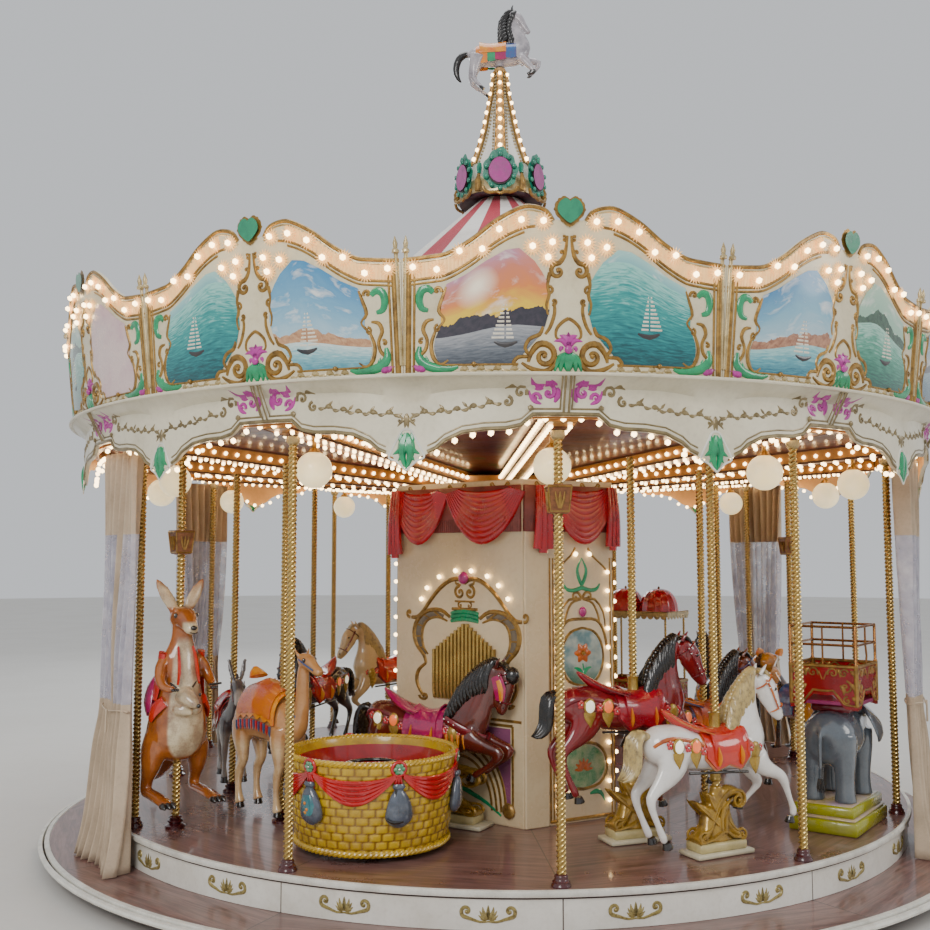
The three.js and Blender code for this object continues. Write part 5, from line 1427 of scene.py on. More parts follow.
COLLAR = [(0.062, 0.4003), (0.062, 0.412), (0.054, 0.42), (0.056, 0.432), (0.046, 0.44), (0.04, 0.452), (0.044, 0.462),
          (0.034, 0.475)]
SPOOL = [(0.075, 0.4003), (0.075, 0.418), (0.062, 0.425), (0.045, 0.435), (0.058, 0.448), (0.058, 0.456), (0.04, 0.466),
         (0.052, 0.478), (0.034, 0.49)]


def lantern_box(form, place, turn, low, high, tones=(2, 3)):
    """A tapered four-sided lantern box round a pole, with a raised leaf on each side."""
    h = high - low
    part = bmesh.new()
    limb(part, [[0, -0.001, 0.0, 0.079, 0.079], [0, -0.001, h * 0.12, 0.0815, 0.0815], [0, -0.001, h * 0.9, 0.1, 0.1],
                [0, -0.001, h, 0.104, 0.104]], 4, tones[0])
    turn_by(part, math.pi / 4)
    for side in range(4):
        face = bmesh.new()
        for z, w in ((0.012, 0.058), (h - 0.012, 0.074)):
            limb(face, [[-w, -w - 0.001, z, 0.006, 0.006], [w, -w - 0.001, z, 0.006, 0.006]], 6, tones[1], (0, 0, 1))
        for x in (-1, 1):
            limb(face, [[x * 0.058, -0.058, 0.01, 0.005, 0.005], [x * 0.074, -0.074, h - 0.01, 0.005, 0.005]], 6,
                 tones[1])
        for tip, w in ((-0.03, 0.01), (0, 0.013), (0.03, 0.01)):
            limb(face, [[tip * 0.2, -0.062, 0.03, w * 0.5, 0.006], [tip * 0.8, -0.068, 0.09, w, 0.008],
                        [tip, -0.073, 0.135, w * 0.3, 0.005]], 6, tones[1], (1, 0, 0))
        turn_by(face, side * math.pi / 2)
        add(part, face)
    turn_by(part, turn)
    bmesh.ops.translate(part, vec=(place[0], place[1], low), verts=part.verts)
    add(form, part)


for k in range(12):
    angle = 6.1 + 30 * k
    place = polar(angle, 3.4)
    pole = bmesh.new()
    turned_piece(pole, place, COLLAR, 20, 4)
    twisted_pole(pole, place, 0.47, 3.204)
    turned_piece(pole, place, [(0.034, 3.15), (0.046, 3.17), (0.046, 3.204)], 20, 1)
    if k == 0:
        lantern_box(pole, place, math.radians(angle), 2.68, 2.86)
    settle(f"brass_pole_{k + 1}", pole, [brass, pale_gold, copper_box, old_gold, boss_maroon], "rotor", 60,
           replaces=[f"outer_pole_{k + 1}"])

# ---- Curtains ----
# Four weather curtains are gathered beside the outer poles: beige canvas above and below, with a clear band
# between them and a canvas strap down it. A cord ties each just under the band.
curtain_beige = finish("curtain_beige", 0xC9B59C, 0x9E8A74, gloss=0.8, scale=4, amount=0.5, bump=0.35)
tree = curtain_beige.node_tree
at = node(tree, "SeparateXYZ", {"Vector": node(tree, "TexCoord").outputs["Object"]}).outputs
threads = sums(tree, "SINE", sums(tree, "MULTIPLY", at[2], 2600.0))
tree.links.new(sums(tree, "ADD", sums(tree, "MULTIPLY", threads, 0.12), tree.nodes["worn"].outputs["Height"]),
               tree.nodes["relief"].inputs["Height"])
clear_band = finish("clear_band", 0xC9C6D2, 0xE9E6EC, gloss=0.12, coat=0.8, scale=9, amount=0.8, bump=0.6)
haze = node(clear_band.node_tree, "TexNoise", {"Vector": node(clear_band.node_tree, "TexCoord").outputs["Object"],
                                               "Scale": 7.0, "Detail": 4.0})
fog = node(clear_band.node_tree, "MapRange", {"Value": haze.outputs["Fac"], "From Min": 0.3, "From Max": 0.7,
                                              "To Min": 0.28, "To Max": 0.62})
clear_band.node_tree.links.new(fog.outputs[0], clear_band.node_tree.nodes["Principled BSDF"].inputs["Alpha"])

CURTAIN = [(0.165, 3.635, 0.11, 0.41), (0.48, 3.6, 0.08, 0.37), (1.0, 3.575, 0.074, 0.31), (1.28, 3.56, 0.062, 0.27),
           (1.7, 3.558, 0.072, 0.3), (2.3, 3.55, 0.076, 0.345), (2.7, 3.547, 0.078, 0.365), (3.2, 3.547, 0.078, 0.385)]


def curtain_form(phase):
    form = bmesh.new()
    bmesh.ops.create_grid(form, x_segments=190, y_segments=44, size=0.5)
    smooth = curve_through([list(row) for row in CURTAIN], 4)
    for vert in form.verts:
        t, s = vert.co.x + 0.5, vert.co.y + 0.5
        z = 0.165 + 3.03 * s
        for low, high in zip(smooth, smooth[1:]):
            if z <= high[0] + 1e-6:
                share = (z - low[0]) / (high[0] - low[0])
                middle, deep, wide = (low[i] + (high[i] - low[i]) * share for i in (1, 2, 3))
                break
        turn = math.tau * 8.5 * t + phase + 0.5 * math.sin(2.1 * z + 5 * t)
        swell = 0.72 + 0.28 * math.sin(7.3 * t + 1.7 * z + phase)
        across = wide * (2 * t - 1) + 0.018 * math.sin(turn + 1.2) * (0.4 + s * 0.2)
        vert.co = (across, -(middle + deep * math.sin(turn) * swell), z)
    for face in form.faces:
        centre = face.calc_center_median()
        column = face.verts[0].index % 191 / 190
        strap = 0.6 < column < 0.68
        face.material_index = 1 if 1.31 < centre.z < 2.59 and not strap else 0
    return form


for name, angle, phase in (("front_left", -53.9, 0.3), ("front_right", 66.1, 2.2), ("rear_right", 126.1, 4.1),
                           ("rear_left", -113.9, 5.0)):
    cloth = curtain_form(phase)
    turn_by(cloth, math.radians(angle))
    piece = settle(f"weather_{name}", cloth, [curtain_beige, clear_band], "rotor", 60,
                   replaces=[f"curtain_{name}"])
    thin = piece.modifiers.new("cloth_thickness", "SOLIDIFY")
    thin.thickness, thin.offset = 0.0015, 0.0
    tie = bmesh.new()
    loop = [[0.275 * math.cos(math.radians(a)), -3.56 - 0.07 * math.sin(math.radians(a)),
             1.285 + 0.008 * math.sin(math.radians(3 * a)), 0.006, 0.006] for a in range(0, 361, 15)]
    limb(tie, loop, 8, 0, (0, 0, 1))
    limb(tie, [[0.03, -3.64, 1.285, 0.012, 0.012], [0.04, -3.645, 1.24, 0.007, 0.007],
               [0.035, -3.645, 1.12, 0.008, 0.008]], 8, 0)
    turn_by(tie, math.radians(angle))
    tie_piece = settle(f"tie_{name}", tie, [curtain_beige], "rotor")


# ---- Figures ----
# The animals are hollow glass-fibre mouldings under many coats of gloss. Each is carved here as limbs that are run
# together into one skin and smoothed, then dressed with its mane, saddle and harness, and set on its brass pole.
def chain(form, rows, sides=14, tone=0, between=2, both=False):
    """A limb from rows in millimetres: x, y, z, half width, half depth. `both` makes its mirror twin too."""
    for side in (1, -1) if both else (1,):
        part = bmesh.new()
        limb(part, [[r[0] * 0.001, side * r[1] * 0.001, r[2] * 0.001, r[3] * 0.001, r[-1] * 0.001] for r in rows],
             sides, tone, (0, 1, 0), between)
        add(form, part)


def carved(form, grain=0.012, passes=6, pale=None):
    """Runs the limbs of a form together into one smooth skin; `pale` says where a coat turns to its lighter colour."""
    mesh = bpy.data.meshes.new("rough")
    form.to_mesh(mesh)
    form.free()
    rough = bpy.data.objects.new("rough", mesh)
    scene.collection.objects.link(rough)
    skin = rough.modifiers.new("skin", "REMESH")
    skin.mode, skin.voxel_size = "VOXEL", grain
    even = rough.modifiers.new("even", "SMOOTH")
    even.factor, even.iterations = 0.6, passes
    done = bpy.data.meshes.new_from_object(rough.evaluated_get(bpy.context.evaluated_depsgraph_get()))
    bpy.data.objects.remove(rough)
    figure = bmesh.new()
    figure.from_mesh(done)
    layer = figure.verts.layers.float.new("pale")
    for vert in figure.verts:
        vert[layer] = pale(*(vert.co * 1000)) if pale else 0.0
    return figure


def set_down(form, angle, ring, lift, turn=None, scale=1.0):
    """Moves a figure that faces +X, its floor at zero, to its place on the platform."""
    x, y = polar(angle, ring)
    bmesh.ops.scale(form, vec=(scale, scale, scale), verts=form.verts)
    turn_by(form, math.radians(angle if turn is None else turn))
    bmesh.ops.translate(form, vec=(x, y, 0.4 + lift), verts=form.verts)


def stand(form, angle, ring, low, high, turn=None, pole_x=0.0, tones=(8, 9)):
    """The turned boss and brass pole of a fixed figure, left out between two heights over the platform."""
    x, y = polar(angle, ring)
    way = math.radians(angle if turn is None else turn)
    place = (x + pole_x * math.cos(way), y + pole_x * math.sin(way))
    for bottom, top in ((0.48, 0.4 + low), (0.4 + high, sweep_bottom(ring - 0.12) - 0.01)):
        twisted_pole(form, place, bottom, top, 0.029, tones[0])
    turned_piece(form, place, SPOOL, 20, tones[1])


def section_at(trunk, x):
    for a, b in zip(trunk, trunk[1:]):
        if x <= b[0]:
            t = max(0, (x - a[0]) / (b[0] - a[0]))
            return [a[i] + (b[i] - a[i]) * t for i in range(5)]
    return trunk[-1]


def skin_at(trunk, x, z, lift=3):
    row = section_at(trunk, x)
    up = min(0.97, abs(z - row[2]) / row[4])
    return (row[3] + lift) * math.sqrt(1 - up * up)


def draped(form, trunk, start, end, drop, lift, tone, rise=(0, 0), thick=0.008, flare=0.0):
    """A saddle or cloth over a back from x = start to end; drop(t) is how far it hangs below the widest line."""
    cloth = bmesh.new()
    bmesh.ops.create_grid(cloth, x_segments=22, y_segments=30, size=0.5)
    for vert in cloth.verts:
        t, side = vert.co.x + 0.5, vert.co.y * 2
        row = section_at(trunk, start + (end - start) * t)
        share = abs(side) * 1.6
        up = lift + (rise[0] * (1 - t) ** 4 + rise[1] * t ** 4) * max(0, 1 - share)
        around = math.pi / 2 * min(1, share)
        out, height = (row[3] + up) * math.sin(around), (row[4] + up) * math.cos(around)
        if share > 1:
            out, height = out + flare * (share - 1), -(share - 1) / 0.6 * drop(t)
        vert.co = ((start + (end - start) * t) * 0.001, math.copysign(out, side) * 0.001, (row[2] + height) * 0.001)
    bmesh.ops.recalc_face_normals(cloth, faces=cloth.faces)
    if sum(face.normal.z for face in cloth.faces) < 0:
        bmesh.ops.reverse_faces(cloth, faces=cloth.faces)
    bmesh.ops.solidify(cloth, geom=cloth.faces[:], thickness=thick)
    for face in cloth.faces:
        face.material_index = tone
    add(form, cloth)


def edged(t, rows):
    for (a, u), (b, v) in zip(rows, rows[1:]):
        if t <= b:
            return u + (v - u) * (t - a) / (b - a)
    return rows[-1][1]


def pendant(form, trunk, x, z, side, tones, size=1.0):
    """A round mirror or boss in a gilt frame on the coat, with a drop hanging under it."""
    y = side * skin_at(trunk, x, z) * 0.001
    bead(form, (x * 0.001, y, z * 0.001), 0.048 * size, 6, 2, (1, 0.3, 1.2))
    bead(form, (x * 0.001, y + side * 0.01, z * 0.001), 0.036 * size, tones, 2, (1, 0.24, 1.2))
    chain(form, [[x, y * 1000, z - 40 * size, 10, 46 * size], [x, y * 1010, z - 74 * size, 11, 42 * size],
                 [x + 3, y * 1000, z - 116 * size, 8, 19 * size], [x + 5, y * 990, z - 144 * size, 2, 3]], 8, 6, 2)


def flower(form, trunk, x, z, side, tone=4):
    y = side * skin_at(trunk, x, z, 6) * 0.001
    for k in range(5):
        bead(form, (x * 0.001 + 0.017 * math.cos(1.257 * k + 0.3), y, z * 0.001 + 0.019 * math.sin(1.257 * k + 0.3)),
             0.014, tone, 1, (1, 0.5, 1))
    bead(form, (x * 0.001, y + side * 0.006, z * 0.001), 0.008, 7, 1)


def lock(form, root, side, tone, swing, reach=(0, 60, 125, 185, 235), out=(18, 30, 46, 52, 50),
         back=(0, -26, -44, -34, -50)):
    """One lock of a mane, from the crest of a neck down its side."""
    x, z, wide = root
    rows = [[x + 16, side * 5, z + 6, 17, 20]]
    for k, (down, push, behind) in enumerate(zip(reach, out, back)):
        rows.append([x + behind + (swing if k % 2 else -swing * 0.6),
                     side * (wide * min(1, 0.35 + 0.3 * k) + push * 0.5), z - down, (24, 24, 21, 15, 4)[k],
                     (28, 28, 25, 18, 6)[k]])
    chain(form, rows, 7, tone, 2)


def dress_horse(form, trunk, head, crest, tail, saddle, rail=True):
    """Tones: 1 mane, 2 saddle, 3 strap, 4 flower, 5 hoof, 6 gilt, 7 mirror, 10 flame."""
    points = curve_through([list(p) for p in crest], 3)
    for i, (x, z, wide) in enumerate(points):
        for side in (1, -1):
            lock(form, (x, z, wide), side, 1, 9 * math.sin(2.4 * i + side))
        bead(form, (x * 0.001 - 0.004, 0, z * 0.001 - 0.002), 0.03, 1, 2, (1.2, 1, 1.2))
    x, z = head[0][0], head[0][2]
    for y in (-20, 0, 20):
        chain(form, [[x - 20, y, z + 36, 18, 16], [x + 34, y, z + 46, 20, 16], [x + 78, y * 1.2, z + 2, 16, 12],
                     [x + 96, y * 0.8, z - 56, 4, 5]], 7, 1, 2)
    chain(form, [[x - 6, 30, z + 22, 17, 15], [x + 12, 44, z + 56, 15, 11], [x + 34, 50, z + 88, 3, 4]], 8, 0, 2, True)
    at = [Vector(row[:3]) * 0.001 for row in head]
    for side in (1, -1):
        bead(form, at[2] + Vector((0.03, side * head[2][3] * 0.00088, 0.014)), 0.015, 5, 2)
        bead(form, at[2] + Vector((0.03, side * head[2][3] * 0.00072, 0.016)), 0.022, 0, 2, (1.2, 1, 0.8))
        bead(form, at[5] + Vector((0.024, side * 0.026, 0.008)), 0.009, 5, 1)
        y = side * 56
        chain(form, [[head[1][0] - 8, y, head[1][2] + 20, 5, 9], [head[2][0], side * 61, head[2][2] - 10, 5, 9],
                     [head[4][0] - 6, side * 45, head[4][2], 5, 8]], 6, 3, 2)
        for k in range(6):
            t = k / 5
            bead(form, (at[1] * (1 - t) + at[4] * t) + Vector((-0.006 * (1 - t), side * (0.063 - 0.014 * t), 0)), 0.008,
                 7, 1)
    for row, ahead in ((head[1], head[2]), (head[4], head[5])):
        way = Vector((ahead[0] - row[0], 0, ahead[2] - row[2])).normalized()
        loop = [[row[0] * 0.001 - way.z * (row[4] + 4) * 0.001 * math.cos(math.radians(a)),
                 (row[3] + 4) * 0.001 * math.sin(math.radians(a)),
                 row[2] * 0.001 + way.x * (row[4] + 4) * 0.001 * math.cos(math.radians(a)), 0.005, 0.01]
                for a in range(0, 361, 15)]
        limb(form, loop, 6, 3, (way.x, 0, way.z))
    for k in range(9):
        y = (k - 4) * 9
        chain(form, [[px, y * grow, pz + 8 * math.sin(1.9 * k + 0.02 * px), 19 * thin, 23 * thin]
                     for px, pz, grow, thin in tail], 7, 1, 2)
    lower = [(0, 32), (0.22, 104), (0.5, 68), (0.78, 106), (1, 32)]
    draped(form, trunk, saddle[0] - 14, saddle[1] + 14, lambda t: edged(t, lower) + 14, 5, 3)
    draped(form, trunk, saddle[0], saddle[1], lambda t: edged(t, lower), 12, 2, (10, 16), 0.01, 8)
    draped(form, trunk, saddle[0] + 60, saddle[1] - 60, lambda t: 34 + 26 * math.sin(math.pi * t), 20, 2, (34, 26),
           0.012)
    for x in (0.24, 0.76):
        x = saddle[0] + (saddle[1] - saddle[0]) * x
        row = section_at(trunk, x)
        for side in (1, -1):
            chain(form, [[x, side * (row[3] + 21), row[2] + 46, 4, 3], [x, side * (row[3] + 25), row[2] - 8, 30, 5],
                         [x, side * (row[3] + 26), row[2] - 52, 25, 5], [x, side * (row[3] + 26), row[2] - 84, 3, 3]],
                  8, 10, 2)
    row = section_at(trunk, saddle[0])
    top, tip = row[2] + row[4] + 6, saddle[0] - 255
    chain(form, [[saddle[0] + 110, 0, top - 12, 118, 22], [saddle[0] + 20, 0, top - 4, 118, 28],
                 [saddle[0] - 70, 0, top + 22, 96, 32], [saddle[0] - 150, 0, top + 62, 64, 30],
                 [saddle[0] - 210, 0, top + 104, 38, 24], [tip, 0, top + 138, 12, 10]], 12, 2, 2)
    for side in (1, -1):
        chain(form, [[saddle[0] + 90, side * 118, top - 30, 6, 6], [saddle[0] + 20, side * 118, top - 8, 6, 6],
                     [saddle[0] - 70, side * 96, top + 22, 6, 6], [saddle[0] - 150, side * 64, top + 62, 6, 6],
                     [saddle[0] - 210, side * 38, top + 104, 6, 6], [tip, 0, top + 142, 6, 6]], 6, 3, 2)
        for xs, zs in (((saddle[0] - 10, saddle[0] - 120, saddle[0] - 260, saddle[0] - 340, saddle[0] - 380),
                        (50, 62, 58, 30, -20)), ((saddle[1] - 10, saddle[1] + 50, saddle[1] + 110), (60, 26, -16))):
            rows = [(x, section_at(trunk, x)[2] + z) for x, z in zip(xs, zs)]
            chain(form, [[x, side * skin_at(trunk, x, z, 4), z, 7, 15] for x, z in rows], 6, 3, 2)
        z = section_at(trunk, saddle[0] - 190)[2] + 18
        pendant(form, trunk, saddle[0] - 232, z, side, 13)
        pendant(form, trunk, saddle[0] - 88, z - 8, side, 14)
        pendant(form, trunk, saddle[1] + 66, section_at(trunk, saddle[1] + 66)[2] - 8, side, 6, 1.1)
        for x in (saddle[0] - 292, saddle[0] - 156, saddle[0] - 22, saddle[1] + 18, saddle[1] + 118):
            flower(form, trunk, x, section_at(trunk, x)[2] + 14, side)
        if rail:
            low = section_at(trunk, 0)
            chain(form, [[-300, side * 98, low[2] - 118, 9, 9], [-120, side * 98, low[2] - 128, 9, 9],
                         [205, side * 98, low[2] - 148, 9, 9]], 8, 5)


def hooves(form, feet):
    for x, y, z, lean in feet:
        chain(form, [[x - lean * 6, y, z + 28, 25, 26], [x, y, z + 12, 29, 32], [x + lean * 8, y, z - 10, 35, 39],
                     [x + lean * 9, y, z - 15, 31, 35]], 12, 5, 1)


TRUNK = [[-598, 0, 792, 22, 30], [-578, 0, 784, 66, 74], [-530, 0, 772, 112, 116], [-445, 0, 757, 139, 137],
         [-350, 0, 742, 143, 147], [-250, 0, 716, 142, 140], [-150, 0, 699, 141, 134], [-40, 0, 694, 142, 134],
         [80, 0, 694, 143, 142], [170, 0, 704, 139, 158], [240, 0, 735, 124, 178], [248, 0, 815, 108, 162],
         [244, 0, 890, 90, 142], [250, 0, 970, 74, 122], [268, 0, 1050, 60, 100], [298, 0, 1122, 50, 82],
         [338, 0, 1176, 42, 62], [362, 0, 1194, 24, 32]]
BACK = TRUNK[:10] + [[320, 0, 690, 96, 150], [400, 0, 660, 40, 110]]
HEAD = [[398, 0, 1166, 34, 44], [436, 0, 1130, 52, 78], [478, 0, 1068, 57, 88], [515, 0, 1003, 50, 68],
        [548, 0, 945, 41, 52], [573, 0, 900, 38, 46], [586, 0, 872, 32, 38], [592, 0, 855, 16, 20]]
JAW = [[430, 0, 1040, 36, 40], [478, 0, 970, 28, 30], [525, 0, 905, 24, 22], [550, 0, 874, 16, 14]]
HAUNCH = [[-400, 74, 725, 70, 118], [-424, 80, 640, 66, 118], [-482, 84, 562, 50, 84], [-560, 84, 492, 36, 50],
          [-606, 84, 440, 32, 40], [-598, 84, 368, 24, 29], [-556, 84, 268, 21, 24], [-514, 82, 182, 27, 30],
          [-498, 82, 146, 23, 25]]
REACH = [[300, -72, 640, 60, 92], [345, -80, 575, 50, 74], [420, -82, 532, 42, 54], [490, -82, 502, 37, 44],
         [528, -82, 468, 36, 40], [562, -82, 398, 25, 28], [600, -80, 300, 20, 23], [624, -80, 240, 27, 29],
         [608, -80, 205, 22, 24]]
FOLD = [[290, 72, 640, 60, 86], [330, 80, 560, 50, 66], [400, 82, 480, 39, 47], [452, 82, 428, 34, 39],
        [420, 82, 384, 24, 27], [350, 82, 332, 20, 22], [304, 82, 298, 26, 28], [286, 82, 284, 20, 22]]
CREST = [(108, 892, 62), (128, 975, 56), (170, 1055, 48), (222, 1122, 40), (282, 1180, 34), (336, 1212, 28)]
TAIL = [(-562, 806, 0.5, 0.9), (-622, 838, 1.0, 1.1), (-678, 800, 1.5, 1.2), (-688, 700, 1.9, 1.1),
        (-700, 622, 1.8, 0.95), (-752, 566, 1.4, 0.6), (-786, 560, 1.0, 0.15)]

form = bmesh.new()
for rows, sides, both in ((TRUNK, 18, False), (HEAD, 14, False), (JAW, 12, False), (HAUNCH, 12, True),
                          (REACH, 12, False), (FOLD, 12, False)):
    chain(form, rows, sides, both=both)
leaping = carved(form)
gear = bmesh.new()
dress_horse(gear, BACK, HEAD, CREST, TAIL, (-190, 182))
hooves(gear, [(590, -80, 176, -0.4), (270, 82, 270, -1), (-482, 82, 118, 0.7), (-482, -82, 118, 0.7)])
add(leaping, gear)

mane_black = finish("mane_black", 0x0E0B09, 0x241C18, gloss=0.2, coat=0.6, scale=30, amount=0.6, bump=0.3)
mane_blond = finish("mane_blond", 0xC2AA6E, 0x6E5A34, gloss=0.22, coat=0.6, scale=30, amount=0.9, bump=0.3)
hoof_dark = finish("hoof_dark", 0x1A1614, 0x3A322C, gloss=0.14, coat=0.8, scale=20, amount=0.4)
saddle_red = finish("saddle_red", 0xC92A12, 0xA8121C, gloss=0.13, coat=0.9, scale=6, amount=0.75)
saddle_wine = finish("saddle_wine", 0xA80E22, 0x6E0A1E, gloss=0.13, coat=0.9, scale=6, amount=0.7)
saddle_orange = finish("saddle_orange", 0xCE701C, 0xA83A4A, gloss=0.14, coat=0.9, scale=6, amount=0.8)
saddle_blue = finish("saddle_blue", 0x2E5E96, 0x7A2A56, gloss=0.14, coat=0.9, scale=7, amount=0.8)
saddle_pink = finish("saddle_pink", 0xB01458, 0x6A0E50, gloss=0.14, coat=0.9, scale=8, amount=0.7)
strap_red = finish("strap_red", 0x7E1420, 0x4A0E16, gloss=0.16, coat=0.8, scale=12, amount=0.6)
strap_orange = finish("strap_orange", 0xC66A24, 0x8E2E1A, gloss=0.16, coat=0.8, scale=12, amount=0.8)
strap_blue = finish("strap_blue", 0x3A5A80, 0x7A3A5E, gloss=0.16, coat=0.8, scale=12, amount=0.7)
petal_red = finish("petal_red", 0xC42A34, 0xD8583A, gloss=0.1, coat=1.0, scale=20, amount=0.5)
mirror_glass = finish("mirror_glass", 0xE2E0D8, 0xB8B6AC, gloss=0.05, metal=0.9, scale=20, amount=0.3)
gilt_paint = finish("gilt_paint", 0xB8963E, 0x6E5420, gloss=0.2, metal=0.4, coat=0.5, scale=24, amount=0.7, bump=0.2)
flame = finish("saddle_flame", 0xE0941E, 0xD04A12, gloss=0.12, coat=0.9, scale=14, amount=0.9)
lamp_white = finish("flank_lamp_white", 0xF2EBD2, 0xD8CCA8, gloss=0.08, coat=1.0, scale=30, amount=0.4, glow=0.9)
lamp_orange = finish("flank_lamp_orange", 0xF0703A, 0xC85A2E, gloss=0.08, coat=1.0, scale=30, amount=0.4, glow=0.7)


def coat(name, code, shade, pale=None, scale=5, amount=0.6, bump=0.03):
    """The gloss coat of an animal; where the mesh says so it turns to its pale colour."""
    surface = finish(f"coat_{name}", code, shade, gloss=0.12, coat=1.0, scale=scale, amount=amount, bump=bump)
    if pale:
        recolour(surface, lambda tree: blend_colour(tree, node(tree, "Attribute", attribute_name="pale").outputs["Fac"],
                                                    rgb(code), rgb(pale)))
    return surface


def horse_piece(name, shape, angle, ring, lift, skin, mane, saddle, strap, body="rotor", pole=True,
                turn=None, scale=1.0, more=None):
    horse = shape.copy()
    set_down(horse, angle, ring, lift, turn, scale)
    if pole:
        stand(horse, angle, ring, lift + 0.585 * scale, lift + 0.84 * scale, turn)
    if more:
        more(horse)
    return settle(f"carved_{name}", horse, [skin, mane, saddle, strap, petal_red, hoof_dark, gilt_paint, mirror_glass,
                                            brass, boss_maroon, flame, copper_box, old_gold, lamp_white, lamp_orange],
                  body, 50, replaces=[name])


def sleeves(lift, angle, ring):
    """Gilt sleeves ride on the fixed pole above and below a jumping horse."""
    def fit(form):
        for z, tall in ((0.4 + lift + 0.83, 0.115), (0.4 + lift + 0.49, 0.09)):
            turned_piece(form, polar(angle, ring), [(0.04, z), (0.044, z + 0.008), (0.038, z + 0.02),
                                                    (0.038, z + tall - 0.014), (0.044, z + tall)], 16, 6)
    return fit


horse_piece("maroon_horse", leaping, 22.5, 2.47, 0.21, coat("maroon", 0x86161C, 0x4A0C12), mane_black, saddle_wine,
            strap_red, "maroon_jumper", False, more=sleeves(0.21, 22.5, 2.47))
white = coat("white", 0xECE9E4, 0xCFC9C0)
horse_piece("white_horse", leaping, 29.2, 2.99, 0, white, mane_blond, saddle_red, strap_orange, "white_jumper",
            False, more=sleeves(0, 29.2, 2.99))
bay = coat("bay", 0x7A3416, 0x42200E)
horse_piece("cream_horse", leaping, -146, 2.25, 0.06, coat("cream", 0xDCC08E, 0xB8945E), mane_blond, saddle_red,
            strap_red)
horse_piece("bay_horse", leaping, 48, 2.15, 0.02, bay, mane_black, saddle_orange, strap_blue, turn=30)
horse_piece("grey_horse", leaping, 102, 2.15, 0.01, coat("dapple", 0x8A8E94, 0x5A6068, scale=9, amount=0.9), mane_black,
            saddle_blue, strap_blue)
horse_piece("black_horse", leaping, -112, 2.05, -0.02, coat("black", 0x24201E, 0x3A322E), mane_black, saddle_red,
            strap_red)
horse_piece("rear_pony", leaping, 178, 2.95, 0.06, bay, mane_blond, saddle_blue, strap_blue,
            scale=0.86)


def lamp_on(angle, ring, turn, pole_x=0.0):
    """Fits a lantern box round the pole of a fixed figure."""
    def fit(form):
        x, y = polar(angle, ring)
        way = math.radians(turn)
        lantern_box(form, (x + pole_x * math.cos(way), y + pole_x * math.sin(way)), way, 2.43, 2.61, (11, 12))
    return fit


horse_piece("left_pony", leaping, -88, 3.0, 0.04, white, mane_black, saddle_orange, strap_blue, scale=0.86,
            more=lamp_on(-88, 3.0, -88))

# The horse by the organ bows its neck under a thick black mane and stands on a scroll base without a pole.
BOW = [[-572, 0, 792, 22, 28], [-550, 0, 784, 62, 70], [-500, 0, 774, 106, 112], [-425, 0, 762, 128, 134],
       [-330, 0, 742, 133, 142], [-240, 0, 712, 132, 136], [-140, 0, 696, 132, 131], [-20, 0, 692, 132, 134],
       [90, 0, 690, 133, 144], [200, 0, 698, 130, 165], [290, 0, 722, 118, 184], [350, 0, 805, 104, 172],
       [395, 0, 890, 90, 156], [435, 0, 970, 76, 134], [478, 0, 1050, 62, 112], [525, 0, 1115, 50, 92],
       [572, 0, 1160, 42, 70], [600, 0, 1176, 22, 34]]
BOW_HEAD = [[600, 0, 1172, 34, 48], [640, 0, 1135, 50, 76], [655, 0, 1070, 55, 84], [650, 0, 1000, 48, 66],
            [640, 0, 940, 40, 52], [628, 0, 890, 37, 46], [618, 0, 858, 31, 38], [612, 0, 842, 15, 18]]
BOW_BACK = BOW[:10] + [[400, 0, 690, 92, 150], [480, 0, 660, 40, 110]]
form = bmesh.new()
for rows, sides, both in ((BOW, 18, False), (BOW_HEAD, 14, False),
                          ([[600, 0, 1050, 36, 40], [590, 0, 970, 28, 32], [592, 0, 900, 24, 24],
                            [598, 0, 866, 16, 14]], 12, False), ([[r[0] + 12, *r[1:]] for r in HAUNCH], 12, True),
                          ([[370, 72, 680, 56, 92], [420, 80, 640, 52, 84], [520, 82, 612, 42, 58],
                            [600, 82, 592, 38, 48], [648, 82, 570, 37, 44], [610, 82, 515, 26, 30],
                            [520, 82, 450, 21, 24], [450, 82, 404, 27, 29], [430, 82, 388, 22, 24]], 12, True)):
    chain(form, rows, sides, both=both)
bowed = carved(form)
gear = bmesh.new()
dress_horse(gear, BOW_BACK, BOW_HEAD, [(235, 905, 84), (278, 1000, 72), (340, 1085, 60), (415, 1155, 50),
                                       (490, 1205, 42), (560, 1232, 34)],
            [(-542, 800, 0.5, 0.9), (-596, 826, 1.0, 1.1), (-638, 780, 1.5, 1.2), (-650, 680, 1.9, 1.1),
             (-652, 570, 1.8, 0.95), (-640, 470, 1.2, 0.15)], (-160, 195), False)
hooves(gear, [(412, 82, 372, -0.9), (412, -82, 372, -0.9), (-470, 82, 118, 0.7), (-470, -82, 118, 0.7)])
bead(gear, (0.712, 0, 1.13), 0.066, 1, 3, (0.9, 0.8, 1.05))
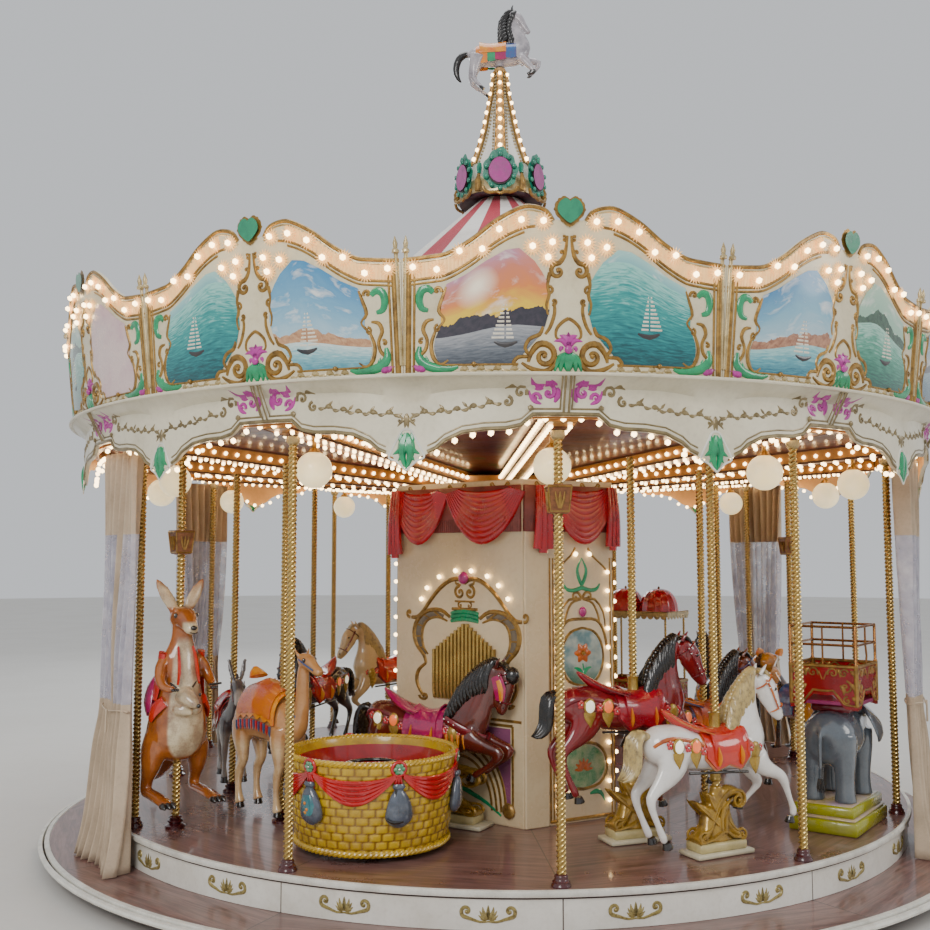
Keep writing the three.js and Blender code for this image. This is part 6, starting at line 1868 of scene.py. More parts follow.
for side in (1, -1):
    chain(gear, [[606, side * 58, 1130, 5, 42], [640, side * 62, 1040, 5, 52], [636, side * 50, 950, 5, 34]], 8, 2, 2)
    chain(gear, [[626, side * 64, 1100, 4, 18], [652, side * 66, 1030, 4, 22], [646, side * 56, 950, 4, 14]], 8, 10, 2)
    chain(gear, [[210, side * 131, 800, 10, 26], [330, side * 128, 740, 10, 30], [430, side * 92, 690, 10, 32],
                 [500, side * 30, 660, 10, 32]], 8, 3, 2)
    for k in range(5):
        chain(gear, [[230 + 44 * k, side * (140 - 9 * k), 690, 12, 14],
                     [234 + 44 * k, side * (142 - 9 * k), 640, 15, 10],
                     [236 + 44 * k, side * (140 - 9 * k), 585, 3, 3]], 7, 10, 2)
    for k in range(8):
        t = k / 7
        bead(gear, ((0.21 + 0.28 * t), side * (0.145 - 0.09 * t * t), 0.8 - 0.14 * t), 0.009, 7, 1)
add(bowed, gear)
horse_piece("brown_horse", bowed, -17.3, 1.853, 0, coat("chestnut", 0x6A2418, 0x34120C, scale=4, amount=0.8),
            mane_black, saddle_pink, strap_red, pole=False, turn=-28)


# ---- Kangaroo, camel, donkey and tiger ----
# The other riding animals are moulded and painted in the same way. Bellies, muzzles and paws change colour over the
# form, and the tiger's stripes are laid over its orange coat.
def eyes(form, x, y, z, size=0.017):
    for side in (1, -1):
        bead(form, (x, side * y, z), size, 5, 2, (1, 0.7, 1))
        bead(form, (x + size * 0.45, side * (y + size * 0.55), z + size * 0.35), size * 0.28, 7, 1)


def toes(form, x, y, z, size, count=3, reach=0.03):
    for k in range(count):
        chain(form, [[x - 20, y + (k - (count - 1) / 2) * size * 1.15, z, size * 0.8, size * 0.75],
                     [x + 14, y + (k - (count - 1) / 2) * size * 1.2, z + 2, size * 0.8, size * 0.8],
                     [x + reach * 1000, y + (k - (count - 1) / 2) * size * 1.3, z - size * 0.4, size * 0.25,
                      size * 0.25]], 8, 5, 2)


def step(value, low, high):
    return max(0.0, min(1.0, (value - low) / (high - low)))


form = bmesh.new()
for rows, sides, both in (([[-50, 0, 320, 90, 80], [-35, 0, 370, 175, 150], [-15, 0, 470, 226, 200],
                            [5, 0, 620, 214, 202], [20, 0, 760, 180, 172], [35, 0, 880, 152, 142],
                            [42, 0, 980, 146, 118], [45, 0, 1080, 138, 95], [48, 0, 1160, 100, 80],
                            [52, 0, 1230, 80, 72], [54, 0, 1290, 78, 70]], 20, False),
                          ([[-10, 0, 1300, 66, 66], [40, 0, 1352, 98, 92], [90, 0, 1362, 96, 88],
                            [130, 0, 1345, 84, 74], [180, 0, 1310, 62, 56], [225, 0, 1285, 54, 46],
                            [255, 0, 1272, 34, 30]], 18, False),
                          ([[20, 48, 1400, 32, 22], [14, 84, 1480, 50, 18], [4, 132, 1560, 50, 14],
                            [-4, 172, 1625, 30, 10], [-8, 192, 1655, 8, 6]], 12, True),
                          ([[40, 118, 1070, 48, 56], [70, 168, 1000, 46, 50], [110, 188, 930, 40, 42],
                            [170, 192, 880, 34, 34], [240, 176, 862, 30, 28], [285, 158, 862, 26, 26]], 12, True),
                          ([[-30, 130, 500, 96, 130], [-30, 168, 380, 92, 120], [-50, 182, 270, 70, 90],
                            [-85, 188, 180, 48, 56], [-110, 188, 110, 44, 44], [-90, 188, 76, 46, 40],
                            [0, 186, 72, 50, 36], [120, 188, 66, 54, 36], [230, 190, 56, 56, 30],
                            [300, 192, 46, 50, 24]], 14, True),
                          ([[-120, 0, 430, 120, 110], [-220, 0, 300, 96, 96], [-330, 0, 200, 70, 72],
                            [-450, 0, 130, 46, 48], [-560, 0, 92, 28, 28], [-620, 0, 84, 12, 12]], 14, False),
                          ([[120, -10, 770, 60, 60], [200, -30, 795, 72, 66], [262, -20, 775, 60, 54],
                            [312, 0, 745, 38, 34], [340, 8, 730, 20, 18]], 14, False),
                          ([[170, 95, 700, 26, 40], [212, 60, 690, 26, 34], [230, 0, 684, 26, 34],
                            [212, -60, 690, 26, 34], [170, -95, 700, 26, 40]], 10, False)):
    chain(form, rows, sides, both=both)


def pale_fur(x, y, z):
    """Where the kangaroo is pale: on its belly, on its muzzle and in its ears."""
    belly = step(x - abs(y) * 0.55, 60, 84) * step(z, 330, 360) * step(1200, z - 30, z + 30) * step(abs(y), 150, 135)
    muzzle = step(x, 176, 200) * step(z, 1180, 1200) * step(1345, z, z + 20)
    ears = step(z, 1430, 1450) * step(x, -2, 12) * 0.8
    return max(belly, muzzle, ears)


roo = carved(form, 0.011, 5, pale_fur)
gear = bmesh.new()
eyes(gear, 0.118, 0.081, 1.382, 0.021)
bead(gear, (0.262, 0, 1.296), 0.024, 5, 2, (0.8, 1.1, 0.8))
chain(gear, [[262, 30, 1262, 4, 4], [276, 0, 1256, 5, 5], [262, -30, 1262, 4, 4]], 6, 5)
eyes(gear, 0.262, 0.058, 0.806, 0.014)
bead(gear, (0.352, 0.008, 0.738), 0.016, 5, 2)
for side in (1, -1):
    chain(gear, [[160, side * 62 - 24, 850, 10, 26], [150, side * 88 - 24, 880, 8, 20],
                 [146, side * 104 - 24, 896, 3, 6]], 8, 5, 2)
    toes(gear, 310, side * 192, 44, 30, 3, 0.045)
    toes(gear, 300, side * 152, 856, 14, 3, 0.02)
    chain(gear, [[118, side * 58, 1150, 7, 18], [158, side * 66, 1060, 8, 30], [180, side * 72, 960, 8, 34],
                 [186, side * 84, 880, 6, 16]], 8, 3, 2)
    chain(gear, [[60, side * 150, 1110, 30, 40], [30, side * 158, 1000, 18, 60], [20, side * 172, 880, 12, 60],
                 [10, side * 190, 760, 8, 40]], 10, 3, 2)
    chain(gear, [[-60, side * 110, 900, 60, 60], [-100, side * 150, 820, 54, 70], [-80, side * 196, 740, 30, 70],
                 [-30, side * 212, 660, 14, 40]], 12, 2, 2)
    chain(gear, [[110, side * 150, 760, 30, 50], [60, side * 205, 700, 20, 60], [20, side * 222, 620, 10, 36]], 10, 3,
          2)
chain(gear, [[-120, 0, 640, 150, 40], [-170, 0, 760, 170, 50], [-150, 0, 880, 150, 44], [-120, 0, 980, 90, 30]], 14, 2,
      2)
chain(gear, [[285, 120, 880, 8, 8], [300, 210, 884, 8, 8]], 8, 5, 1)
add(roo, gear)
skin_roo = coat("kangaroo", 0xA85E22, 0x6E3412, pale=0xD8C8A4, scale=7, amount=0.8)


def fit_kangaroo(form):
    stand(form, -50.3, 3.165, 0.19 + 0.36, 0.19 + 1.36)
    lantern_box(form, polar(-50.3, 3.165), math.radians(-50.3), 2.43, 2.61, (11, 12))


horse_piece("kangaroo", roo, -50.3, 3.165, 0.19, skin_roo, saddle_wine, saddle_pink, saddle_red,
            pole=False, more=fit_kangaroo)


def four_legged(trunk, head, legs, more=(), grain=0.012, pale=None):
    form = bmesh.new()
    chain(form, trunk, 18)
    chain(form, head, 14)
    for rows in legs:
        chain(form, rows, 12, both=True)
    for rows in more:
        chain(form, rows, 12, both=rows[1][1] != 0)
    return carved(form, grain, 5, pale)


def leg(x, spread, top, thick, low=40, bend=0.0):
    return [[x, spread * 0.9, top + 60, thick * 1.2, thick * 1.6], [x, spread, top - 60, thick * 1.05, thick * 1.4],
            [x + bend * 30, spread, top * 0.62, thick * 0.66, thick * 0.8],
            [x - bend * 14, spread, top * 0.5, thick * 0.6, thick * 0.7],
            [x - bend * 30, spread, top * 0.3, thick * 0.42, thick * 0.48],
            [x - bend * 20, spread, low + 60, thick * 0.5, thick * 0.55], [x, spread, low, thick * 0.7, thick * 0.8]]


CAMEL = [[-560, 0, 640, 40, 50], [-530, 0, 645, 74, 84], [-465, 0, 665, 130, 150], [-330, 0, 695, 140, 172],
         [-170, 0, 712, 145, 190], [-40, 0, 695, 138, 182], [60, 0, 665, 122, 160], [140, 0, 672, 96, 126],
         [190, 0, 705, 74, 96], [220, 0, 780, 58, 74], [236, 0, 870, 50, 62], [240, 0, 980, 44, 55],
         [246, 0, 1080, 42, 52], [262, 0, 1140, 36, 46]]
camel = four_legged(CAMEL, [[220, 0, 1160, 40, 44], [260, 0, 1172, 54, 60], [320, 0, 1160, 52, 58],
                            [380, 0, 1122, 42, 44], [430, 0, 1098, 40, 38], [462, 0, 1084, 28, 28]],
                    [leg(-430, 85, 600, 62, 30, 1), leg(60, 85, 600, 58, 30, 0.6)],
                    [[[-150, 0, 850, 100, 165], [-150, 0, 930, 82, 130], [-152, 0, 985, 50, 80],
                      [-152, 0, 1010, 20, 30]], [[240, 40, 1200, 14, 12], [232, 58, 1236, 16, 9],
                                                 [226, 66, 1262, 6, 4]]],
                    pale=lambda x, y, z: step(560 + x * 0.06, z - 40, z + 60))
gear = bmesh.new()
eyes(gear, 0.318, 0.052, 1.178)
hooves(gear, [(x, s * 85, 14, 0) for x in (-430, 60) for s in (1, -1)])
CAMEL_BACK = [[r[0], 0, r[2] + 60, r[3], r[4] + (r[0] == -170) * 20] for r in CAMEL[:8]]
draped(gear, CAMEL_BACK, -400, 70, lambda t: 40 + 14 * math.sin(34 * t), 22, 10)
draped(gear, CAMEL_BACK, -370, 40, lambda t: 10 + 6 * math.sin(30 * t), 32, 2, (10, 10))
chain(gear, [[-330, 0, 1010, 90, 30], [-360, 0, 1050, 60, 24], [-380, 0, 1080, 20, 10]], 10, 10, 2)
for k in range(15):
    x = -385 + 30 * k
    for side in (1, -1):
        row = section_at(CAMEL_BACK, x)
        chain(gear, [[x, side * (row[3] + 24), row[2] - 60, 12, 8], [x, side * (row[3] + 24), row[2] - 110, 10, 8],
                     [x, side * (row[3] + 22), row[2] - 138, 2, 2]], 6, 4 if k % 2 else 3, 1)
for side in (1, -1):
    chain(gear, [[250, side * 50, 1180, 4, 8], [330, side * 56, 1150, 4, 8], [420, side * 44, 1110, 4, 8]], 6, 3, 2)
    chain(gear, [[180, side * 88, 830, 8, 14], [215, side * 66, 760, 8, 14], [262, 0, 700, 8, 14]], 6, 3, 2)
for k in range(5):
    chain(gear, [[-560, (k - 2) * 8, 680, 12, 12], [-590, (k - 2) * 9, 560, 12, 12], [-580, (k - 2) * 6, 440, 5, 5]], 6,
          1, 2)
add(camel, gear)
horse_piece("camel", camel, -42.5, 2.48, 0.06, coat("camel", 0xC08A52, 0x9A6234, pale=0xD8B888, scale=6), mane_blond,
            saddle_orange, strap_blue, pole=False,
            more=lambda form: stand(form, -42.5, 2.48, 0.56, 0.06 + 0.85))

DONKEY = [[-310, 0, 520, 34, 40], [-290, 0, 524, 74, 84], [-225, 0, 530, 128, 138], [-100, 0, 524, 138, 146],
          [20, 0, 522, 138, 148], [120, 0, 540, 124, 140], [190, 0, 568, 104, 128], [240, 0, 630, 76, 104],
          [290, 0, 710, 56, 80], [330, 0, 780, 46, 62], [350, 0, 820, 34, 46]]
donkey = four_legged(DONKEY, [[310, 0, 830, 40, 44], [360, 0, 822, 56, 62], [420, 0, 770, 50, 56],
                              [475, 0, 716, 42, 44], [505, 0, 690, 40, 38], [520, 0, 672, 26, 24]],
                     [leg(-215, 80, 480, 54, 34, 0.8), leg(175, 80, 480, 48, 34, 0.5)],
                     [[[320, 34, 870, 18, 16], [296, 52, 950, 26, 10], [276, 66, 1020, 20, 8], [268, 70, 1046, 6, 4]]],
                     pale=lambda x, y, z: max(step(x, 455, 480) * step(z, 560, 600),
                                              step(440 - abs(x) * 0.1, z - 20, z + 30) * step(160, abs(y), abs(y) + 1)
                                              * 0.6))
gear = bmesh.new()
eyes(gear, 0.392, 0.052, 0.812)
hooves(gear, [(x, s * 80, 14, 0) for x in (-215, 175) for s in (1, -1)])
draped(gear, DONKEY, -190, 150, lambda t: 70 + 36 * math.cos(8.5 * (t - 0.5)), 8, 4)
draped(gear, DONKEY, -176, 136, lambda t: 56 + 36 * math.cos(8.5 * (t - 0.5)), 16, 2, (50, 30), 0.01, 8)
for side in (1, -1):
    chain(gear, [[-150, side * 122, 592, 5, 6], [-120, side * 158, 470, 5, 6], [0, side * 164, 404, 5, 6],
                 [110, side * 154, 470, 5, 6], [124, side * 118, 600, 5, 6]], 6, 7, 3)
    chain(gear, [[340, side * 56, 850, 4, 8], [420, side * 54, 790, 4, 8], [490, side * 46, 706, 4, 8]], 6, 3, 2)
for k in range(9):
    x, z = 230 + 14 * k, 690 + 23 * k
    chain(gear, [[x + 20, 0, z - 20, 16, 16], [x - 20, 0, z + 22, 12, 14], [x - 34, 0, z + 40, 3, 3]], 6, 1, 2)
chain(gear, [[-305, 0, 560, 14, 14], [-345, 0, 480, 12, 12], [-352, 0, 380, 16, 16], [-346, 0, 310, 4, 4]], 8, 1, 2)
add(donkey, gear)
horse_piece("donkey", donkey, -71, 2.45, 0.12, coat("donkey", 0x5E5A5C, 0x3C383A, pale=0xBFB8AE, scale=7), mane_black,
            saddle_wine, strap_red, pole=False,
            more=lambda form: stand(form, -71, 2.45, 0.12 + 0.4, 0.12 + 0.665))

TIGER = [[-440, 0, 462, 50, 50], [-420, 0, 466, 90, 96], [-345, 0, 478, 126, 132], [-200, 0, 472, 130, 130],
         [-60, 0, 470, 134, 134], [60, 0, 474, 136, 142], [170, 0, 490, 134, 150], [250, 10, 530, 126, 146],
         [310, 36, 610, 114, 126], [336, 80, 710, 106, 112], [334, 110, 790, 94, 96]]
tiger = four_legged(TIGER, [[280, 70, 850, 84, 84], [318, 120, 872, 116, 112], [345, 175, 862, 118, 112],
                            [372, 226, 836, 88, 82], [398, 272, 812, 62, 54], [408, 292, 804, 40, 34]],
                    [leg(-310, 85, 440, 66, 36, 0.9), leg(240, 85, 460, 60, 36, 0.4)],
                    [[[-430, 0, 480, 40, 40], [-520, 0, 520, 34, 34], [-600, 0, 640, 30, 30], [-600, 0, 760, 30, 30],
                      [-560, 0, 830, 26, 26], [-545, 0, 850, 10, 10]]],
                    pale=lambda x, y, z: max(step(400, z - 10, z + 30) * step(z, 200, 260),
                                             step(x + y, 560, 620) * step(850, z, z + 20) * step(z, 600, 700)))
gear = bmesh.new()
for place, tip in (((262, 40, 950), (240, 20, 1010)), ((338, 204, 950), (330, 214, 1010))):
    chain(gear, [[*place, 44, 26], [(place[0] + tip[0]) / 2, (place[1] + tip[1]) / 2, 985, 46, 16], [*tip, 26, 8],
                 [tip[0], tip[1], 1022, 8, 4]], 12, 10, 2)
for x, y in ((0.408, 0.168), (0.352, 0.242)):
    bead(gear, (x, y, 0.89), 0.02, 5, 2)
bead(gear, (0.412, 0.292, 0.822), 0.026, 5, 2)
draped(gear, TIGER, -150, 130, lambda t: 60 + 20 * math.sin(3.1 * t), 12, 2, (70, 40), 0.012, 10)
draped(gear, TIGER, -165, 145, lambda t: 76 + 20 * math.sin(3.1 * t), 6, 3, (0, 0), 0.008, 6)
for x in (-310, 240):
    for side in (1, -1):
        toes(gear, x + 56, side * 85, 32, 22, 3, 0.022)
add(tiger, gear)
skin_tiger = coat("tiger", 0xC07A1C, 0xA05A12, pale=0xD8B24A, scale=8)


def stripes(tree):
    """Dark stripes round a body that faces along its own length, thinning out under it."""
    turned = node(tree, "Mapping", {"Vector": node(tree, "TexCoord").outputs["Object"],
                                    "Rotation": (0, 0, math.radians(-106)), "Scale": (1, 0.35, 0.5)})
    wave = node(tree, "TexWave", {"Vector": turned.outputs[0], "Scale": 4.6, "Distortion": 5.0, "Detail": 2.0,
                                  "Detail Scale": 1.6}, bands_direction="X")
    pale = node(tree, "Attribute", attribute_name="pale").outputs["Fac"]
    ground = blend_colour(tree, pale, rgb(0xC4801C), rgb(0xD8B860))
    return blend_colour(tree, ramp(tree, wave.outputs["Fac"],
                                   [(0.0, rgb(0x000000)), (0.62, rgb(0x000000)), (0.7, rgb(0xFFFFFF)),
                                    (1.0, rgb(0xFFFFFF))]), ground, rgb(0x16100C))


recolour(skin_tiger, stripes)


def fit_tiger(form):
    stand(form, 106, 3.06, 0.06 + 0.36, 0.06 + 0.6, None, 0.08)
    lamp_on(106, 3.06, 106, 0.08)(form)


horse_piece("tiger", tiger, 106, 3.06, 0.06, skin_tiger, mane_black, saddle_blue, strap_red,
            pole=False, more=fit_tiger)

# ---- Elephant and howdah ----
# A grey moulded elephant stands on a green plinth and carries a red howdah for small children: arched boards with
# gilt relief round a magenta lining, and two rows of brass rail.
ELEPHANT = [[-345, 0, 645, 80, 90], [-325, 0, 648, 120, 140], [-240, 0, 652, 192, 194], [-110, 0, 660, 204, 200],
            [10, 0, 664, 204, 200], [120, 0, 684, 182, 190], [210, 0, 712, 160, 178], [280, 0, 745, 146, 160],
            [345, 0, 770, 138, 150], [400, 0, 758, 118, 128], [440, 0, 728, 92, 100]]
elephant = four_legged(ELEPHANT, [[400, 0, 740, 70, 84], [440, 0, 660, 52, 60], [475, 0, 580, 46, 48],
                                  [496, 0, 490, 38, 40], [505, 0, 400, 34, 34], [522, 0, 345, 30, 28],
                                  [556, 0, 326, 26, 24], [572, 0, 332, 20, 18]],
                       [[[x, 115, 700, 95, 105], [x, 116, 560, 92, 98], [x, 116, 400, 74, 80], [x, 116, 290, 72, 78],
                         [x + 4, 116, 225, 80, 88], [x + 6, 116, 206, 84, 94], [x + 6, 116, 200, 80, 90]]
                        for x in (-210, 200)],
                       [[[246, 112, 870, 24, 60], [236, 176, 820, 20, 110], [226, 236, 740, 16, 132],
                         [220, 262, 650, 12, 96], [222, 252, 590, 8, 30]],
                        [[-340, 0, 760, 22, 22], [-392, 0, 700, 18, 18], [-408, 0, 560, 16, 16], [-404, 0, 420, 13, 13],
                         [-398, 0, 390, 12, 12]]], 0.014)
gear = bmesh.new()
eyes(gear, 0.385, 0.118, 0.8, 0.018)
for side in (1, -1):
    chain(gear, [[430, side * 74, 650, 16, 16], [480, side * 92, 590, 14, 14], [540, side * 84, 575, 10, 10],
                 [570, side * 78, 590, 3, 3]], 8, 7, 2)
    for x in (-210, 200):
        for k in range(3):
            bead(gear, ((x + 78) * 0.001, side * (0.078 + 0.04 * k), 0.214), 0.018, 7, 1, (0.7, 1, 1))
for k in range(5):
    chain(gear, [[-398, (k - 2) * 7, 392, 8, 8], [-402, (k - 2) * 12, 330, 8, 8], [-396, (k - 2) * 12, 290, 2, 2]], 6,
          1, 1)
chain(gear, [[300, 0, 905, 60, 8], [392, 0, 882, 70, 8], [446, 0, 800, 60, 8], [462, 0, 730, 20, 6]], 12, 2, 3)
bar(gear, (-0.4, -0.25, 0.001), (0.4, 0.25, 0.1), 0.01, 13)
bar(gear, (-0.385, -0.235, 0.098), (0.385, 0.235, 0.122), 0.01, 14)
bar(gear, (-0.37, -0.222, 0.12), (0.37, 0.222, 0.198), 0.012, 13)
bar(gear, (-0.345, -0.2, 0.192), (0.345, 0.2, 0.205), 0.005, 14)
bar(gear, (-0.15, -0.15, 0.84), (0.15, 0.15, 0.915), 0.02, 3)
add(elephant, gear)
plinth_green = finish("plinth_green", 0x98980E, 0x7E7A18, gloss=0.22, coat=0.6, scale=5, amount=0.8)
plinth_edge = finish("plinth_edge", 0xB8A46C, 0x9A86A0, gloss=0.25, coat=0.5, scale=6, amount=0.9)
set_down(elephant, 56, 3.08, 0)
settle("carved_elephant", elephant, [coat("elephant", 0x5C646C, 0x3E464E, scale=6, bump=0.3), mane_black, saddle_wine,
                                     strap_red, petal_red, hoof_dark, gilt_paint, mane_blond, brass, boss_maroon, flame,
                                     copper_box, old_gold, plinth_green, plinth_edge], "rotor", 50,
       replaces=["elephant"])

coach_red = finish("coach_red", 0xB8141C, 0x7E0C14, gloss=0.14, coat=0.9, scale=7, amount=0.5)
lining = finish("coach_lining", 0x8E1458, 0x5C0E3C, gloss=0.3, coat=0.4, scale=9, amount=0.6)
rail_brass = finish("rail_brass", 0x9A6A3A, 0x5E3A1E, gloss=0.22, metal=0.8, scale=20, amount=0.6)


def howdah_board(length, arch=True):
    """One board seen from outside: its lower edge arched, relief scrolls in its corners, gilt along its edges."""
    board = bmesh.new()
    bmesh.ops.create_grid(board, x_segments=28, y_segments=8, size=0.5)
    half = length / 2

    def low(x):
        t = abs(x) / half
        return 0.915 + (0.10 * (1 - step(t, 0.3, 0.62)) if arch else 0.0) - 0.004 * math.cos(6 * t)

    for vert in board.verts:
        x, s = vert.co.x * length, vert.co.y + 0.5
        vert.co = (x, 0.0, low(x) + (1.205 - low(x)) * s)
    bmesh.ops.solidify(board, geom=board.faces[:], thickness=0.026)
    for face in board.faces:
        face.material_index = 1 if face.calc_center_median().y > 0.0128 else 0
    stroke(board, [(x * half / 10, low(x * half / 10) + 0.006) for x in range(-10, 11)], [0.008] * 21, 2, between=1)
    stroke(board, [(-half, 1.2), (half, 1.2)], [0.012, 0.012], 2, between=1)
    mark = set(board.verts)
    if length > 0.3:
        scroll(board, (half * 0.3, 1.15), 0.04, 200, -1.3, 0.008, 2, tail=[(half * 0.02, 1.1), (half * 0.12, 1.16)])
        scroll(board, (half * 0.62, 1.15), 0.036, 20, 1.3, 0.008, 2)
        scroll(board, (half * 0.66, 1.05), 0.05, 80, -1.3, 0.009, 2)
        scroll(board, (half * 0.7, 0.955), 0.03, 80, 1.2, 0.008, 2)
        for x, z, u, w in ((0.42, 1.18, 0.5, 1.12), (0.5, 1.06, 0.6, 0.99), (0.8, 1.17, 0.93, 1.12),
                           (0.78, 1.08, 0.92, 1.0), (0.84, 0.98, 0.94, 0.94)):
            leaf(board, (half * x, z), (half * u, w), 0.016, 2, 0.2)
        new = [vert for vert in board.verts if vert not in mark]
        bmesh.ops.mirror(board, geom=new + edges_of(new) + faces_of(new), axis="X", matrix=Matrix.Identity(4),
                         merge_dist=0)
    return board


tub = bmesh.new()
bar(tub, (-0.29, -0.25, 0.916), (0.23, 0.25, 0.944), 0.004, 1)
for turn, length, middle in ((0, 0.52, (-0.03, -0.25, 0)), (180, 0.52, (-0.03, 0.25, 0)), (90, 0.5, (0.23, 0, 0)),
                             (-90, 0.5, (-0.29, 0, 0))):
    side = howdah_board(length)
    turn_by(side, math.radians(turn))
    bmesh.ops.translate(side, vec=middle, verts=side.verts)
    add(tub, side)
for x in (-0.282, 0.222):
    for y in (-0.242, 0.242):
        limb(tub, [[x, y, 0.918, 0.016, 0.016], [x, y, 1.21, 0.018, 0.018]], 10, 2)
        limb(tub, [[x, y, z, r, r] for z, r in ((1.21, 0.018), (1.225, 0.011), (1.488, 0.011), (1.499, 0.006))], 10, 3)
for y in (-0.242, 0.242):
    for z in (1.355, 1.488):
        limb(tub, [[-0.282, y, z, 0.0095, 0.0095], [0.222, y, z, 0.0095, 0.0095]], 8, 3)
    limb(tub, [[-0.03, y, 1.21, 0.008, 0.008], [-0.03, y * 1.03, 1.27, 0.008, 0.008], [-0.03, y, 1.355, 0.008, 0.008],
               [-0.03, y, 1.488, 0.007, 0.007]], 8, 3, between=2)
for x in (-0.282, 0.222):
    for z in (1.355, 1.488):
        limb(tub, [[x, -0.242, z, 0.0095, 0.0095], [x, 0.242, z, 0.0095, 0.0095]], 8, 3)
    limb(tub, [[x, 0, 1.21, 0.008, 0.008], [x, 0, 1.488, 0.007, 0.007]], 8, 3)
set_down(tub, 56, 3.08, 0)
settle("red_howdah", tub, [coach_red, lining, old_gold, rail_brass], "rotor", 40, replaces=["howdah"])

# ---- Carriage ----
# A roofed tub on runners at the back of the ride. Its panels are red with gilt scrolls, and two ribbed domes stand
# on a roof with a scalloped cream valance.
car = bmesh.new()
bar(car, (-0.42, -0.255, 0.122), (0.42, 0.255, 0.18), 0.01, 0)
for turn, length, middle in ((0, 0.86, (0, -0.26, -0.3)), (180, 0.86, (0, 0.26, -0.3)), (90, 0.52, (0.43, 0, -0.3)),
                             (-90, 0.52, (-0.43, 0, -0.3))):
    side = howdah_board(length, False)
    bmesh.ops.scale(side, vec=(1, 1, 1.52), verts=side.verts, space=Matrix.Translation((0, 0, -1.205)))
    bmesh.ops.translate(side, vec=(0, 0, -0.286), verts=side.verts)
    turn_by(side, math.radians(turn))
    bmesh.ops.translate(side, vec=(middle[0], middle[1], -0.3), verts=side.verts)
    add(car, side)
for y in (-0.19, 0.19):
    limb(car, [[-0.43, y, 0.1, 0.02, 0.02], [-0.38, y, 0.05, 0.024, 0.024], [-0.2, y, 0.03, 0.024, 0.024],
               [0.2, y, 0.03, 0.024, 0.024], [0.38, y, 0.05, 0.024, 0.024], [0.43, y, 0.1, 0.02, 0.02]], 8, 2,
         between=3)
    for x in (-0.28, 0.0, 0.28):
        limb(car, [[x, y, 0.03, 0.02, 0.02], [x, y, 0.13, 0.028, 0.028]], 8, 2)
for x in (-0.4, 0.4):
    for y in (-0.24, 0.24):
        twisted_pole(car, (x, y), 0.6, 1.335, 0.013, 4)
bar(car, (-0.44, -0.28, 1.345), (0.44, 0.28, 1.4), 0.012, 0)
for x in (-0.21, 0.21):
    dome = bmesh.new()
    for k in range(17):
        z, r = 1.4 + 0.25 * math.sin(math.pi / 2 * k / 16), 0.205 * math.cos(math.pi / 2 * k / 16) ** 0.8 + 0.004
        if k == 0:
            ring = bmesh.ops.create_circle(dome, cap_ends=False, segments=48, radius=1)["verts"]
            edges = dome.edges[:]
        else:
            grown = bmesh.ops.extrude_edge_only(dome, edges=edges)["geom"]
            ring = [g for g in grown if isinstance(g, bmesh.types.BMVert)]
            edges = [g for g in grown if isinstance(g, bmesh.types.BMEdge)]
        for vert in ring:
            a = math.atan2(vert.co.y, vert.co.x)
            vert.co = (r * (1 + 0.06 * abs(math.sin(8 * a))) * math.cos(a),
                       r * (1 + 0.06 * abs(math.sin(8 * a))) * math.sin(a), z)
    bmesh.ops.contextual_create(dome, geom=edges)
    turned_piece(dome, (0, 0), [(0.02, 1.645), (0.012, 1.655), (0.016, 1.664), (0.003, 1.676)], 10, 2)
    bmesh.ops.translate(dome, vec=(x, 0, 0), verts=dome.verts)
    add(car, dome)
for turn, length, off in ((0, 0.88, 0.282), (180, 0.88, 0.282), (90, 0.56, 0.442), (-90, 0.56, 0.442)):
    fringe = bmesh.new()
    count = round(length / 0.08)
    for k in range(count):
        x = (k + 0.5 - count / 2) * length / count
        bead(fringe, (x, -off, 1.352), length / count * 0.5, 5, 2, (1, 0.14, 1.0))
    bar(fringe, (-length / 2, -off - 0.006, 1.35), (length / 2, -off + 0.006, 1.392), 0.003, 5)
    limb(fringe, [[-length / 2, -off, 1.395, 0.0048, 0.006], [length / 2, -off, 1.395, 0.0048, 0.006]], 6, 2)
    turn_by(fringe, math.radians(turn))
    add(car, fringe)
set_down(car, 146, 2.9, 0)
settle("roofed_carriage", car, [coach_red, lining, old_gold, rail_brass, brass, pale_gold], "rotor", 40,
       replaces=["carriage"])

# ---- Basket ----
# A balloon basket that riders spin by the black wheel in its middle. Its wall is moulded as yellow wicker under a
# rope rim, with red swags between rosettes and a sandbag on each. It is red inside and turns on a low pivot.
wicker = finish("wicker_yellow", 0xC8A01A, 0x8A6410, gloss=0.2, coat=0.6, scale=9, amount=0.7, bump=0.3)
# The gaps between the moulded strands are coloured darker: painted shade in the weave.
recolour(wicker, lambda tree: blend_colour(tree, node(tree, "Attribute", attribute_name="groove").outputs["Fac"],
                                           rgb(0xC9A41E), rgb(0x75500E)))
tub_red = finish("tub_red", 0xA80E16, 0x6E0810, gloss=0.16, coat=0.8, scale=7, amount=0.5)
swag_red = finish("swag_red", 0xC4161A, 0x8E0E14, gloss=0.14, coat=0.9, scale=9, amount=0.6)
sand_grey = finish("sandbag_grey", 0x5A6270, 0x2A323C, gloss=0.14, coat=0.9, scale=14, amount=0.9)
sand_teal = finish("sandbag_teal", 0x2E7A80, 0x1C4A5C, gloss=0.14, coat=0.9, scale=16, amount=0.9)
rosette_green = finish("rosette_green", 0x2E8A5A, 0xA8C8A8, gloss=0.14, coat=0.9, scale=40, amount=0.9)
chrome_foot = finish("chrome_foot", 0xC8C4B8, 0x7A746A, gloss=0.12, metal=0.9, scale=20)
gloss_black = finish("gloss_black", 0x0E0E10, 0x26262A, gloss=0.1, coat=0.9, scale=12)
at_x, at_y = polar(-20.6, 2.6)
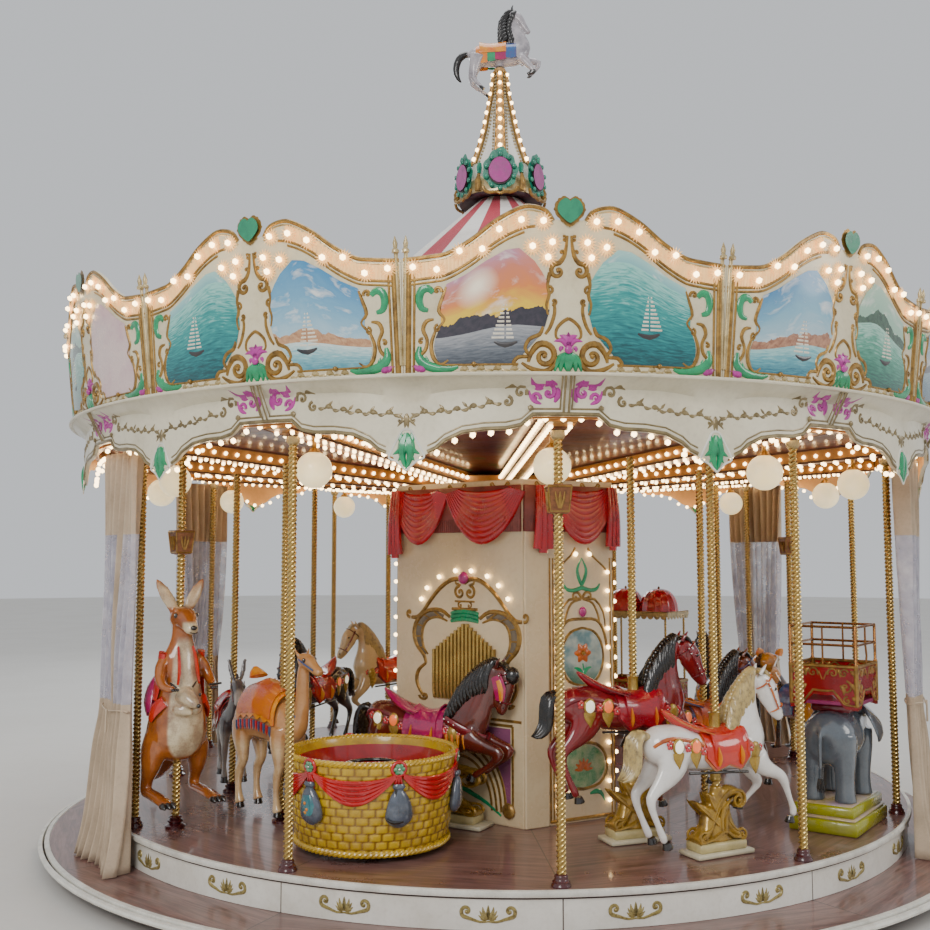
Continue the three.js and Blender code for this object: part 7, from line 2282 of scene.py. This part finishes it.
PROFILE = [(0.505, 0.44), (0.53, 0.5), (0.549, 0.6), (0.56, 0.7), (0.568, 0.8), (0.576, 0.9), (0.586, 0.99),
           (0.592, 1.03)]
basket = bmesh.new()
groove = basket.verts.layers.float.new("groove")
bmesh.ops.create_grid(basket, x_segments=240, y_segments=66, size=0.5)
for vert in basket.verts:
    t, s = vert.co.x + 0.5, vert.co.y + 0.5
    z, angle = 0.44 + 0.59 * s, t * math.tau
    row, stake = int(s * 11 - 1e-9), t * 40
    round_up = abs(math.sin(math.pi * s * 11)) ** 0.5
    block = abs(math.sin(math.pi * (stake + 0.5 * row + 0.5)))
    # gaps of the weave are marked for the painted shade
    vert[groove] = max(0.0, 1 - min(round_up, block ** 0.6) * 2.2)
    r = edged(z, [(b, a) for a, b in PROFILE]) + 0.004 * round_up * min(1, block * 3) + 0.004 * (block ** 0.5)
    vert.co = (r * math.cos(angle), r * math.sin(angle), z)
bmesh.ops.remove_doubles(basket, verts=basket.verts, dist=0.0004)
inner = bmesh.new()
spun_ring(inner, [(0.5, 0.441), (0.512, 0.52), (0.545, 0.8), (0.565, 1.03), (0.575, 1.045), (0.545, 1.05), (0.53, 1.0),
                  (0.475, 0.5), (0.02, 0.5), (0.02, 0.462), (0.48, 0.462)], 96, 1)
for face in inner.faces:
    centre = face.calc_center_median()
    face.material_index = 1 if centre.xy.length < 0.53 and centre.z > 0.49 else 0
add(basket, inner)
for R, z, girth, strands, turns in ((0.584, 1.046, 0.019, 3, 34), (0.532, 0.462, 0.017, 3, 30)):
    for strand in range(strands):
        rows = []
        for k in range(361):
            a, twist = math.radians(k), math.tau * (k * turns / 360 + strand / strands)
            rows.append([(R + girth * 0.62 * math.cos(twist)) * math.cos(a),
                         (R + girth * 0.62 * math.cos(twist)) * math.sin(a), z + girth * 0.62 * math.sin(twist),
                         girth * 0.72, girth * 0.72])
        limb(basket, rows, 6, 0, (0, 0, 1))
for k in range(6):
    way = math.radians(23.5 + 60 * k)
    part = bmesh.new()
    for j in range(6):
        bead(part, (0.024 * math.cos(1.047 * j), -0.012, 1.02 + 0.024 * math.sin(1.047 * j)), 0.016, 3, 1, (1, 0.5, 1))
    bead(part, (0, -0.014, 1.02), 0.012, 7, 1)
    limb(part, [[0.046 * math.cos(math.radians(a)), -0.002, 1.02 + 0.046 * math.sin(math.radians(a)), 0.012, 0.012]
                for a in range(0, 361, 20)], 8, 2, (0, 1, 0))
    for fold in (-0.02, 0, 0.02):
        limb(part, [[fold * 0.4, -0.002, 0.98, 0.01, 0.008], [fold, -0.004, 0.93, 0.012, 0.01],
                    [fold * 1.3, -0.002, 0.88, 0.008, 0.006]], 6, 2, between=2)
    limb(part, [[0, -0.016, 0.925, 0.034, 0.022], [0, -0.018, 0.905, 0.044, 0.028], [0, -0.018, 0.885, 0.03, 0.02],
                [0, -0.02, 0.86, 0.05, 0.03], [0.004, -0.022, 0.8, 0.078, 0.04], [0.006, -0.022, 0.73, 0.094, 0.046],
                [0.006, -0.02, 0.685, 0.086, 0.042], [0.006, -0.014, 0.648, 0.045, 0.022]], 16, 4, (1, 0, 0), 2)
    if k % 3 == 2:
        limb(part, [[0.0, -0.046, 0.84, 0.036, 0.016], [0.006, -0.052, 0.775, 0.058, 0.02],
                    [0.008, -0.052, 0.71, 0.046, 0.018]], 12, 5, (1, 0, 0), 2)
        for x, z in ((0.0, 0.79), (0.014, 0.75), (0.0, 0.73)):
            bead(part, (x, -0.07, z), 0.013, 6, 1, (1, 0.5, 1))
    if k % 3 == 0:
        limb(part, [[-0.02, -0.03, 0.9, 0.008, 0.008], [-0.03, -0.05, 0.8, 0.006, 0.006],
                    [-0.042, -0.05, 0.7, 0.006, 0.006]], 8, 8, between=2)
        limb(part, [[0.02, -0.055, 0.69, 0.012, 0.01], [-0.04, -0.06, 0.685, 0.012, 0.01],
                    [-0.085, -0.05, 0.71, 0.007, 0.006]], 8, 8, (0, 0, 1), 2)
    for roll in range(5):
        rows = []
        for j in range(15):
            t = j / 14
            sag = 4 * t * (1 - t)
            spread = 0.3 + 0.7 * sag
            rows.append([-(0.02 + t * 0.56), -0.004 - 0.004 * sag,
                         0.985 - (0.052 + 0.028 * roll * spread) * (sag ** 0.75) - 0.006 * roll, 0.012,
                         0.013 * spread + 0.003])
        limb(part, rows, 6, 2, (0, 1, 0))
    for vert in part.verts:
        x, y, z = vert.co
        r = edged(min(1.03, max(0.44, z)), [(b, a) for a, b in PROFILE]) + 0.011 - y
        a = x / 0.585 + way
        vert.co = (r * math.sin(a), -r * math.cos(a), z)
    add(basket, part)
bmesh.ops.translate(basket, vec=(at_x, at_y, 0), verts=basket.verts)
settle("wicker_basket", basket, [wicker, tub_red, swag_red, rosette_green, sand_grey, sand_teal, flame, mirror_glass,
                                 gloss_black], "basket", 50, replaces=["basket_tub"])
pivot = bmesh.new()
turned_piece(pivot, (at_x, at_y), [(0.3, 0.4003), (0.3, 0.418), (0.28, 0.43), (0.1, 0.4396)], 40, 0)
for k in range(6):
    a = math.radians(20 + 60 * k)
    bead(pivot, (at_x + 0.27 * math.cos(a), at_y + 0.27 * math.sin(a), 0.427), 0.009, 1, 1)
turned_piece(pivot, (at_x, at_y), [(0.05, 0.43), (0.044, 0.6), (0.036, 0.9), (0.052, 0.915), (0.05, 0.94),
                                   (0.03, 0.955), (0.01, 0.958)], 24, 0)
limb(pivot, [[at_x + 0.196 * math.cos(math.radians(a)), at_y + 0.196 * math.sin(math.radians(a)), 0.945, 0.0135,
              0.0135] for a in range(0, 361, 10)], 10, 0, (0, 0, 1))
for k in range(3):
    a = math.radians(40 + 120 * k)
    limb(pivot, [[at_x + 0.03 * math.cos(a), at_y + 0.03 * math.sin(a), 0.942, 0.009, 0.014],
                 [at_x + 0.19 * math.cos(a), at_y + 0.19 * math.sin(a), 0.945, 0.009, 0.012]], 8, 1, (0, 0, 1))
settle("basket_wheel", pivot, [gloss_black, chrome_foot], "rotor", 40, replaces=["basket_pivot"])

# ---- Pedestals ----
# The jumping horses rise from gilt scroll pedestals with a cream block on a pale slab. The jump's guide pole
# leaves the top of each and runs to its sweep; the brown horse's pedestal is longer and ends under its belly.
slab_cream = finish("slab_cream", 0xCFC6A8, 0xA89E84, gloss=0.3, coat=0.4, scale=8)
block_cream = finish("block_cream", 0xC8B882, 0x8E7C4A, gloss=0.28, coat=0.4, scale=8)
acanthus = finish("acanthus_gold", 0xB08A30, 0x6A4C16, gloss=0.2, metal=0.35, coat=0.6, scale=16, amount=0.9, bump=0.2)


def pedestal(name, angle, ring, turn=None, stretch=(1.0, 0.0), high=0.455):
    wide, shift = stretch
    form = bmesh.new()
    for rows in ([[-198, 0, 108, 80, 26], [-120, 0, 150, 70, 40], [-72, 0, 230, 58, 58], [-30, 0, 310, 52, 62],
                  [30, 0, 378, 52, 56], [96, 0, 410, 52, 44], [160, 0, 402, 52, 32], [196, 0, 360, 50, 24],
                  [186, 0, 318, 48, 20], [150, 0, 312, 46, 18]],
                 [[200, 0, 105, 80, 24], [140, 0, 130, 74, 34], [84, 0, 190, 62, 48], [50, 0, 270, 54, 60],
                  [44, 0, 340, 52, 60]], [[0, 0, 92, 78, 150], [0, 0, 150, 66, 110], [0, 0, 250, 54, 84]],
                 [[-30, 0, 250, 50, 40], [-96, 0, 300, 48, 34], [-160, 0, 336, 44, 22], [-205, 0, 368, 36, 10]],
                 [[-10, 0, 330, 46, 38], [-60, 0, 372, 44, 30], [-100, 0, 416, 34, 12]],
                 [[0, 0, 380, 44, 60], [0, 0, 430, 44, 44], [0, 0, high * 1000, 40, 40]]):
        chain(form, [[r[0] * wide, r[1], r[2], r[3], r[4]] for r in rows], 14)
    shape = carved(form, 0.009, 3)
    sides = bmesh.new()
    scroll(sides, (0.16, 0.352), 0.062, 80, -1.5, 0.012, 0,
           tail=[(-0.1, 0.16), (-0.06, 0.25), (-0.01, 0.35), (0.08, 0.42)])
    scroll(sides, (-0.158, 0.13), 0.044, 60, 1.4, 0.011, 0, tail=[(0.0, 0.32), (-0.05, 0.24), (-0.1, 0.18)])
    scroll(sides, (0.168, 0.124), 0.04, 120, -1.4, 0.011, 0, tail=[(0.05, 0.3), (0.07, 0.22), (0.12, 0.165)])
    for points in ([(-0.2, 0.1), (-0.08, 0.12), (0.02, 0.16), (0.1, 0.12), (0.2, 0.1)],
                   [(-0.02, 0.2), (-0.1, 0.27), (-0.17, 0.33), (-0.21, 0.37)],
                   [(0.0, 0.16), (0.01, 0.26), (0.05, 0.33), (0.11, 0.37)], [(0.03, 0.14), (0.045, 0.24), (0.075, 0.3)],
                   [(-0.03, 0.28), (-0.07, 0.34), (-0.1, 0.41)]):
        stroke(sides, points, [0.008] + [0.013] * (len(points) - 2) + [0.004], 0)
    bmesh.ops.scale(sides, vec=(wide, 1.4, 1), verts=sides.verts)
    for vert in sides.verts:
        vert.co.y -= edged(vert.co.z, [(0.08, 0.074), (0.16, 0.062), (0.25, 0.052), (0.34, 0.048), (0.46, 0.044)])
    bmesh.ops.mirror(sides, geom=everything(sides), axis="Y", matrix=Matrix.Identity(4), merge_dist=0)
    add(shape, sides)
    bmesh.ops.translate(shape, vec=(shift, 0, 0), verts=shape.verts)
    bar(shape, (-0.24 * wide + shift, -0.11, 0.003), (0.24 * wide + shift, 0.11, 0.034), 0.006, 2)
    bar(shape, (-0.2 * wide + shift, -0.086, 0.032), (0.2 * wide + shift, 0.086, 0.094), 0.012, 1)
    set_down(shape, angle, ring, 0, turn)
    place = polar(angle, ring)
    if name != "brown":
        twisted_pole(shape, place, 0.84, sweep_bottom(ring - 0.12) - 0.01, 0.0285, 3)
    else:
        twisted_pole(shape, place, 0.86, 1.015, 0.029, 3)
    settle(f"{name}_scroll_pedestal", shape, [acanthus, block_cream, slab_cream, brass], "rotor", 50,
           replaces=[f"{name}_pedestal"])


pedestal("maroon", 22.5, 2.47)
pedestal("white", 29.2, 2.99)
pedestal("brown", -17.3, 1.853, -28, (1.7, 0.09), 0.5)

# ---- Horse on the spire ----
# A small leaping horse, dapple grey with a black mane and tail, stands on a boss at the very top.
# Its cloth is pieced from blocks of orange, green, pink and blue.
form = bmesh.new()
for rows in ([[-300, 0, 125, 40, 50], [-285, 0, 128, 58, 68], [-220, 0, 135, 82, 98], [-120, 0, 138, 88, 106],
              [-20, 0, 140, 92, 112], [80, 0, 142, 90, 112], [150, 0, 152, 84, 108], [195, 0, 200, 70, 104],
              [200, 0, 250, 56, 94], [170, 0, 310, 50, 86], [140, 0, 360, 46, 80], [110, 0, 430, 40, 72],
              [105, 0, 490, 36, 62], [125, 0, 560, 28, 40]],
             [[90, 0, 550, 38, 44], [130, 0, 552, 42, 48], [180, 0, 525, 40, 50], [225, 0, 460, 30, 36],
              [262, 0, 400, 26, 28], [290, 0, 365, 22, 26]],
             [[-270, 0, 160, 26, 26], [-340, 0, 156, 34, 34], [-400, 0, 110, 36, 36], [-428, 0, 10, 30, 34],
              [-410, 0, -80, 22, 24], [-372, 0, -130, 6, 8]],
             [[200, 60, 110, 44, 50], [290, 64, 112, 34, 40], [385, 66, 95, 26, 28], [350, 66, 20, 18, 19],
              [290, 66, -40, 18, 19], [285, 66, -58, 22, 22]],
             [[190, -60, 100, 44, 50], [260, -62, 40, 34, 38], [335, -66, -55, 24, 26], [300, -66, -66, 18, 18],
              [262, -66, -80, 20, 22]], [[-220, 62, 120, 58, 74], [-262, 76, 10, 44, 50], [-268, 82, -110, 26, 28],
                                         [-180, 98, -170, 18, 19], [-85, 112, -238, 22, 22]],
             [[-220, -62, 120, 58, 74], [-246, -76, 0, 44, 50], [-250, -82, -118, 26, 28], [-200, -98, -190, 18, 19],
              [-152, -112, -246, 22, 22]], [[0, 0, 20, 46, 46], [0, 0, 70, 48, 48]]):
    chain(form, rows, 14)
peak = carved(form, 0.011, 4)
for face in peak.faces:
    x, _, z = face.calc_center_median() * 1000
    hind, front = z < -205 and x > -210, z < -38 and x > 240
    face.material_index = 1 if x < -318 else 2 if hind or front else 0
gear = bmesh.new()
for i in range(9):
    t = i / 8
    x, z = 120 - 40 * math.sin(3 * t) + 20 * t, 330 + 260 * t
    for side in (1, -1):
        chain(gear, [[x + 10, side * 6, z, 14, 20], [x - 50, side * 34, z - 14, 16, 22],
                     [x - 92 + 8 * math.sin(5 * i), side * 40, z - 60, 12, 18], [x - 112, side * 34, z - 110, 3, 5]], 7,
              1, 2)
        chain(gear, [[x + 16, side * 26, z - 10, 14, 22], [x - 6, side * 52, z - 50, 14, 24],
                     [x + 4 * math.sin(4 * i), side * 52, z - 96, 4, 8]], 7, 1, 2)
SMALL_BACK = [[-300, 0, 125, 60, 70], [-220, 0, 135, 82, 98], [-20, 0, 140, 92, 112], [150, 0, 150, 84, 108],
              [175, 0, 160, 80, 106]]
for tone, start, end, hang in ((3, -235, -118, 96), (4, -122, -42, 84), (5, -46, 62, 72), (6, 58, 160, 60)):
    draped(gear, SMALL_BACK, start, end, lambda t: hang + 8 * math.sin(3.1 * t), 6, tone, (0, 0), 0.008, 6)
draped(gear, SMALL_BACK, -200, 60, lambda t: 3, 12, 3, (40, 20), 0.008, 0)
for side in (1, -1):
    chain(gear, [[118, side * 22, 585, 12, 12], [120, side * 28, 615, 10, 9], [130, side * 30, 640, 2, 3]], 7, 1, 2)
add(peak, gear)
bmesh.ops.translate(peak, vec=(0, 0, 7.1503), verts=peak.verts)
dapple_grey = finish("dapple_grey", 0xB2ACB0, 0x74727A, gloss=0.24, coat=0.6, scale=9, amount=0.9, bump=0.05)
settle("horse_on_spire", peak, [dapple_grey, mane_black, hoof_dark, flame, leaf_green, saddle_pink, saddle_blue],
       "rotor", 50, replaces=["top_horse"])
